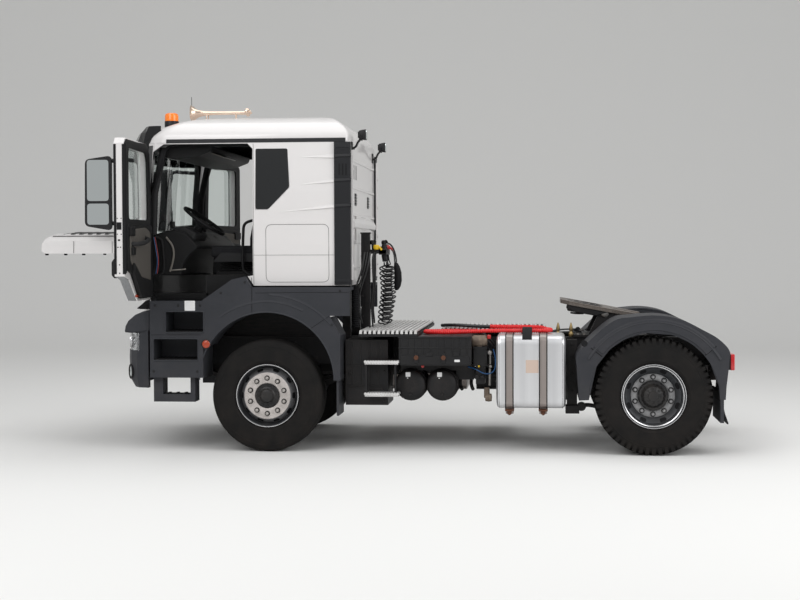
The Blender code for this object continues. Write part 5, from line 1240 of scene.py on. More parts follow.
@dataclass
class CabOutside:
    """The roof, the cab's sides, its rear wall and what stands on the roof."""

    seam_x: float = -0.13
    seam_z: float = 1.855
    gutter: tuple = (-0.965, 0.745, 2.915, 2.953)
    roof_seam: float = -0.93
    window: tuple = ((-0.108, 2.857), (-0.108, 2.288), (0.012, 2.288), (0.212, 2.494), (0.197, 2.857))
    locker: tuple = ((-0.012, 1.600), (0.586, 1.600), (0.586, 2.143), (-0.012, 2.143))
    # Front end and rear end of each crease
    creases: tuple = (((0.306, 2.773), (0.640, 2.783)), ((0.318, 2.516), (0.640, 2.556)),
                      ((0.129, 2.261), (0.640, 2.317)))
    panel: tuple = (0.640, 0.797, 1.142)
    doorway: tuple = ((-1.150, 1.436), (-0.625, 1.436), (-0.325, 1.632), (-0.139, 1.668), (-0.139, 2.905),
                      (-0.985, 2.905), (-1.150, 2.36))

    def roof(self) -> None:
        """Builds the smooth roof and its seam and gutters."""
        outer, inner = Skin.roof_rows(0.0), Skin.roof_rows(Skin.wall)
        shell = Solid().rows(outer + inner[::-1], ring=True)
        place("roof_cap", shell, CAB_PAINT, "cab", smooth=50, stands_for=["cab_roof"])
        front, rear, low, high = self.gutter
        seams = Solid()
        for side in (-1, 1):
            path = []
            for row in outer[:-3]:
                half = [point for point in row if point[1] * side >= 0]
                for a, b in zip(half, half[1:]):
                    if min(a[0], b[0]) <= self.roof_seam <= max(a[0], b[0]) and abs(a[0] - b[0]) > 1e-6:
                        share = (self.roof_seam - a[0]) / (b[0] - a[0])
                        path.append([p + (q - p) * share for p, q in zip(a, b)])
                        break
            seams.sweep(path, 0.0022, 6)
        place("roof_seams", seams, SEAM, "cab")
        gutters = Solid()
        for side in (-1, 1):
            gutters.rows([[(front, side * y, z), (rear, side * y, z)] + [(rear, side * y2, z2), (front, side * y2, z2)]
                          for y, y2, z, z2 in ((1.108, 1.108, low, high), (1.1185, 1.1165, low, high))])
        place("roof_gutters", gutters, CORNER_BLACK, "cab", bevel=0.002)

    def flanks(self) -> None:
        """Draws the seams, lockers, blank windows and creases of both flanks."""
        for label, side in SIDES:
            lines = side_line([(self.seam_x, 2.905), (self.seam_x, 1.575)], side, 0.0022)
            extra = [side_line([(self.seam_x, self.seam_z), (0.640, self.seam_z)], side, 0.0020)]
            ring = rounded(self.locker, 0.06, 6)
            extra.append(side_line(ring + [ring[0]], side, 0.0024, fine=2))
            for solid in extra:
                lines.join(solid)
            place(label + "_flank_seams", lines, SEAM, "cab")
            # An opaque gloss-black pane in place of the side window's glass: painted shade for the dark cab behind it;
            # its gloss gives real reflections.
            pane = draped(rounded(self.window, 0.018, 4), side, -0.0085, 0.0015)
            place(label + "_blank_window", pane, GLOSS_BLACK, "cab", bevel=0.0015)
            folds = Solid()
            for (x0, z0), (x1, z1) in self.creases:
                rings = []
                for step in range(11):
                    share = step / 10
                    x, z = x0 + (x1 - x0) * share, z0 + (z1 - z0) * share
                    tall, out = 0.004 + 0.042 * share, 0.001 + 0.015 * share
                    y = Skin.side_y(z)
                    rings.append([(x, side * (y - 0.004), z + tall * 0.5),
                                  (x, side * (y + out * 0.55), z + tall * 0.1), (x, side * (y + out), z - tall * 0.28),
                                  (x, side * (y + out * 0.85), z - tall * 0.42),
                                  (x, side * (y - 0.004), z - tall * 0.5)])
                folds.rows(rings)
            place(label + "_creases", folds, WHITE_PAINT, "cab", smooth=25)

    def corners(self) -> None:
        """Adds ribs and slots to the black rear corners."""
        front, rear, out = self.panel
        for label, side in SIDES:
            ribs, slots = Solid(), Solid()
            for _, (_, z) in self.creases:
                ribs.rows([[(x, side * (out - 0.003), z - 0.020 + lift), (x, side * (out + 0.009), z - 0.012 + lift),
                            (x, side * (out + 0.006), z + 0.010 + lift), (x, side * (out - 0.003), z + 0.018 + lift)]
                           for x, lift in ((front, 0.0), (rear - 0.01, 0.006), (rear + 0.004, 0.006))])
            for low, high in ((1.60, 1.63), (2.86, 2.913)):
                ribs.rows([[(x, side * (out - 0.030), low), (x, side * (out + 0.005), low),
                            (x, side * (out + 0.003), high), (x, side * (out - 0.030), high)] for x in (front, rear)])
            place(label + "_corner_ribs", ribs, CORNER_BLACK, "cab", bevel=0.002)
            # Dark pads in the louvre slots: painted shade in the openings.
            for x in (0.690, 0.722, 0.754):
                slots.rows([[(x + dx, side * (out + o), z) for dx, z in
                             tile((-0.007, 2.60), (0.007, 2.71), 0.006, 3)] for o in (-0.002, 0.0012)])
            place(label + "_corner_slot_shade", slots, SEAL_AND_SHADE, "cab")

    def rear_wall(self) -> None:
        """Adds pressings, slots and vents to the rear wall."""
        x = Skin.rear
        folds, dark = Solid(), Solid()
        for z in (1.72, 1.98, 2.24, 2.50, 2.76):
            folds.rows([[(x - 0.003, y, z - 0.020), (x + 0.008, y, z - 0.010), (x + 0.008, y, z + 0.010),
                         (x - 0.003, y, z + 0.020)] for y in (-0.98, -0.94, 0.94, 0.98)])
        for y in (-0.72, -0.62, -0.52):
            dark.prism("x", tile((y - 0.010, 2.58), (y + 0.010, 2.72), 0.008, 3), x - 0.002, x + 0.0015)
        for y in (-0.60, 0.45):
            dark.prism("x", tile((y - 0.06, 2.33), (y + 0.06, 2.45), 0.012, 3), x - 0.002, x + 0.004)
            for step in range(4):
                z = 2.345 + 0.028 * step
                dark.box((x + 0.003, y - 0.052, z), (x + 0.010, y + 0.052, z + 0.010))
        for side in (-1, 1):
            folds.rows([[(x - 0.004, side * 1.030, z), (x + 0.026, side * 1.040, z), (x + 0.037, side * 1.060, z),
                         (x + 0.036, side * 1.078, z), (x - 0.004, side * 1.080, z)] for z in (1.62, 2.84)])
            for z in (1.75, 2.05, 2.36, 2.66):
                folds.lathe([(0.012, 0.0), (0.012, 0.006), (0.0, 0.008)], (x + 0.034, side * 1.058, z), 8, axis="x")
            folds.rows([[(x - 0.004, side * a, low), (x + 0.010, side * (a + 0.02), low + 0.02),
                         (x + 0.010, side * (a + 0.02), high - 0.02), (x - 0.004, side * a, high)]
                        for a, low, high in ((0.20, 1.95, 2.25), (0.60, 1.95, 2.25))])
        folds.prism("y", [(x - 0.004, 2.10), (x + 0.030, 2.12), (x + 0.034, 2.16), (x + 0.012, 2.20),
                          (x - 0.004, 2.20)], -0.90, 0.90)
        place("rear_wall_folds", folds, WHITE_PAINT, "cab", smooth=30)
        place("rear_wall_vents", dark, CORNER_BLACK, "cab")

    def beacon(self) -> None:
        """Builds the amber beacon and its black foot."""
        centre = (-1.00, -0.75, 0.0)
        foot = Solid().lathe([(0.060, 3.045), (0.0685, 3.060), (0.0685, 3.150), (0.064, 3.158), (0.0, 3.158)], centre,
                             40, axis="z")
        place("beacon_foot", foot, MOULDING, "cab")
        dome = Solid().lathe([(0.058, 3.150), (0.0655, 3.156), (0.0655, 3.205), (0.060, 3.224), (0.045, 3.233),
                              (0.0, 3.236)], centre, 48, axis="z", shape=lambda a: 1 + 0.008 * math.cos(24 * a))
        place("beacon_dome", dome, AMBER, "cab", stands_for=["beacon"])

    def horns(self) -> None:
        """Builds the two trumpets with their drums and feet."""
        drums = Solid()
        horns = Solid()
        for y, mouth, reach in ((-0.36, -0.895, 0.545), (-0.22, -0.905, 0.535)):
            flare = [(0.012, reach)]
            for step in range(13):
                share = step / 12
                flare.append((0.0095 + 0.0655 * (1 - share) ** 6.5, reach * share ** 1.25))
            profile = sorted(flare, key=lambda row: row[1])
            outer = [(radius + 0.0018, offset) for radius, offset in profile]
            inner = [(max(radius - 0.0018, 0.004), offset + 0.003) for radius, offset in profile[:9]]
            horns.lathe([(0.0, reach + 0.01)] + outer[::-1] + [(0.0785, -0.001), (0.0745, -0.003)] + inner
                        + [(0.0, inner[-1][1])], (mouth, y, 3.272), 40, axis="x")
            drums.lathe([(0.0, -0.012), (0.020, -0.010), (0.034, 0.0), (0.036, 0.016), (0.030, 0.030), (0.012, 0.036),
                         (0.010, 0.050), (0.0, 0.052)], (mouth + reach + 0.006, y, 3.277), 30, axis="x")
            for x in (mouth + 0.15, mouth + reach - 0.10):
                drums.bar((x, y, 3.168), (x, y, 3.264), 0.005)
                drums.lathe([(0.018, -0.004), (0.018, 0.004), (0.0, 0.005)], (x, y, 3.171), 16, axis="z")
        place("horn_trumpets", horns, HORN_METAL, "cab", smooth=45, stands_for=["air_horns"])
        place("horn_drums", drums, HORN_METAL, "cab")

    def aerial(self) -> None:
        """Adds the whip aerial on the roof."""
        rod = Solid().bar((-0.95, -0.10, 3.10), (-0.955, -0.10, 3.455), 0.0028, 8)
        rod.lathe([(0.018, 3.095), (0.016, 3.125), (0.006, 3.145), (0.0, 3.146)], (-0.95, -0.10, 0.0), 16, axis="z")
        place("aerial", rod, CABLE_BLACK, "cab")

    def lamps(self) -> None:
        """Builds the two work lamps on stalks behind the roof."""
        shells, glass = Solid(), Solid()
        for side in (-1, 1):
            y = side * 0.88
            shells.box((0.7755, y - 0.045, 2.83), (0.784, y + 0.045, 2.93))
            shells.bend([(0.782, y, 2.865), (0.815, y, 2.885), (0.835, y, 2.925), (0.862, y, 2.955)], 5, 0.011, 8,
                        flat=1.8)
            shells.bar((0.870, y - 0.056, 2.992), (0.870, y + 0.056, 2.992), 0.010)
            for turn in (-1, 1):
                shells.sweep([(0.862, y, 2.948), (0.868, y + turn * 0.045, 2.946), (0.870, y + turn * 0.056, 2.992)],
                             0.006, 6, flat=1.6)
            rings = []
            for x, half in ((0.846, 0.030), (0.852, 0.040), (0.885, 0.047), (0.912, 0.050), (0.918, 0.048)):
                rings.append([(x, y + a, 2.995 + b) for a, b in tile((-half, -half), (half, half), 0.014, 4)])
            shells.rows(rings)
            for step in range(4):
                shells.box((0.838, y - 0.030 + 0.018 * step, 2.965), (0.856, y - 0.026 + 0.018 * step, 3.025))
            glass.prism("x", [(y + a, 2.995 + b) for a, b in tile((-0.042, -0.042), (0.042, 0.042), 0.012, 4)], 0.916,
                        0.9225)
            shells.bend([(0.85, y, 2.96), (0.82, y + 0.03, 2.90), (0.79, y + 0.05, 2.86)], 5, 0.005, 6)
        place("work_lamp_shells", shells, MOULDING, "cab", bevel=0.002, stands_for=["work_lamps"])
        place("work_lamp_glass", glass, MIRROR, "cab")

    def doorways(self) -> None:
        """Adds the black seals round both doorways."""
        for label, side in SIDES:
            ring = rounded(self.doorway, 0.055, 5)
            path = [(x, side * 1.0, z) for x, z in ring]
            seal = Solid()
            sections = []
            count = len(path)
            for index, (x, y, z) in enumerate(path):
                before, after = path[index - 1], path[(index + 1) % count]
                run = (Vector(after) - Vector(before)).normalized()
                inward = Vector((-run.z, 0, run.x))
                sections.append([Vector((x, side * 1.028, z)) - inward * 0.004,
                                 Vector((x, side * 1.028, z)) + inward * 0.016,
                                 Vector((x, side * 0.988, z)) + inward * 0.016,
                                 Vector((x, side * 0.988, z)) - inward * 0.004])
            seal.rows(sections, ring=True)
            place(label + "_doorway_seal", seal, SEAL_AND_SHADE, "cab", smooth=30)

    def build(self) -> None:
        """Builds all of it."""
        self.roof()
        self.flanks()
        self.corners()
        self.rear_wall()
        self.beacon()
        self.horns()
        self.aerial()
        self.lamps()
        self.doorways()


@dataclass
class Doors:
    """Both doors' edges, inner trims, handles and mirrors, drawn closed on the right side."""

    front: float = -1.145
    rear: float = -0.145
    low: float = 1.44
    top: float = 2.90
    bump: float = 1.672
    window: tuple = ((0.10, 0.50), (0.90, 0.50), (0.90, 0.95), (0.19, 0.95), (0.13, 0.90), (0.10, 0.62))

    def spot(self, along: float, up: float) -> tuple[float, float]:
        """Returns a place on the door by shares of its length and height."""
        return self.front + (self.rear - self.front) * along, self.low + (self.top - self.low) * up

    def window_ring(self, grow: float) -> list[tuple[float, float]]:
        """Returns the window's rounded outline, grown or shrunk.

        Args:
            grow: How far it is grown.

        Returns:
            The outline.
        """
        points = [Vector(self.spot(*share)) for share in self.window]
        middle = sum(points, Vector((0, 0))) / len(points)
        moved = [point + (point - middle).normalized() * grow * 1.4 for point in points]
        return rounded([tuple(point) for point in moved], 0.05, 5)

    def frame_ring(self, solid: Solid, inner_grow: float, outer_grow: float, low: float, high: float) -> None:
        """Adds a flat frame round the window.

        Args:
            solid: The solid to add to.
            inner_grow: How far its inner edge is grown.
            outer_grow: How far its outer edge is grown.
            low: Its inner face.
            high: Its outer face.
        """
        inner, outer = self.window_ring(inner_grow), self.window_ring(outer_grow)
        solid.rows([[(x, low, z) for x, z in outer], [(x, high, z) for x, z in outer],
                    [(x, high, z) for x, z in inner], [(x, low, z) for x, z in inner]], ring=True)

    def door(self, label: str, side: int) -> None:
        """Dresses one door.

        Args:
            label: The side's name.
            side: -1 on the left, 1 on the right.
        """
        turn = Truck.door_matrix(side)
        body = label + "_door"
        inner, outer = Skin.door_inner, Skin.door_outer

        def fix(name: str, solid: Solid, finish: Finish, bevel: float = 0.0) -> None:
            """Places one of this door's pieces."""
            place(label + name, solid.sided(side), finish, body, bevel=bevel, matrix=turn)

        frame = Solid()
        self.frame_ring(frame, -0.014, 0.062, inner - 0.016, inner + 0.004)
        fix("_window_frame", frame, TRIM_BLACK, 0.004)
        seal = Solid()
        self.frame_ring(seal, -0.004, 0.010, outer - 0.006, outer + 0.003)
        fix("_window_rubber", seal, SEAL_AND_SHADE)
        trim = Solid().prism("y", rounded([(self.front + 0.02, self.low + 0.02), (self.front + 0.50, self.low + 0.02),
                                           (self.rear - 0.20, self.bump + 0.02), (self.rear - 0.035, self.bump + 0.06),
                                           (self.rear - 0.035, 2.14), (self.front + 0.02, 2.14)], 0.03, 4),
                             inner - 0.026, inner + 0.002)
        fix("_door_trim", trim, TRIM_BLACK, 0.006)
        inset = Solid().prism("y",
                              rounded([(self.front + 0.12, 1.60), (self.front + 0.55, 1.66), (self.rear - 0.10, 1.80),
                                       (self.rear - 0.08, 2.085), (self.front + 0.30, 2.115),
                                       (self.front + 0.12, 2.07)], 0.045, 5), inner - 0.036, inner - 0.020)
        fix("_door_inset", inset, TRIM_PALE, 0.005)
        pocket = Solid().prism("y",
                               rounded([(self.front + 0.10, 1.47), (self.front + 0.52, 1.47), (self.rear - 0.18, 1.70),
                                        (self.rear - 0.16, 1.80), (self.front + 0.55, 1.66),
                                        (self.front + 0.10, 1.62)], 0.03, 4), inner - 0.052, inner - 0.015)
        fix("_door_pocket", pocket, TRIM_BLACK, 0.01)
        rest = Solid().bend([(self.front + 0.34, inner - 0.02, 2.02), (self.front + 0.38, inner - 0.075, 2.00),
                             (self.front + 0.62, inner - 0.085, 1.97), (self.front + 0.82, inner - 0.075, 1.96),
                             (self.front + 0.88, inner - 0.02, 1.96)], 5, 0.020, 12)
        fix("_door_pull", rest, TRIM_DARK)
        mouth = Solid().box((self.rear - 0.22, inner - 0.050, 2.03), (self.rear - 0.06, inner - 0.018, 2.11))
        mouth.box((self.rear - 0.20, inner - 0.058, 1.86), (self.rear - 0.10, inner - 0.018, 1.93))
        fix("_door_switches", mouth, TRIM_BLACK, 0.008)
        edges = Solid()
        edges.box((self.rear - 0.004, outer - 0.020, self.bump + 0.02),
                  (self.rear + 0.004, outer + 0.002, self.top - 0.06))
        edges.box((self.rear - 0.012, inner - 0.010, self.bump + 0.02),
                  (self.rear + 0.003, inner + 0.016, self.top - 0.06))
        edges.sweep([(self.rear - 0.02, inner - 0.006, self.bump + 0.03),
                     (self.rear - 0.02, inner - 0.006, self.top - 0.05),
                     (self.rear - 0.07, inner - 0.006, self.top - 0.02),
                     (self.front + 0.18, inner - 0.006, self.top - 0.02),
                     (self.front + 0.06, inner - 0.006, self.top - 0.09),
                     (self.front + 0.012, inner - 0.006, self.top - 0.54),
                     (self.front + 0.012, inner - 0.006, self.low + 0.03)], 0.010, 8)
        fix("_door_seal", edges, SEAL_AND_SHADE)
        latch = Solid()
        latch.box((self.rear - 0.001, 1.075, 2.085), (self.rear + 0.0025, 1.118, 2.150))
        latch.box((self.rear - 0.001, 1.088, 1.985), (self.rear + 0.0020, 1.108, 2.000))
        for y, z, size in ((1.078, 2.185, 0.005), (1.112, 2.185, 0.005), (1.078, 2.045, 0.005), (1.112, 2.045, 0.005),
                           (1.085, 1.930, 0.006), (1.108, 1.930, 0.006), (1.095, 1.775, 0.006), (1.095, 1.700, 0.006)):
            latch.lathe([(size, -0.001), (size, 0.0018), (0.0, 0.0020)], (self.rear, y, z), 12, axis="x")
        fix("_door_latch", latch, SEAL_AND_SHADE)
        handle = Solid().prism("x", rounded([(outer - 0.002, 1.655), (outer + 0.012, 1.655), (outer + 0.036, 1.68),
                                             (outer + 0.036, 1.80), (outer + 0.012, 1.83), (outer - 0.002, 1.83)],
                                            0.012, 4), self.rear - 0.26, self.rear - 0.03)
        fix("_door_handle", handle, MOULDING, 0.006)
        lamp = Solid().box((self.rear - 0.40, inner - 0.012, self.low + 0.035),
                           (self.rear - 0.48, inner + 0.004, self.low + 0.06))
        fix("_door_lamp", lamp, ORANGE_LENS, 0.004)
        self.underside(label, side, turn)

    def underside(self, label: str, side: int, turn: Matrix) -> None:
        """Adds the pale curved strip under the door's lower rear corner.

        Args:
            label: The side's name.
            side: -1 on the left, 1 on the right.
            turn: The door's turn.
        """
        rows = []
        for x, z in ((self.front + 0.46, self.low + 0.004), (self.front + 0.525, self.low + 0.004),
                     (self.front + 0.824, 1.637), (self.rear - 0.01, self.bump + 0.0005)):
            rows.append([(x, 1.062, z - 0.003), (x, 1.136, z - 0.003), (x, 1.136, z + 0.006), (x, 1.062, z + 0.006)])
        place(label + "_door_underside", Solid().rows(rows).sided(side), DOOR_FOOT, label + "_door", bevel=0.003,
              matrix=turn)

    def mirror(self, label: str, side: int) -> None:
        """Builds a mirror housing, its two glasses and its arms.

        Args:
            label: The side's name.
            side: -1 on the left, 1 on the right.
        """
        turn = Truck.door_matrix(side)
        body = label + "_door"
        x, depth, y0, y1, z0, z1 = -1.165, 0.090, 1.42, 1.68, 2.122, 2.785
        plan = rounded([(y0, z0 - 0.030), (y1, z0 + 0.015), (y1 - 0.006, z1 - 0.015), (y0, z1 + 0.022)], 0.045, 6)
        housing = Solid().rows([
            [(x + 0.0, 1.55 + (y - 1.55) * 0.90, 2.45 + (z - 2.45) * 0.955) for y, z in plan],
            [(x + 0.001, y, z) for y, z in plan],
            [(x - 0.012, 1.55 + (y - 1.55) * 1.0, z) for y, z in plan],
            [(x - depth * 0.6, 1.55 + (y - 1.55) * 0.97, 2.45 + (z - 2.45) * 0.985) for y, z in plan],
            [(x - depth, 1.55 + (y - 1.55) * 0.74, 2.45 + (z - 2.45) * 0.90) for y, z in plan]])
        for z in (z0 + 0.045, z1 - 0.03):
            route = smooth_route([(x - 0.045, y0 + 0.03, z),
                                  (x - 0.035, y0 - 0.10, z + (0.012 if z > 2.4 else -0.012)), (x + 0.02, 1.20, z),
                                  (x + 0.07, Skin.door_outer + 0.01, z)], 5)
            housing.sweep(route, 0.020, 12)
            housing.box((self.front + 0.02, Skin.door_outer + 0.0003, z - 0.04),
                        (self.front + 0.09, Skin.door_outer + 0.026, z + 0.04))
        place(label + "_mirror_case", housing.sided(side), MOULDING, body, bevel=0.003, matrix=turn,
              stands_for=[label + "_mirror"])
        glass = Solid()
        for low, high in ((2.375, 2.765), (2.150, 2.350)):
            glass.prism("x", tile((y0 + 0.026, low), (y1 - 0.026, high), 0.03, 5), x + 0.0008, x + 0.0045)
        place(label + "_mirror_glass", glass.sided(side), MIRROR, body, matrix=turn)

    def build(self) -> None:
        """Dresses both doors."""
        for label, side in SIDES:
            self.door(label, side)
            self.mirror(label, side)


@dataclass
class Inside:
    """The seats, the wheel, the dashboard's details and the roof console."""

    seat_y: float = 0.60
    seat_half: float = 0.26

    def seat(self, label: str, side: int) -> None:
        """Builds one seat: cushion, back, head rest and its sprung foot.

        Args:
            label: The side's name.
            side: -1 on the left, 1 on the right.
        """
        y = side * self.seat_y
        half = self.seat_half
        cushion = Solid().rows(
            [[(x, y + across * half, z) for across, z in ((-0.96, 1.835), (-1.0, 1.885), (-0.92, 1.950),
                                                          (-0.62, 1.938), (0.0, 1.930), (0.62, 1.938), (0.92, 1.950),
                                                          (1.0, 1.885), (0.96, 1.835))]
             for x in (-0.60, -0.50, -0.35, -0.20, -0.10)])
        place(label + "_seat_cushion", cushion, SEAT_CLOTH, "cab", bevel=0.02, stands_for=[label + "_seat"])
        rows = []
        for up, x, wide, thick in ((0.0, -0.165, 0.93, 0.11), (0.12, -0.150, 0.98, 0.13), (0.35, -0.110, 1.0, 0.12),
                                   (0.58, -0.065, 0.97, 0.10), (0.74, -0.030, 0.80, 0.09)):
            z = 1.90 + up
            rows.append([(x - thick * 0.45, y - wide * half, z), (x - thick * 0.62, y - wide * half * 0.72, z),
                         (x - thick * 0.30, y - wide * half * 0.45, z), (x - thick * 0.30, y + wide * half * 0.45, z),
                         (x - thick * 0.62, y + wide * half * 0.72, z), (x - thick * 0.45, y + wide * half, z),
                         (x + thick * 0.50, y + wide * half * 0.92, z), (x + thick * 0.58, y, z),
                         (x + thick * 0.50, y - wide * half * 0.92, z)])
        rows.append([(px * 0.5 + (-0.025) * 0.5, y + (py - y) * 0.55, 2.665) for px, py, _ in rows[-1]])
        place(label + "_seat_back", Solid().rows(rows), SEAT_CLOTH, "cab", bevel=0.015)
        head = Solid().rows([[(x - 0.055 * wide, y - 0.13 * wide, z), (x - 0.075 * wide, y, z),
                              (x - 0.055 * wide, y + 0.13 * wide, z), (x + 0.045 * wide, y + 0.12 * wide, z),
                              (x + 0.045 * wide, y - 0.12 * wide, z)]
                             for x, z, wide in ((-0.005, 2.60, 0.85), (0.0, 2.63, 1.0), (0.012, 2.70, 1.0),
                                                (0.02, 2.72, 0.8))])
        place(label + "_head_rest", head, SEAT_CLOTH, "cab", bevel=0.012)
        foot = Solid()
        foot.box((-0.56, y - 0.20, 1.661), (-0.14, y + 0.20, 1.70))
        foot.box((-0.57, y - 0.22, 1.80), (-0.12, y + 0.22, 1.836))
        for step in range(5):
            z = 1.705 + 0.020 * step
            foot.box((-0.53 + 0.006 * (step % 2), y - 0.175, z), (-0.17 - 0.006 * (step % 2), y + 0.175, z + 0.012))
        foot.box((-0.57, y - side * 0.20 - 0.02, 1.84), (-0.30, y - side * 0.20 + 0.02, 1.86))
        place(label + "_seat_foot", foot, TRIM_BLACK, "cab", bevel=0.004)
        side_plate = Solid().prism("y", rounded([(-0.58, 1.79), (-0.12, 1.79), (-0.12, 1.87), (-0.50, 1.88)], 0.02, 3),
                                   y - half - 0.012, y - half + 0.008)
        place(label + "_seat_levers", side_plate, TRIM_DARK, "cab", bevel=0.004)

    def dash(self) -> None:
        """Builds the dashboard, its vents, its pale strip and the steering wheel."""
        outline = [(-1.165, 1.663), (-1.165, 2.025), (-1.12, 2.060), (-1.02, 2.093), (-0.94, 2.096), (-0.83, 2.068),
                   (-0.72, 1.955), (-0.715, 1.925), (-0.79, 1.86), (-0.845, 1.79), (-0.875, 1.663)]
        body = Solid().prism("y", outline, -0.925, 0.925)
        place("dash_body", body, TRIM_BLACK, "cab", bevel=0.018, stands_for=["dashboard"])
        hood = Solid().rows([[(x, y, z) for x, z in ((-1.00, 2.07), (-0.97, 2.125), (-0.86, 2.135), (-0.74, 2.07),
                                                     (-0.76, 1.99), (-0.90, 1.98))]
                             for y in (-0.86, -0.80, -0.42, -0.36)])
        place("dial_hood", hood, TRIM_DARK, "cab", bevel=0.02)
        vents = Solid()
        for y in (-0.84, -0.30, -0.12, 0.30, 0.84):
            for step in range(4):
                vents.bar((-0.775 - 0.012 * step, y - 0.055, 2.008 + 0.014 * step),
                          (-0.775 - 0.012 * step, y + 0.055, 2.008 + 0.014 * step), 0.004, 6)
        for y in (-0.10, 0.0, 0.10):
            vents.box((-0.80, y - 0.035, 1.90), (-0.755, y + 0.035, 1.93))
        place("dash_vents", vents, TRIM_DARK, "cab")
        strip = Solid().bend([(-1.02, -0.928, 2.03), (-0.96, -0.934, 1.95), (-0.945, -0.934, 1.86),
                              (-0.965, -0.934, 1.76), (-0.985, -0.928, 1.70)], 6, 0.010, 8, flat=0.7)
        strip.sweep([(-0.97, -0.93, 1.712), (-0.83, -0.93, 1.722)], 0.007, 8)
        place("dash_strip", strip, TRIM_STRIP, "cab")
        turn = (Matrix.Translation((-0.72, -0.60, 2.19)) @ Matrix.Rotation(math.radians(35), 4, "Y"))
        wheel = Solid()
        rows = []
        for step in range(56):
            around = 2 * math.pi * step / 56
            rows.append([((0.225 + 0.0145 * math.cos(a)) * math.cos(around),
                          (0.225 + 0.0145 * math.cos(a)) * math.sin(around), 0.0165 * math.sin(a))
                         for a in (2 * math.pi * s / 12 for s in range(12))])
        wheel.rows(rows, ring=True)
        wheel.rows([[(x, y, z) for x, y in tile((-0.075, -0.085), (0.075, 0.085), 0.03, 4)] for z in (-0.05, -0.012)])
        for y, x in ((-1, 0.25), (1, 0.25), (-0.55, -0.85), (0.55, -0.85)):
            wheel.sweep([(0.05 * x, 0.06 * y, -0.03), (0.14 * x, 0.14 * y, -0.020),
                         (0.222 * x / math.hypot(x, y), 0.222 * y / math.hypot(x, y), 0.0)], 0.013, 8, flat=1.5)
        wheel.bar((0, 0, -0.30), (0, 0, -0.045), 0.042, 16)
        for y in (-1, 1):
            wheel.sweep([(0.03, 0.05 * y, -0.075), (0.03, 0.20 * y, -0.060)], 0.008, 8)
        place("steering_wheel", wheel, TRIM_BLACK, "cab", smooth=50, matrix=turn)

    def fittings(self) -> None:
        """Adds the console, blinds, pillars, mats, grab bars and small things on the screen."""
        console = Solid().prism("y", rounded([(-1.06, 2.885), (-1.04, 2.80), (-0.93, 2.775), (-0.70, 2.80),
                                              (-0.58, 2.845), (-0.56, 2.905)], 0.02, 3), -0.96, 0.96)
        place("roof_console", console, TRIM_BLACK, "cab", bevel=0.012)
        blind = Solid().rows([[(-0.70, y, 2.873), (-0.50, y, 2.802), (-0.495, y, 2.808), (-0.695, y, 2.880)]
                              for y in (-0.80, -0.15)])
        place("sun_blind", blind, TRIM_STRIP, "cab", bevel=0.002)
        pillars = Solid()
        for side in (-1, 1):
            pillars.sweep([(-1.13, side * 0.980, 2.06), (-1.115, side * 0.985, 2.45), (-1.02, side * 0.985, 2.88)],
                          0.040, 12, flat=0.8)
        place("front_pillars", pillars, TRIM_DARK, "cab")
        bars = Solid()
        for side in (-1, 1):
            bars.bend([(-0.120, side * 0.945, 2.19), (-0.185, side * 0.925, 2.185), (-0.255, side * 0.918, 2.15),
                       (-0.270, side * 0.918, 2.05), (-0.275, side * 0.918, 1.75), (-0.245, side * 0.925, 1.69),
                       (-0.200, side * 0.930, 1.662)], 5, 0.014, 12)
            bars.bend([(-1.125, side * 0.965, 2.04), (-1.07, side * 0.950, 2.01), (-1.05, side * 0.950, 1.95),
                       (-1.04, side * 0.950, 1.72), (-1.09, side * 0.955, 1.66)], 5, 0.013, 12)
        place("grab_bars", bars, TRIM_BLACK, "cab")
        mats = Solid()
        for side in (-1, 1):
            low, high = sorted((side * 0.375, side * 0.975))
            mats.box((-0.60, low, 1.6605), (-0.05, high, 1.668))
        place("floor_mats", mats, MAT_RUBBER, "cab", bevel=0.002)
        tunnel = Solid().prism("x", rounded([(-0.33, 1.6605), (0.33, 1.6605), (0.28, 1.84), (-0.28, 1.84)], 0.05, 5),
                               -0.70, 0.10)
        place("engine_tunnel", tunnel, TRIM_DARK, "cab")
        sills = Solid()
        for side in (-1, 1):
            low, high = sorted((side * 0.9805, side * 0.9845))
            sills.prism("y", [(-0.617, 1.445), (-0.60, 1.445), (-0.33, 1.634), (-0.157, 1.664), (-0.617, 1.664)], low,
                        high)
            sills.prism("y", [(-1.135, 1.444), (-0.60, 1.444), (-0.60, 1.493), (-1.135, 1.493)], low, high)
        place("sill_trims", sills, TRIM_BLACK, "cab")
        corners = Solid()
        for side in (-1, 1):
            low, high = sorted((side * 0.993, side * 1.035))
            corners.prism("y", [(-1.10, 1.345), (-1.10, 1.437), (-1.155, 1.437), (-1.195, 1.425), (-1.24, 1.385),
                                (-1.285, 1.350), (-1.275, 1.344)], low, high)
            inner = sorted((side * 0.86, side * 1.10))
            corners.prism("y", [(-1.121, 1.344), (-1.121, 1.40), (-1.175, 1.40), (-1.225, 1.362), (-1.24, 1.344)],
                          *inner)
            corners.lathe([(0.014, -0.004), (0.014, 0.006), (0.0, 0.007)], (-1.15, side * 1.034, 1.39), 10, "y", side)
        place("corner_fillers", corners, SEAL_AND_SHADE, "cab", bevel=0.003)
        holder = Solid()
        holder.bend([(-1.13, -0.78, 2.10), (-1.12, -0.76, 2.17), (-1.09, -0.74, 2.21)], 5, 0.008, 8)
        holder.box((-1.105, -0.78, 2.19), (-1.075, -0.70, 2.25))
        holder.bend([(-1.10, -0.55, 2.09), (-1.09, -0.54, 2.16), (-1.06, -0.52, 2.18)], 5, 0.006, 8)
        holder.box((-1.08, -0.55, 2.13), (-1.05, -0.44, 2.19))
        place("phone_holders", holder, TRIM_BLACK, "cab", bevel=0.003)
        cables = ((CABLE_BLUE, "blue_lead", 0.0), (CABLE_RED, "red_lead", 0.012))
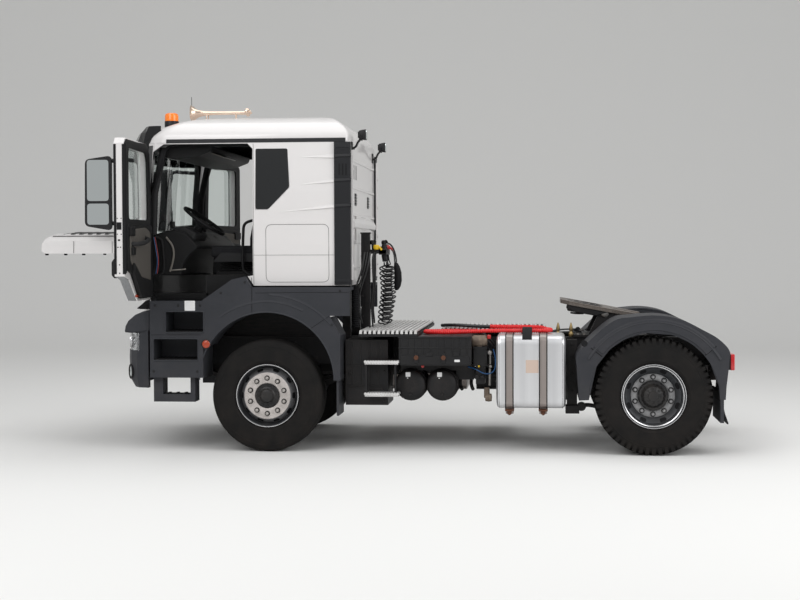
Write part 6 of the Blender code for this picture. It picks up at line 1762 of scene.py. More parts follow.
        for finish, name, shift in cables:
            lead = Solid().bend([(-1.118 + shift, -1.018, 2.03), (-1.10 + shift, -1.016, 1.92),
                                 (-1.085 + shift, -1.016, 1.80), (-1.10 + shift, -1.016, 1.68)], 6, 0.004, 6)
            place(name, lead, finish, "cab")

    def build(self) -> None:
        """Builds the inside."""
        for label, side in SIDES:
            self.seat(label, side)
        self.dash()
        self.fittings()


# Flap, front end and fenders


class Surface:
    """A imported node's surface, on which details are laid."""

    def __init__(self, node: bpy.types.Object) -> None:
        """Reads the node's mesh.

        Args:
            node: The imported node.
        """
        mesh = bmesh.new()
        mesh.from_mesh(node.data)
        mesh.transform(node.matrix_world)
        self.tree = BVHTree.FromBMesh(mesh)
        mesh.free()

    def hit(self, start: Point, way: Point) -> Vector:
        """Returns where a ray in the truck frame meets the surface, or where it starts."""
        found = self.tree.ray_cast(Vector(start) + Truck.origin, Vector(way), 6.0)[0]
        return found - Truck.origin if found else Vector(start)

    def patch(self, solid: Solid, outline: Outline, side: int, low: float, high: float) -> Solid:
        """Adds a plate that lies on the node's side, over an outline of x and z.

        Args:
            solid: The solid to add to.
            outline: Places along and up.
            side: -1 on the left, 1 on the right.
            low: How far off the skin its back lies.
            high: How far off its face lies.

        Returns:
            The solid.
        """
        rings = []
        for out in (low, high):
            ring = []
            for x, z in outline:
                y = self.hit((x, side * 2.5, z), (0, -side, 0)).y
                ring.append((x, y + side * out, z))
            rings.append(ring)
        return solid.rows(rings)

    def front_patch(self, solid: Solid, outline: Outline, low: float, high: float) -> Solid:
        """Adds a plate that lies on the node's front, over an outline of y and z.

        Args:
            solid: The solid to add to.
            outline: Places across and up.
            low: How far off the skin its back lies.
            high: How far off its face lies.

        Returns:
            The solid.
        """
        rings = []
        for out in (low, high):
            rings.append([(self.hit((-3.0, y, z), (1, 0, 0)).x - out, y, z) for y, z in outline])
        return solid.rows(rings)


def screws(solid: Solid, spots: Iterable[Point], radius: float, height: float, axis: str, sign: float,
           steps: int = 6) -> Solid:
    """Adds screw or bolt heads that stand up along an axis.

    Args:
        solid: The solid to add to.
        spots: Their places.
        radius: Their radius.
        height: Their height.
        axis: The axis that they stand along.
        sign: Which way they stand.
        steps: Sides of a head.

    Returns:
        The solid.
    """
    for spot in spots:
        solid.lathe([(radius * 1.5, -0.001), (radius * 1.5, height * 0.25)], spot, 14, axis, sign)
        solid.lathe([(radius, -0.001), (radius, height * 0.85), (radius * 0.8, height), (0.0, height)], spot, steps,
                    axis, sign)
    return solid


def arc(middle: Point, radius: float, low: float, high: float, steps: int = 16) -> list[tuple[float, float]]:
    """Returns points on an arc between two angles in degrees."""
    return [(middle[0] + radius * math.cos(math.radians(low + (high - low) * s / steps)),
             middle[1] + radius * math.sin(math.radians(low + (high - low) * s / steps))) for s in range(steps + 1)]


@dataclass
class Front:
    """The raised flap's details, the bumper's brows, lamps and grille."""

    flap_front: float = -1.47
    flap_rear: float = -1.265
    flap_half: float = 0.985

    def flap(self) -> None:
        """Adds the grille, the stops, the seams and the stays of the flap, drawn closed."""
        turn = Truck.about(Truck.flap_place, Truck.flap_turn)
        grille = Solid()
        face = self.flap_front

        def bow(y: float) -> float:
            """Returns how far forward the flap's face lies at a place across."""
            return self.flap_rear - 0.205 * (1 - (abs(y) / self.flap_half) ** 5) ** 0.2

        stations = [-0.80 + 1.60 * s / 12 for s in range(13)]
        for z, tall in ((1.92, 0.055), (1.83, 0.05), (1.745, 0.05), (1.66, 0.05), (1.575, 0.05), (1.49, 0.05)):
            rows = []
            for y in stations:
                ease = 0.004 if abs(y) > 0.79 else 0.0
                rows.append([(bow(y) + 0.004, y, z - tall * 0.5), (bow(y) - 0.012 + ease, y, z - tall * 0.30),
                             (bow(y) - 0.011 + ease, y, z + tall * 0.15), (bow(y) + 0.004, y, z + tall * 0.5)])
            grille.rows(rows)
        place("flap_grille", grille, MOULDING, "front_flap", matrix=turn)
        stops = Solid()
        for side in (-1, 1):
            for z in (1.285, 1.472, 1.649):
                stops.lathe([(0.016, 0.0), (0.018, 0.010), (0.014, 0.018), (0.0, 0.018)],
                            (self.flap_rear - 0.002, side * (self.flap_half - 0.016), z), 16, axis="x")
        place("flap_stops", stops, SEAL_AND_SHADE, "front_flap", matrix=turn)
        seams = Solid()
        for side in (-1, 1):
            for z in (1.555, 1.935):
                seams.sweep([(self.flap_rear - 0.003, side * (self.flap_half + 0.0002), z),
                             (self.flap_rear - 0.12, side * (self.flap_half + 0.0002), z)], 0.0022, 6)
        seams.sweep([(bow(y) - 0.0005, y, 1.40) for y in stations], 0.0025, 6)
        place("flap_seams", seams, SEAM, "front_flap", matrix=turn)
        inner = Solid()
        for side in (-1, 1):
            inner.box((face + 0.032, side * 0.86, 1.32), (face + 0.060, side * 0.90, 1.96))
            inner.box((face + 0.032, side * 0.30, 1.32), (face + 0.050, side * 0.34, 1.96))
        for z in (1.36, 1.90):
            inner.box((face + 0.032, -0.90, z), (face + 0.055, 0.90, z + 0.035))
        place("flap_ribs", inner, MOULDING, "front_flap", bevel=0.004, matrix=turn)

    def bumper(self, nodes: Nodes) -> None:
        """Adds brows, lamps, grille slots and tow covers to the bumper.

        Args:
            nodes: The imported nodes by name.
        """
        skin = Surface(nodes["bumper"])
        lens = {label: Surface(nodes[label + "_headlamp"]) for label, _ in SIDES}
        for label, side in SIDES:
            outline = [(-1.372, 1.126), (-1.362, 1.185), (-1.335, 1.235), (-1.268, 1.292), (-1.19, 1.325),
                       (-1.119, 1.341), (-1.119, 1.14), (-1.30, 1.12)]
            brow = Solid().prism("y", outline, *sorted((side * 1.122, side * 1.168)))
            place(label + "_brow", brow, CLADDING, "chassis", bevel=0.012)
            bowl, ring = Solid(), Solid()
            for y, z, radius in ((0.985, 1.036, 0.058), (0.855, 1.036, 0.058)):
                front = lens[label].hit((-3.0, side * y, z), (1, 0, 0)).x
                bowl.lathe([(0.012, 0.060), (radius * 0.5, 0.052), (radius * 0.85, 0.030), (radius, 0.010),
                            (radius + 0.006, 0.010), (radius + 0.004, 0.045), (0.02, 0.078), (0.0, 0.078)],
                           (front, side * y, z), 32, axis="x")
            place(label + "_lamp_bowls", bowl, REFLECTOR, "chassis")
            lens[label].front_patch(ring, rounded(rectangle(*sorted(((side * 0.735, 0.96), (side * 0.775, 1.11)))),
                                                  0.01, 3), -0.004, 0.003)
            place(label + "_turn_lamp", ring, ORANGE_LENS, "chassis")
            strip = Solid()
            for step in range(3):
                z = 0.972 + 0.055 * step
                lens[label].patch(strip, [(-1.33, z), (-1.26, z), (-1.26, z + 0.006), (-1.33, z + 0.006)], side,
                                  -0.004, 0.0015)
            place(label + "_lamp_bars", strip, REFLECTOR, "chassis")
            fog = Solid()
            spot = skin.hit((-3.0, side * 1.02, 0.745), (1, 0, 0))
            slope = skin.hit((-3.0, side * 1.06, 0.745), (1, 0, 0))
            facing = Vector((-(slope.y - spot.y), slope.x - spot.x, 0.0)).normalized()
            facing = facing if facing.x < 0 else -facing
            frame = Matrix.Translation(spot + facing * 0.006) @ facing.to_track_quat("Z", "Y").to_matrix().to_4x4()
            fog.lathe([(0.050, -0.03), (0.072, -0.02), (0.074, 0.004), (0.066, 0.010), (0.060, 0.004), (0.056, -0.012),
                       (0.0, -0.014)], (0, 0, 0), 36, axis="z").moved(frame)
            place(label + "_fog_surround", fog, MOULDING, "chassis")
            glass = Solid().lathe([(0.054, -0.010), (0.054, 0.0), (0.040, 0.006), (0.0, 0.009)], (0, 0, 0), 32,
                                  axis="z").moved(frame)
            place(label + "_fog_lens", glass, MIRROR, "chassis")
            edge = Solid()
            skin.patch(edge, [(-1.40, 0.845), (-1.16, 0.845), (-1.16, 0.852), (-1.40, 0.852)], side, -0.004, 0.0012)
            skin.patch(edge, [(-1.43, 1.128), (-1.16, 1.128), (-1.16, 1.134), (-1.43, 1.134)], side, -0.004, 0.0012)
            place(label + "_bumper_seams", edge, SEAL_AND_SHADE, "chassis")
        grille = Solid()
        for z in (0.70, 0.755, 0.81, 0.865):
            for y0, y1 in ((-0.42, -0.02), (0.02, 0.42)):
                skin.front_patch(grille, tile((y0, z), (y1, z + 0.030), 0.008, 3), -0.006, 0.002)
        place("lower_grille", grille, GLOSS_BLACK, "chassis")
        plate = Solid()
        skin.front_patch(plate, tile((-0.26, 0.955), (0.26, 1.065), 0.008, 3), -0.004, 0.006)
        place("front_plate", plate, LABEL, "chassis", bevel=0.001)
        covers = Solid()
        for y in (-0.62, 0.62):
            skin.front_patch(covers, tile((y - 0.055, 0.70), (y + 0.055, 0.80), 0.02, 4), -0.004, 0.0035)
        place("tow_covers", covers, CLADDING_EDGE, "chassis", bevel=0.002)

    def build(self, nodes: Nodes) -> None:
        """Dresses the front."""
        self.flap()
        self.bumper(nodes)


@dataclass
class Fenders:
    """The side claddings' seams, markers, step treads and edges."""

    arch: tuple = (0.0, 0.68)
    arch_radius: float = 0.64
    out: float = 1.205
    # Radius, then places along and up
    seams: tuple = ((0.0028, ((-0.135, 1.645), (-0.135, 1.31))), (0.0022, ((-0.60, 0.72), (-0.60, 1.00))),
                    (0.0022, ((-1.105, 1.105), (-0.625, 1.105))),
                    (0.0020, ((-0.10, 1.50), (0.30, 1.505), (0.785, 1.505))), (0.0022, ((0.42, 1.165), (0.60, 1.285))))
    rear_centre: tuple = (3.6, 0.545)
    rear_out: float = 1.245
    # Degrees rearwards from the top, share of the tyre's radius
    rear_shares: tuple = ((-93, 1.25), (-85, 1.262), (-77, 1.306), (-69, 1.374), (-62, 1.46), (-52, 1.435),
                          (-42, 1.42), (-26, 1.44), (-17, 1.395), (-8, 1.37), (5, 1.365), (17, 1.37), (34, 1.375),
                          (48, 1.44), (58, 1.46), (64, 1.372), (72, 1.276), (80, 1.21), (86, 1.186), (92, 1.175))

    def front(self, label: str, side: int) -> None:
        """Dresses one front fender with its entry steps.

        Args:
            label: The side's name.
            side: -1 on the left, 1 on the right.
        """
        lip = Solid()
        points = arc(self.arch, self.arch_radius + 0.002, 0, 180, 40)
        lip.sweep([(x, side * (self.out - 0.004), z) for x, z in points], 0.008, 8)
        place(label + "_arch_lip", lip, CLADDING_EDGE, "chassis")
        ridge = Solid()
        for radius, low, high in ((0.735, 62, 128), (0.80, 38, 88)):
            rings = []
            for x, z in arc(self.arch, radius, low, high, 22):
                run = Vector((x - self.arch[0], z - self.arch[1])).normalized() * 0.012
                rings.append([(x - run.x, side * (self.out - 0.003), z - run.y), (x, side * (self.out + 0.0045), z),
                              (x + run.x * 2.5, side * (self.out - 0.003), z + run.y * 2.5)])
            ridge.rows(rings)
        place(label + "_fender_creases", ridge, CLADDING, "chassis")
        seams = Solid()
        for radius, line in self.seams:
            seams.sweep([(x, side * (self.out + 0.0002), z) for x, z in line], radius, 6)
        place(label + "_fender_seams", seams, SEAL_AND_SHADE, "chassis")
        treads = Solid()
        for front, rear, low in ((-0.962, -0.600, 1.129), (-1.080, -0.655, 0.865)):
            y0, y1 = sorted((side * 0.90, side * 1.198))
            treads.box((front + 0.006, y0, low + 0.001), (rear - 0.006, y1, low + 0.010))
            count = 11
            for step in range(count):
                x = front + 0.02 + (rear - front - 0.04) * step / (count - 1)
                treads.box((x - 0.006, y0, low + 0.010), (x + 0.006, y1, low + 0.016))
        place(label + "_step_treads", treads, MOULDING, "chassis", bevel=0.002)
        rims = Solid()
        for low, high, front, rear in ((1.129, 1.323, -0.962, -0.600), (0.865, 1.066, -1.080, -0.655)):
            ring = tile((front - 0.004, low - 0.004), (rear + 0.004, high + 0.004), 0.018, 4)
            path = [(x, side * (self.out + 0.001), z) for x, z in ring]
            rims.sweep(path + [path[0]], 0.0065, 8)
        place(label + "_step_rims", rims, CLADDING_EDGE, "chassis")
        heads = screws(Solid(),
                       [(x, side * self.out, z) for x, z in ((-1.06, 1.38), (-0.84, 1.382), (-0.63, 1.382),
                                                             (-0.43, 1.50), (-1.08, 0.76), (-0.66, 0.76),
                                                             (-0.20, 1.60), (0.70, 1.52), (0.62, 1.20))], 0.008, 0.006,
                       "y", side)
        place(label + "_fender_screws", heads, MOULDING, "chassis")
        label_plate = Solid().prism("y", tile((-0.778, 1.330), (-0.678, 1.427), 0.006, 3),
                                    *sorted((side * (self.out - 0.002), side * (self.out + 0.0015))))
        place(label + "_blank_label", label_plate, LABEL, "chassis")
        marker = Solid().lathe([(0.046, -0.004), (0.046, 0.004), (0.040, 0.008)], (-0.574, side * self.out, 1.018), 28,
                               "y", side)
        place(label + "_marker_ring", marker, MOULDING, "chassis")
        lens = Solid().dome((-0.574, side * (self.out + 0.006), 1.018), 0.038, 0.012, "y", side, 28)
        place(label + "_marker_lens", lens, ORANGE_LENS, "chassis")
        hang = Solid()
        for x in (-1.06, -0.98, -0.90, -0.82, -0.74):
            hang.box((x - 0.012, side * 0.955, 0.5365), (x + 0.012, side * 1.125, 0.545))
        place(label + "_hang_tread", hang, MOULDING, "chassis", bevel=0.002)

    def rear(self, label: str, side: int) -> None:
        """Dresses one rear fender: its segments' edges, creases, hole and flap.

        Args:
            label: The side's name.
            side: -1 on the left, 1 on the right.
        """
        centre, out = self.rear_centre, self.rear_out
        wheel = centre[1]
        rings = []
        for degrees, share in smooth_route(self.rear_shares, 6):
            ring = []
            for grow, y in ((wheel * share + 0.004, 0.595), (wheel * share + 0.004, out + 0.005),
                            (wheel * 1.0885, out + 0.005), (wheel * 1.0885, out + 0.0006),
                            (wheel * share - 0.010, out + 0.0006), (wheel * share - 0.010, 0.595)):
                angle = math.radians(degrees)
                ring.append((centre[0] + grow * math.sin(angle), side * y, centre[1] + grow * math.cos(angle)))
            rings.append(ring)
        place(label + "_rear_fender_skin", Solid().rows(rings), CLADDING, "chassis", smooth=30)
        band = Solid().rows([[(centre[0] + wheel * r * math.sin(math.radians(a)), side * y,
                               centre[1] + wheel * r * math.cos(math.radians(a)))
                              for r, y in ((1.115, out + 0.004), (1.125, out + 0.014), (1.30, out + 0.014),
                                           (1.325, out + 0.004))] for a in range(-50, 51, 4)])
        place(label + "_rear_fender_band", band, CLADDING, "chassis", bevel=0.003, smooth=30)
        rings = []
        for x, z in arc(centre, wheel * 1.255, 30, 150, 40):
            run = Vector((x - centre[0], z - centre[1])).normalized() * 0.010
            rings.append([(x - run.x, side * (out + 0.008), z - run.y), (x, side * (out + 0.018), z),
                          (x + run.x * 2, side * (out + 0.008), z + run.y * 2)])
        place(label + "_rear_fender_crease", Solid().rows(rings), CLADDING, "chassis")
        lips = Solid()
        path = arc(centre, wheel * 1.097, 2, 178, 40)
        lips.sweep([(x, side * (out - 0.003), z) for x, z in path], 0.007, 8)
        place(label + "_rear_arch_lip", lips, CLADDING_EDGE, "chassis")
        joints = Solid()
        for degrees in (142, 40):
            (x0, z0), (x1, z1) = [(centre[0] + wheel * r * math.cos(math.radians(degrees)),
                                   centre[1] + wheel * r * math.sin(math.radians(degrees))) for r in (1.10, 1.34)]
            joints.sweep([(x0, side * (out + 0.0052), z0), (x1, side * (out + 0.0052), z1)], 0.0045, 6)
        joints.lathe([(0.030, -0.002), (0.030, 0.0056), (0.0, 0.0058)], (2.965, side * out, 1.035), 22, "y", side)
        place(label + "_rear_fender_joints", joints, SEAL_AND_SHADE, "chassis")
        rubber = Solid().rows([[(4.190 + dx + lean, y, z) for y, dx in ((side * 0.64, 0.0), (side * 1.235, 0.0),
                                                                       (side * 1.235, 0.016), (side * 0.64, 0.016))]
                               for z, lean in ((0.60, 0.0), (0.52, 0.006), (0.40, 0.034), (0.30, 0.068))])
        place(label + "_rear_rubber", rubber, SEAL_AND_SHADE, "chassis", bevel=0.002)
        bracket = Solid()
        bracket.sweep([(4.02, side * 1.12, 1.12), (4.14, side * 1.12, 1.06), (4.22, side * 1.10, 0.95),
                       (4.28, side * 1.05, 0.88)], 0.014, 8)
        bracket.sweep([(3.90, side * 1.05, 1.19), (4.08, side * 1.05, 1.105), (4.16, side * 1.05, 1.065)], 0.016, 8,
                      flat=1.6)
        place(label + "_rear_fender_stay", bracket, MOULDING, "chassis")

    def build(self) -> None:
        """Dresses all four fenders."""
        for label, side in SIDES:
            self.front(label, side)
            self.rear(label, side)


# Chassis


@dataclass
class Middle:
    """What hangs on the chassis between the cab and the rear wheels."""

    hose_radius: float = 0.022
    hose_route: tuple = ((2.62, -0.60, 1.1326), (2.66, -0.72, 1.1326), (2.60, -0.84, 1.1326), (2.40, -0.88, 1.1326),
                         (2.15, -0.88, 1.1326), (1.90, -0.85, 1.122), (1.68, -0.82, 1.112), (1.52, -0.76, 1.112),
                         (1.46, -0.66, 1.112), (1.54, -0.57, 1.112), (1.74, -0.55, 1.115), (1.96, -0.56, 1.118))

    def steps(self) -> None:
        """Builds the bright treads, the locker's ribs and the battery box's details."""
        treads = Solid()
        for z in (0.535, 0.838):
            for step in range(13):
                x = 0.926 + 0.302 * step / 12
                treads.lathe([(0.0, -0.074), (0.014, -0.073), (0.0165, -0.066), (0.0165, 0.066), (0.014, 0.073),
                              (0.0, 0.074)], (x, -1.048, z + 0.012), 10, axis="y")
            treads.box((0.920, -1.1205, z - 0.0125), (1.235, -1.118, z + 0.0125))
            for step in range(12):
                x = 0.934 + 0.288 * step / 11
                treads.dome((x, -1.1195, z), 0.011, 0.008, "y", -1, 10)
        place("step_tread_strips", treads, PLANK_METAL, "chassis")
        locker = Solid()
        for x in (0.775, 0.86, 0.945, 1.03):
            locker.box((x, -0.985, 0.62), (x + 0.010, -0.978, 1.03))
        for z in (0.615, 0.80):
            locker.box((0.735, -0.986, z), (1.11, -0.978, z + 0.012))
        locker.box((0.74, -0.99, 0.455), (1.08, -0.975, 0.60))
        screws(locker, [(0.76, -0.98, 0.72), (0.76, -0.98, 0.745), (1.02, -0.98, 0.74), (1.09, -0.98, 0.75)], 0.009,
               0.008, "y", -1)
        place("locker_ribs", locker, CHASSIS, "chassis", bevel=0.003)
        box = Solid()
        for x in (1.262, 1.325, 1.395, 1.465, 1.535, 1.605, 1.675, 1.745, 1.815, 1.880):
            box.box((x - 0.006, -1.1055, 0.92), (x + 0.006, -1.098, 1.068))
        box.box((1.235, -1.1075, 0.975), (1.925, -1.0995, 0.987))
        box.box((1.235, -1.1075, 1.070), (1.925, -1.095, 1.091))
        box.prism("y", tile((1.255, 0.825), (1.905, 0.905), 0.02, 4), -1.106, -1.098)
        for x in (1.404, 1.66):
            box.box((x - 0.020, -1.118, 0.84), (x + 0.020, -1.105, 0.93))
        box.box((1.49, -1.112, 0.905), (1.56, -1.098, 0.94))
        box.box((1.75, -1.112, 0.905), (1.81, -1.098, 0.94))
        place("battery_lid", box, MOULDING, "chassis", bevel=0.003)
        latches = Solid()
        for x in (1.404, 1.66):
            latches.lathe([(0.022, -0.002), (0.022, 0.010), (0.016, 0.014), (0.008, 0.010), (0.0, 0.010)],
                          (x, -1.117, 0.89), 20, "y", -1)
        place("battery_latches", latches, RUST, "chassis")
        place("battery_label", Solid().prism("y", tile((1.763, 0.85), (1.813, 0.872), 0.004, 2), -1.1075, -1.104),
              LABEL, "chassis")
        switch = Solid().lathe([(0.014, -0.002), (0.014, 0.012), (0.008, 0.016), (0.0, 0.016)], (1.455, -0.98, 0.80),
                               16, "y", -1)
        switch.bar((1.455, -0.90, 0.80), (1.455, -0.978, 0.80), 0.008)
        place("battery_switch", switch, RED_PLASTIC, "chassis")
        labels = Solid()
        for x in (1.338, 1.637):
            labels.prism("y", tile((x - 0.045, 0.700), (x + 0.0, 0.742), 0.004, 2), -0.9800, -0.950)
            labels.prism("y", rectangle((x - 0.032, 0.684), (x - 0.020, 0.692)), -0.9835, -0.960)
        place("air_tank_labels", labels, LABEL, "chassis")
        ends = Solid()
        for x in (1.338, 1.637):
            ends.lathe([(0.146, -0.10), (0.1475, -0.098), (0.1475, 0.085 - 0.16), (0.145, -0.07), (0.143, 0.018),
                        (0.130, 0.034), (0.095, 0.047), (0.05, 0.053), (0.0, 0.055)], (x, -0.93, 0.62), 44, "y", -1)
            ends.lathe([(0.012, 0.05), (0.012, 0.062), (0.0, 0.062)], (x, -0.93, 0.53), 6, "y", -1)
            for y in (-0.88, -0.60):
                ends.sweep([(a, y, b) for a, b in arc((x, 0.62), 0.1475, 0, 360, 32)], 0.006, 6, flat=2.4)
        place("air_tank_ends", ends, CHASSIS, "chassis", smooth=50)

    def valves(self) -> None:
        """Builds the pump, the valve cluster and its lines ahead of the fuel tank."""
        pump = Solid()
        pump.lathe([(0.0, -0.075), (0.045, -0.072), (0.058, -0.05), (0.058, 0.05), (0.045, 0.072), (0.0, 0.075)],
                   (1.99, -0.90, 1.035), 24, axis="x")
        pump.lathe([(0.03, -0.05), (0.042, -0.045), (0.042, 0.0), (0.030, 0.01), (0.0, 0.012)], (1.99, -0.90, 1.01),
                   20, axis="z")
        pump.box((1.93, -0.93, 0.985), (2.05, -0.84, 1.0))
        pump.lathe([(0.0, -0.03), (0.034, -0.03), (0.040, 0.0), (0.036, 0.03), (0.0, 0.034)], (2.075, -0.95, 0.505),
                   20, axis="x")
        pump.lathe([(0.022, -0.06), (0.028, -0.055), (0.026, 0.04), (0.0, 0.04)], (2.06, -0.95, 0.56), 16, axis="z")
        place("pump", pump, BRONZE, "chassis", bevel=0.002)
        black = Solid()
        black.box((1.935, -0.95, 0.80), (2.06, -0.70, 0.985))
        black.box((1.955, -0.93, 0.63), (2.04, -0.72, 0.80))
        black.box((1.76, -0.80, 0.66), (1.93, -0.55, 0.80))
        for x, z, radius in ((2.075, 0.93, 0.020), (2.085, 0.80, 0.018), (1.965, 0.70, 0.026), (2.02, 0.70, 0.020)):
            black.lathe([(radius, -0.05), (radius, 0.03), (radius * 0.7, 0.036), (0.0, 0.036)], (x, -0.92, z), 14, "y",
                        -1)
        for x in (1.80, 1.905):
            black.bend([(x, -0.75, 0.67), (x, -0.78, 0.62), (x + 0.01, -0.80, 0.585), (x + 0.02, -0.82, 0.57)], 4,
                       0.017, 8)
        screws(black, [(1.95, -0.951, 0.83), (2.045, -0.951, 0.83), (1.95, -0.951, 0.96), (2.045, -0.951, 0.96)],
               0.008, 0.008, "y", -1)
        place("valve_block", black, MOULDING, "chassis", bevel=0.004)
        bright = Solid()
        bright.lathe([(0.016, -0.03), (0.020, 0.0), (0.020, 0.012), (0.010, 0.016), (0.0, 0.016)],
                     (2.09, -0.965, 0.93), 6, "y", -1)
        bright.lathe([(0.012, -0.02), (0.014, 0.012), (0.0, 0.014)], (2.095, -0.96, 0.80), 6, "y", -1)
        bright.bar((2.092, -0.955, 0.82), (2.092, -0.955, 0.91), 0.009)
        bright.bar((2.085, -0.95, 0.62), (2.09, -0.955, 0.78), 0.012)
        place("valve_fittings", bright, STEEL, "chassis")
        place("pump_cap", Solid().lathe([(0.018, -0.01), (0.018, 0.02), (0.012, 0.026), (0.0, 0.026)],
                                        (2.08, -0.93, 1.07), 14, axis="z"), RED_PLASTIC, "chassis")
        place("yellow_tap", Solid().lathe([(0.010, -0.002), (0.010, 0.012), (0.0, 0.014)], (1.985, -0.95, 0.80), 10,
                                          "y", -1), YELLOW, "chassis")
        line = Solid().bend([(1.88, -0.88, 0.790), (1.95, -0.96, 0.775), (2.03, -0.965, 0.735), (2.095, -0.965, 0.735),
                             (2.135, -0.955, 0.78), (2.140, -0.94, 0.87), (2.120, -0.92, 0.96)], 8, 0.0055, 8)
        place("blue_air_line", line, CABLE_BLUE, "chassis")
        wires = Solid()
        for y, z0, lift in ((-0.62, 1.10, 0.02), (-0.66, 1.07, 0.01), (-0.58, 0.98, 0.03)):
            wires.bend([(1.88, y, z0 - 0.05), (2.0, y - 0.06, z0 - 0.02 + lift), (2.11, y - 0.04, z0 - 0.10),
                        (2.15, y, z0 - 0.22)], 6, 0.011, 8)
        place("chassis_wires", wires, CABLE_BLACK, "chassis")

    def tank(self) -> None:
        """Builds the pressed fuel tank, its straps and its feet."""
        x0, x1, y0, y1, z0, z1 = 2.153, 2.799, -1.16, -0.50, 0.421, 1.102
        ring = tile((y0, z0), (y1, z1), 0.10, 9)
        middle = ((y0 + y1) / 2, (z0 + z1) / 2)
        rows = []
        for x, shrink in ((x0, 0.86), (x0 + 0.006, 0.94), (x0 + 0.018, 0.985), (x0 + 0.035, 1.0)):
            rows.append([(x, middle[0] + (y - middle[0]) * shrink, middle[1] + (z - middle[1]) * shrink)
                         for y, z in ring])
        count = 36
        for step in range(1, count):
            x = x0 + 0.035 + (x1 - x0 - 0.07) * step / count
            rows.append([(x, y, z) for y, z in ring])
        for x, shrink in ((x1 - 0.035, 1.0), (x1 - 0.018, 0.985), (x1 - 0.006, 0.94), (x1, 0.86)):
            rows.append([(x, middle[0] + (y - middle[0]) * shrink, middle[1] + (z - middle[1]) * shrink)
                         for y, z in ring])
        place("fuel_tank_shell", Solid().rows(rows), TANK_METAL, "chassis", smooth=30, stands_for=["fuel_tank"])
        seams = Solid()
        for x in (x0 + 0.030, x1 - 0.030):
            path = [(x, y - 0.0005 if y < middle[0] else y, z) for y, z in ring]
            seams.sweep(path + [path[0]], 0.0028, 6)
        place("tank_seams", seams, RIM_BRIGHT, "chassis")
        cap = Solid().lathe([(0.050, -0.01), (0.050, 0.018), (0.044, 0.026), (0.0, 0.028)], (2.43, -0.80, z1), 30,
                            axis="z")
        for step in range(3):
            cap.box((2.43 - 0.006, -0.80 - 0.046, z1 + 0.02), (2.43 + 0.006, -0.80 + 0.046, z1 + 0.034))
        place("tank_cap", cap, MOULDING, "chassis", bevel=0.002)
        edges, feet = Solid(), Solid()
        for x in (2.276, 2.589):
            for shift in (-0.034, 0.034):
                path = [(x + shift, y, z) for y, z in tile((y0 - 0.006, z0 - 0.006), (y1, z1 + 0.006), 0.104, 9)]
                edges.sweep(path + [path[0]], 0.0055, 6)
            feet.box((x - 0.042, -1.10, 0.392), (x + 0.042, -1.02, 0.420))
            feet.box((x - 0.036, -1.165, 0.398), (x + 0.036, -1.12, 0.412))
            feet.lathe([(0.020, -0.028), (0.022, -0.018), (0.022, 0.0)], (x, -1.135, 0.395), 6, axis="z")
            feet.bar((x, -1.135, 0.360), (x, -1.135, 0.412), 0.011, 10)
        place("strap_rubbers", edges, SEAL_AND_SHADE, "chassis")
        place("strap_feet", feet, RUST, "chassis", bevel=0.002)
        place("tank_label", Solid().prism("y", tile((2.428, 0.755), (2.546, 0.875), 0.004, 2), -1.1615, -1.157),
              LABEL_PALE, "chassis")
        beam = Solid()
        beam.box((2.815, -0.80, 0.345), (2.910, -0.70, 1.043))
        beam.box((2.80, -0.84, 0.345), (2.93, -0.68, 0.42))
        beam.bend([(2.90, -0.78, 0.40), (3.0, -0.80, 0.425), (3.09, -0.82, 0.415), (3.18, -0.84, 0.41)], 5, 0.020, 10)
        beam.lathe([(0.0, -0.045), (0.04, -0.045), (0.045, 0.0), (0.04, 0.045), (0.0, 0.045)], (2.95, -0.79, 0.41), 18,
                   axis="y")
        screws(beam, [(2.862, -0.80, z) for z in (0.38, 0.55, 0.72, 0.89, 1.0)], 0.012, 0.012, "y", -1)
        place("side_beam", beam, CHASSIS, "chassis", bevel=0.004)

    def decks(self) -> None:
        """Lays ridged planks on both decks and the black edges under them."""
        ridges, edge = Solid(), Solid()
        for front, rear, half, count in ((0.86, 1.42, 1.10, 13), (1.60, 2.62, 0.43, 24)):
            pitch = (rear - front) / count
            for step in range(count):
                x = front + pitch * (step + 0.5)
                ridges.rows([[(x - pitch * 0.31, y, low), (x - pitch * 0.24, y, 1.1455), (x + pitch * 0.24, y, 1.1455),
                              (x + pitch * 0.31, y, low)]
                             for y, low in ((-half - 0.014, 1.112), (-half - 0.0005, 1.112), (-half + 0.002, 1.1322),
                                            (half - 0.002, 1.1322), (half + 0.0005, 1.112), (half + 0.014, 1.112))])
                for y in range(int(half * 2 / 0.11)):
                    ridges.dome((x, -half + 0.06 + 0.11 * y, 1.1452), pitch * 0.13, 0.004, "z", 1, 6)
            for y in (-half - 0.012, half + 0.002):
                edge.box((front, y, 1.086), (rear, y + 0.010, 1.109))
        place("deck_ridges", ridges, PLANK_METAL, "chassis", smooth=30)
        place("deck_edges", edge, MOULDING, "chassis", bevel=0.002)

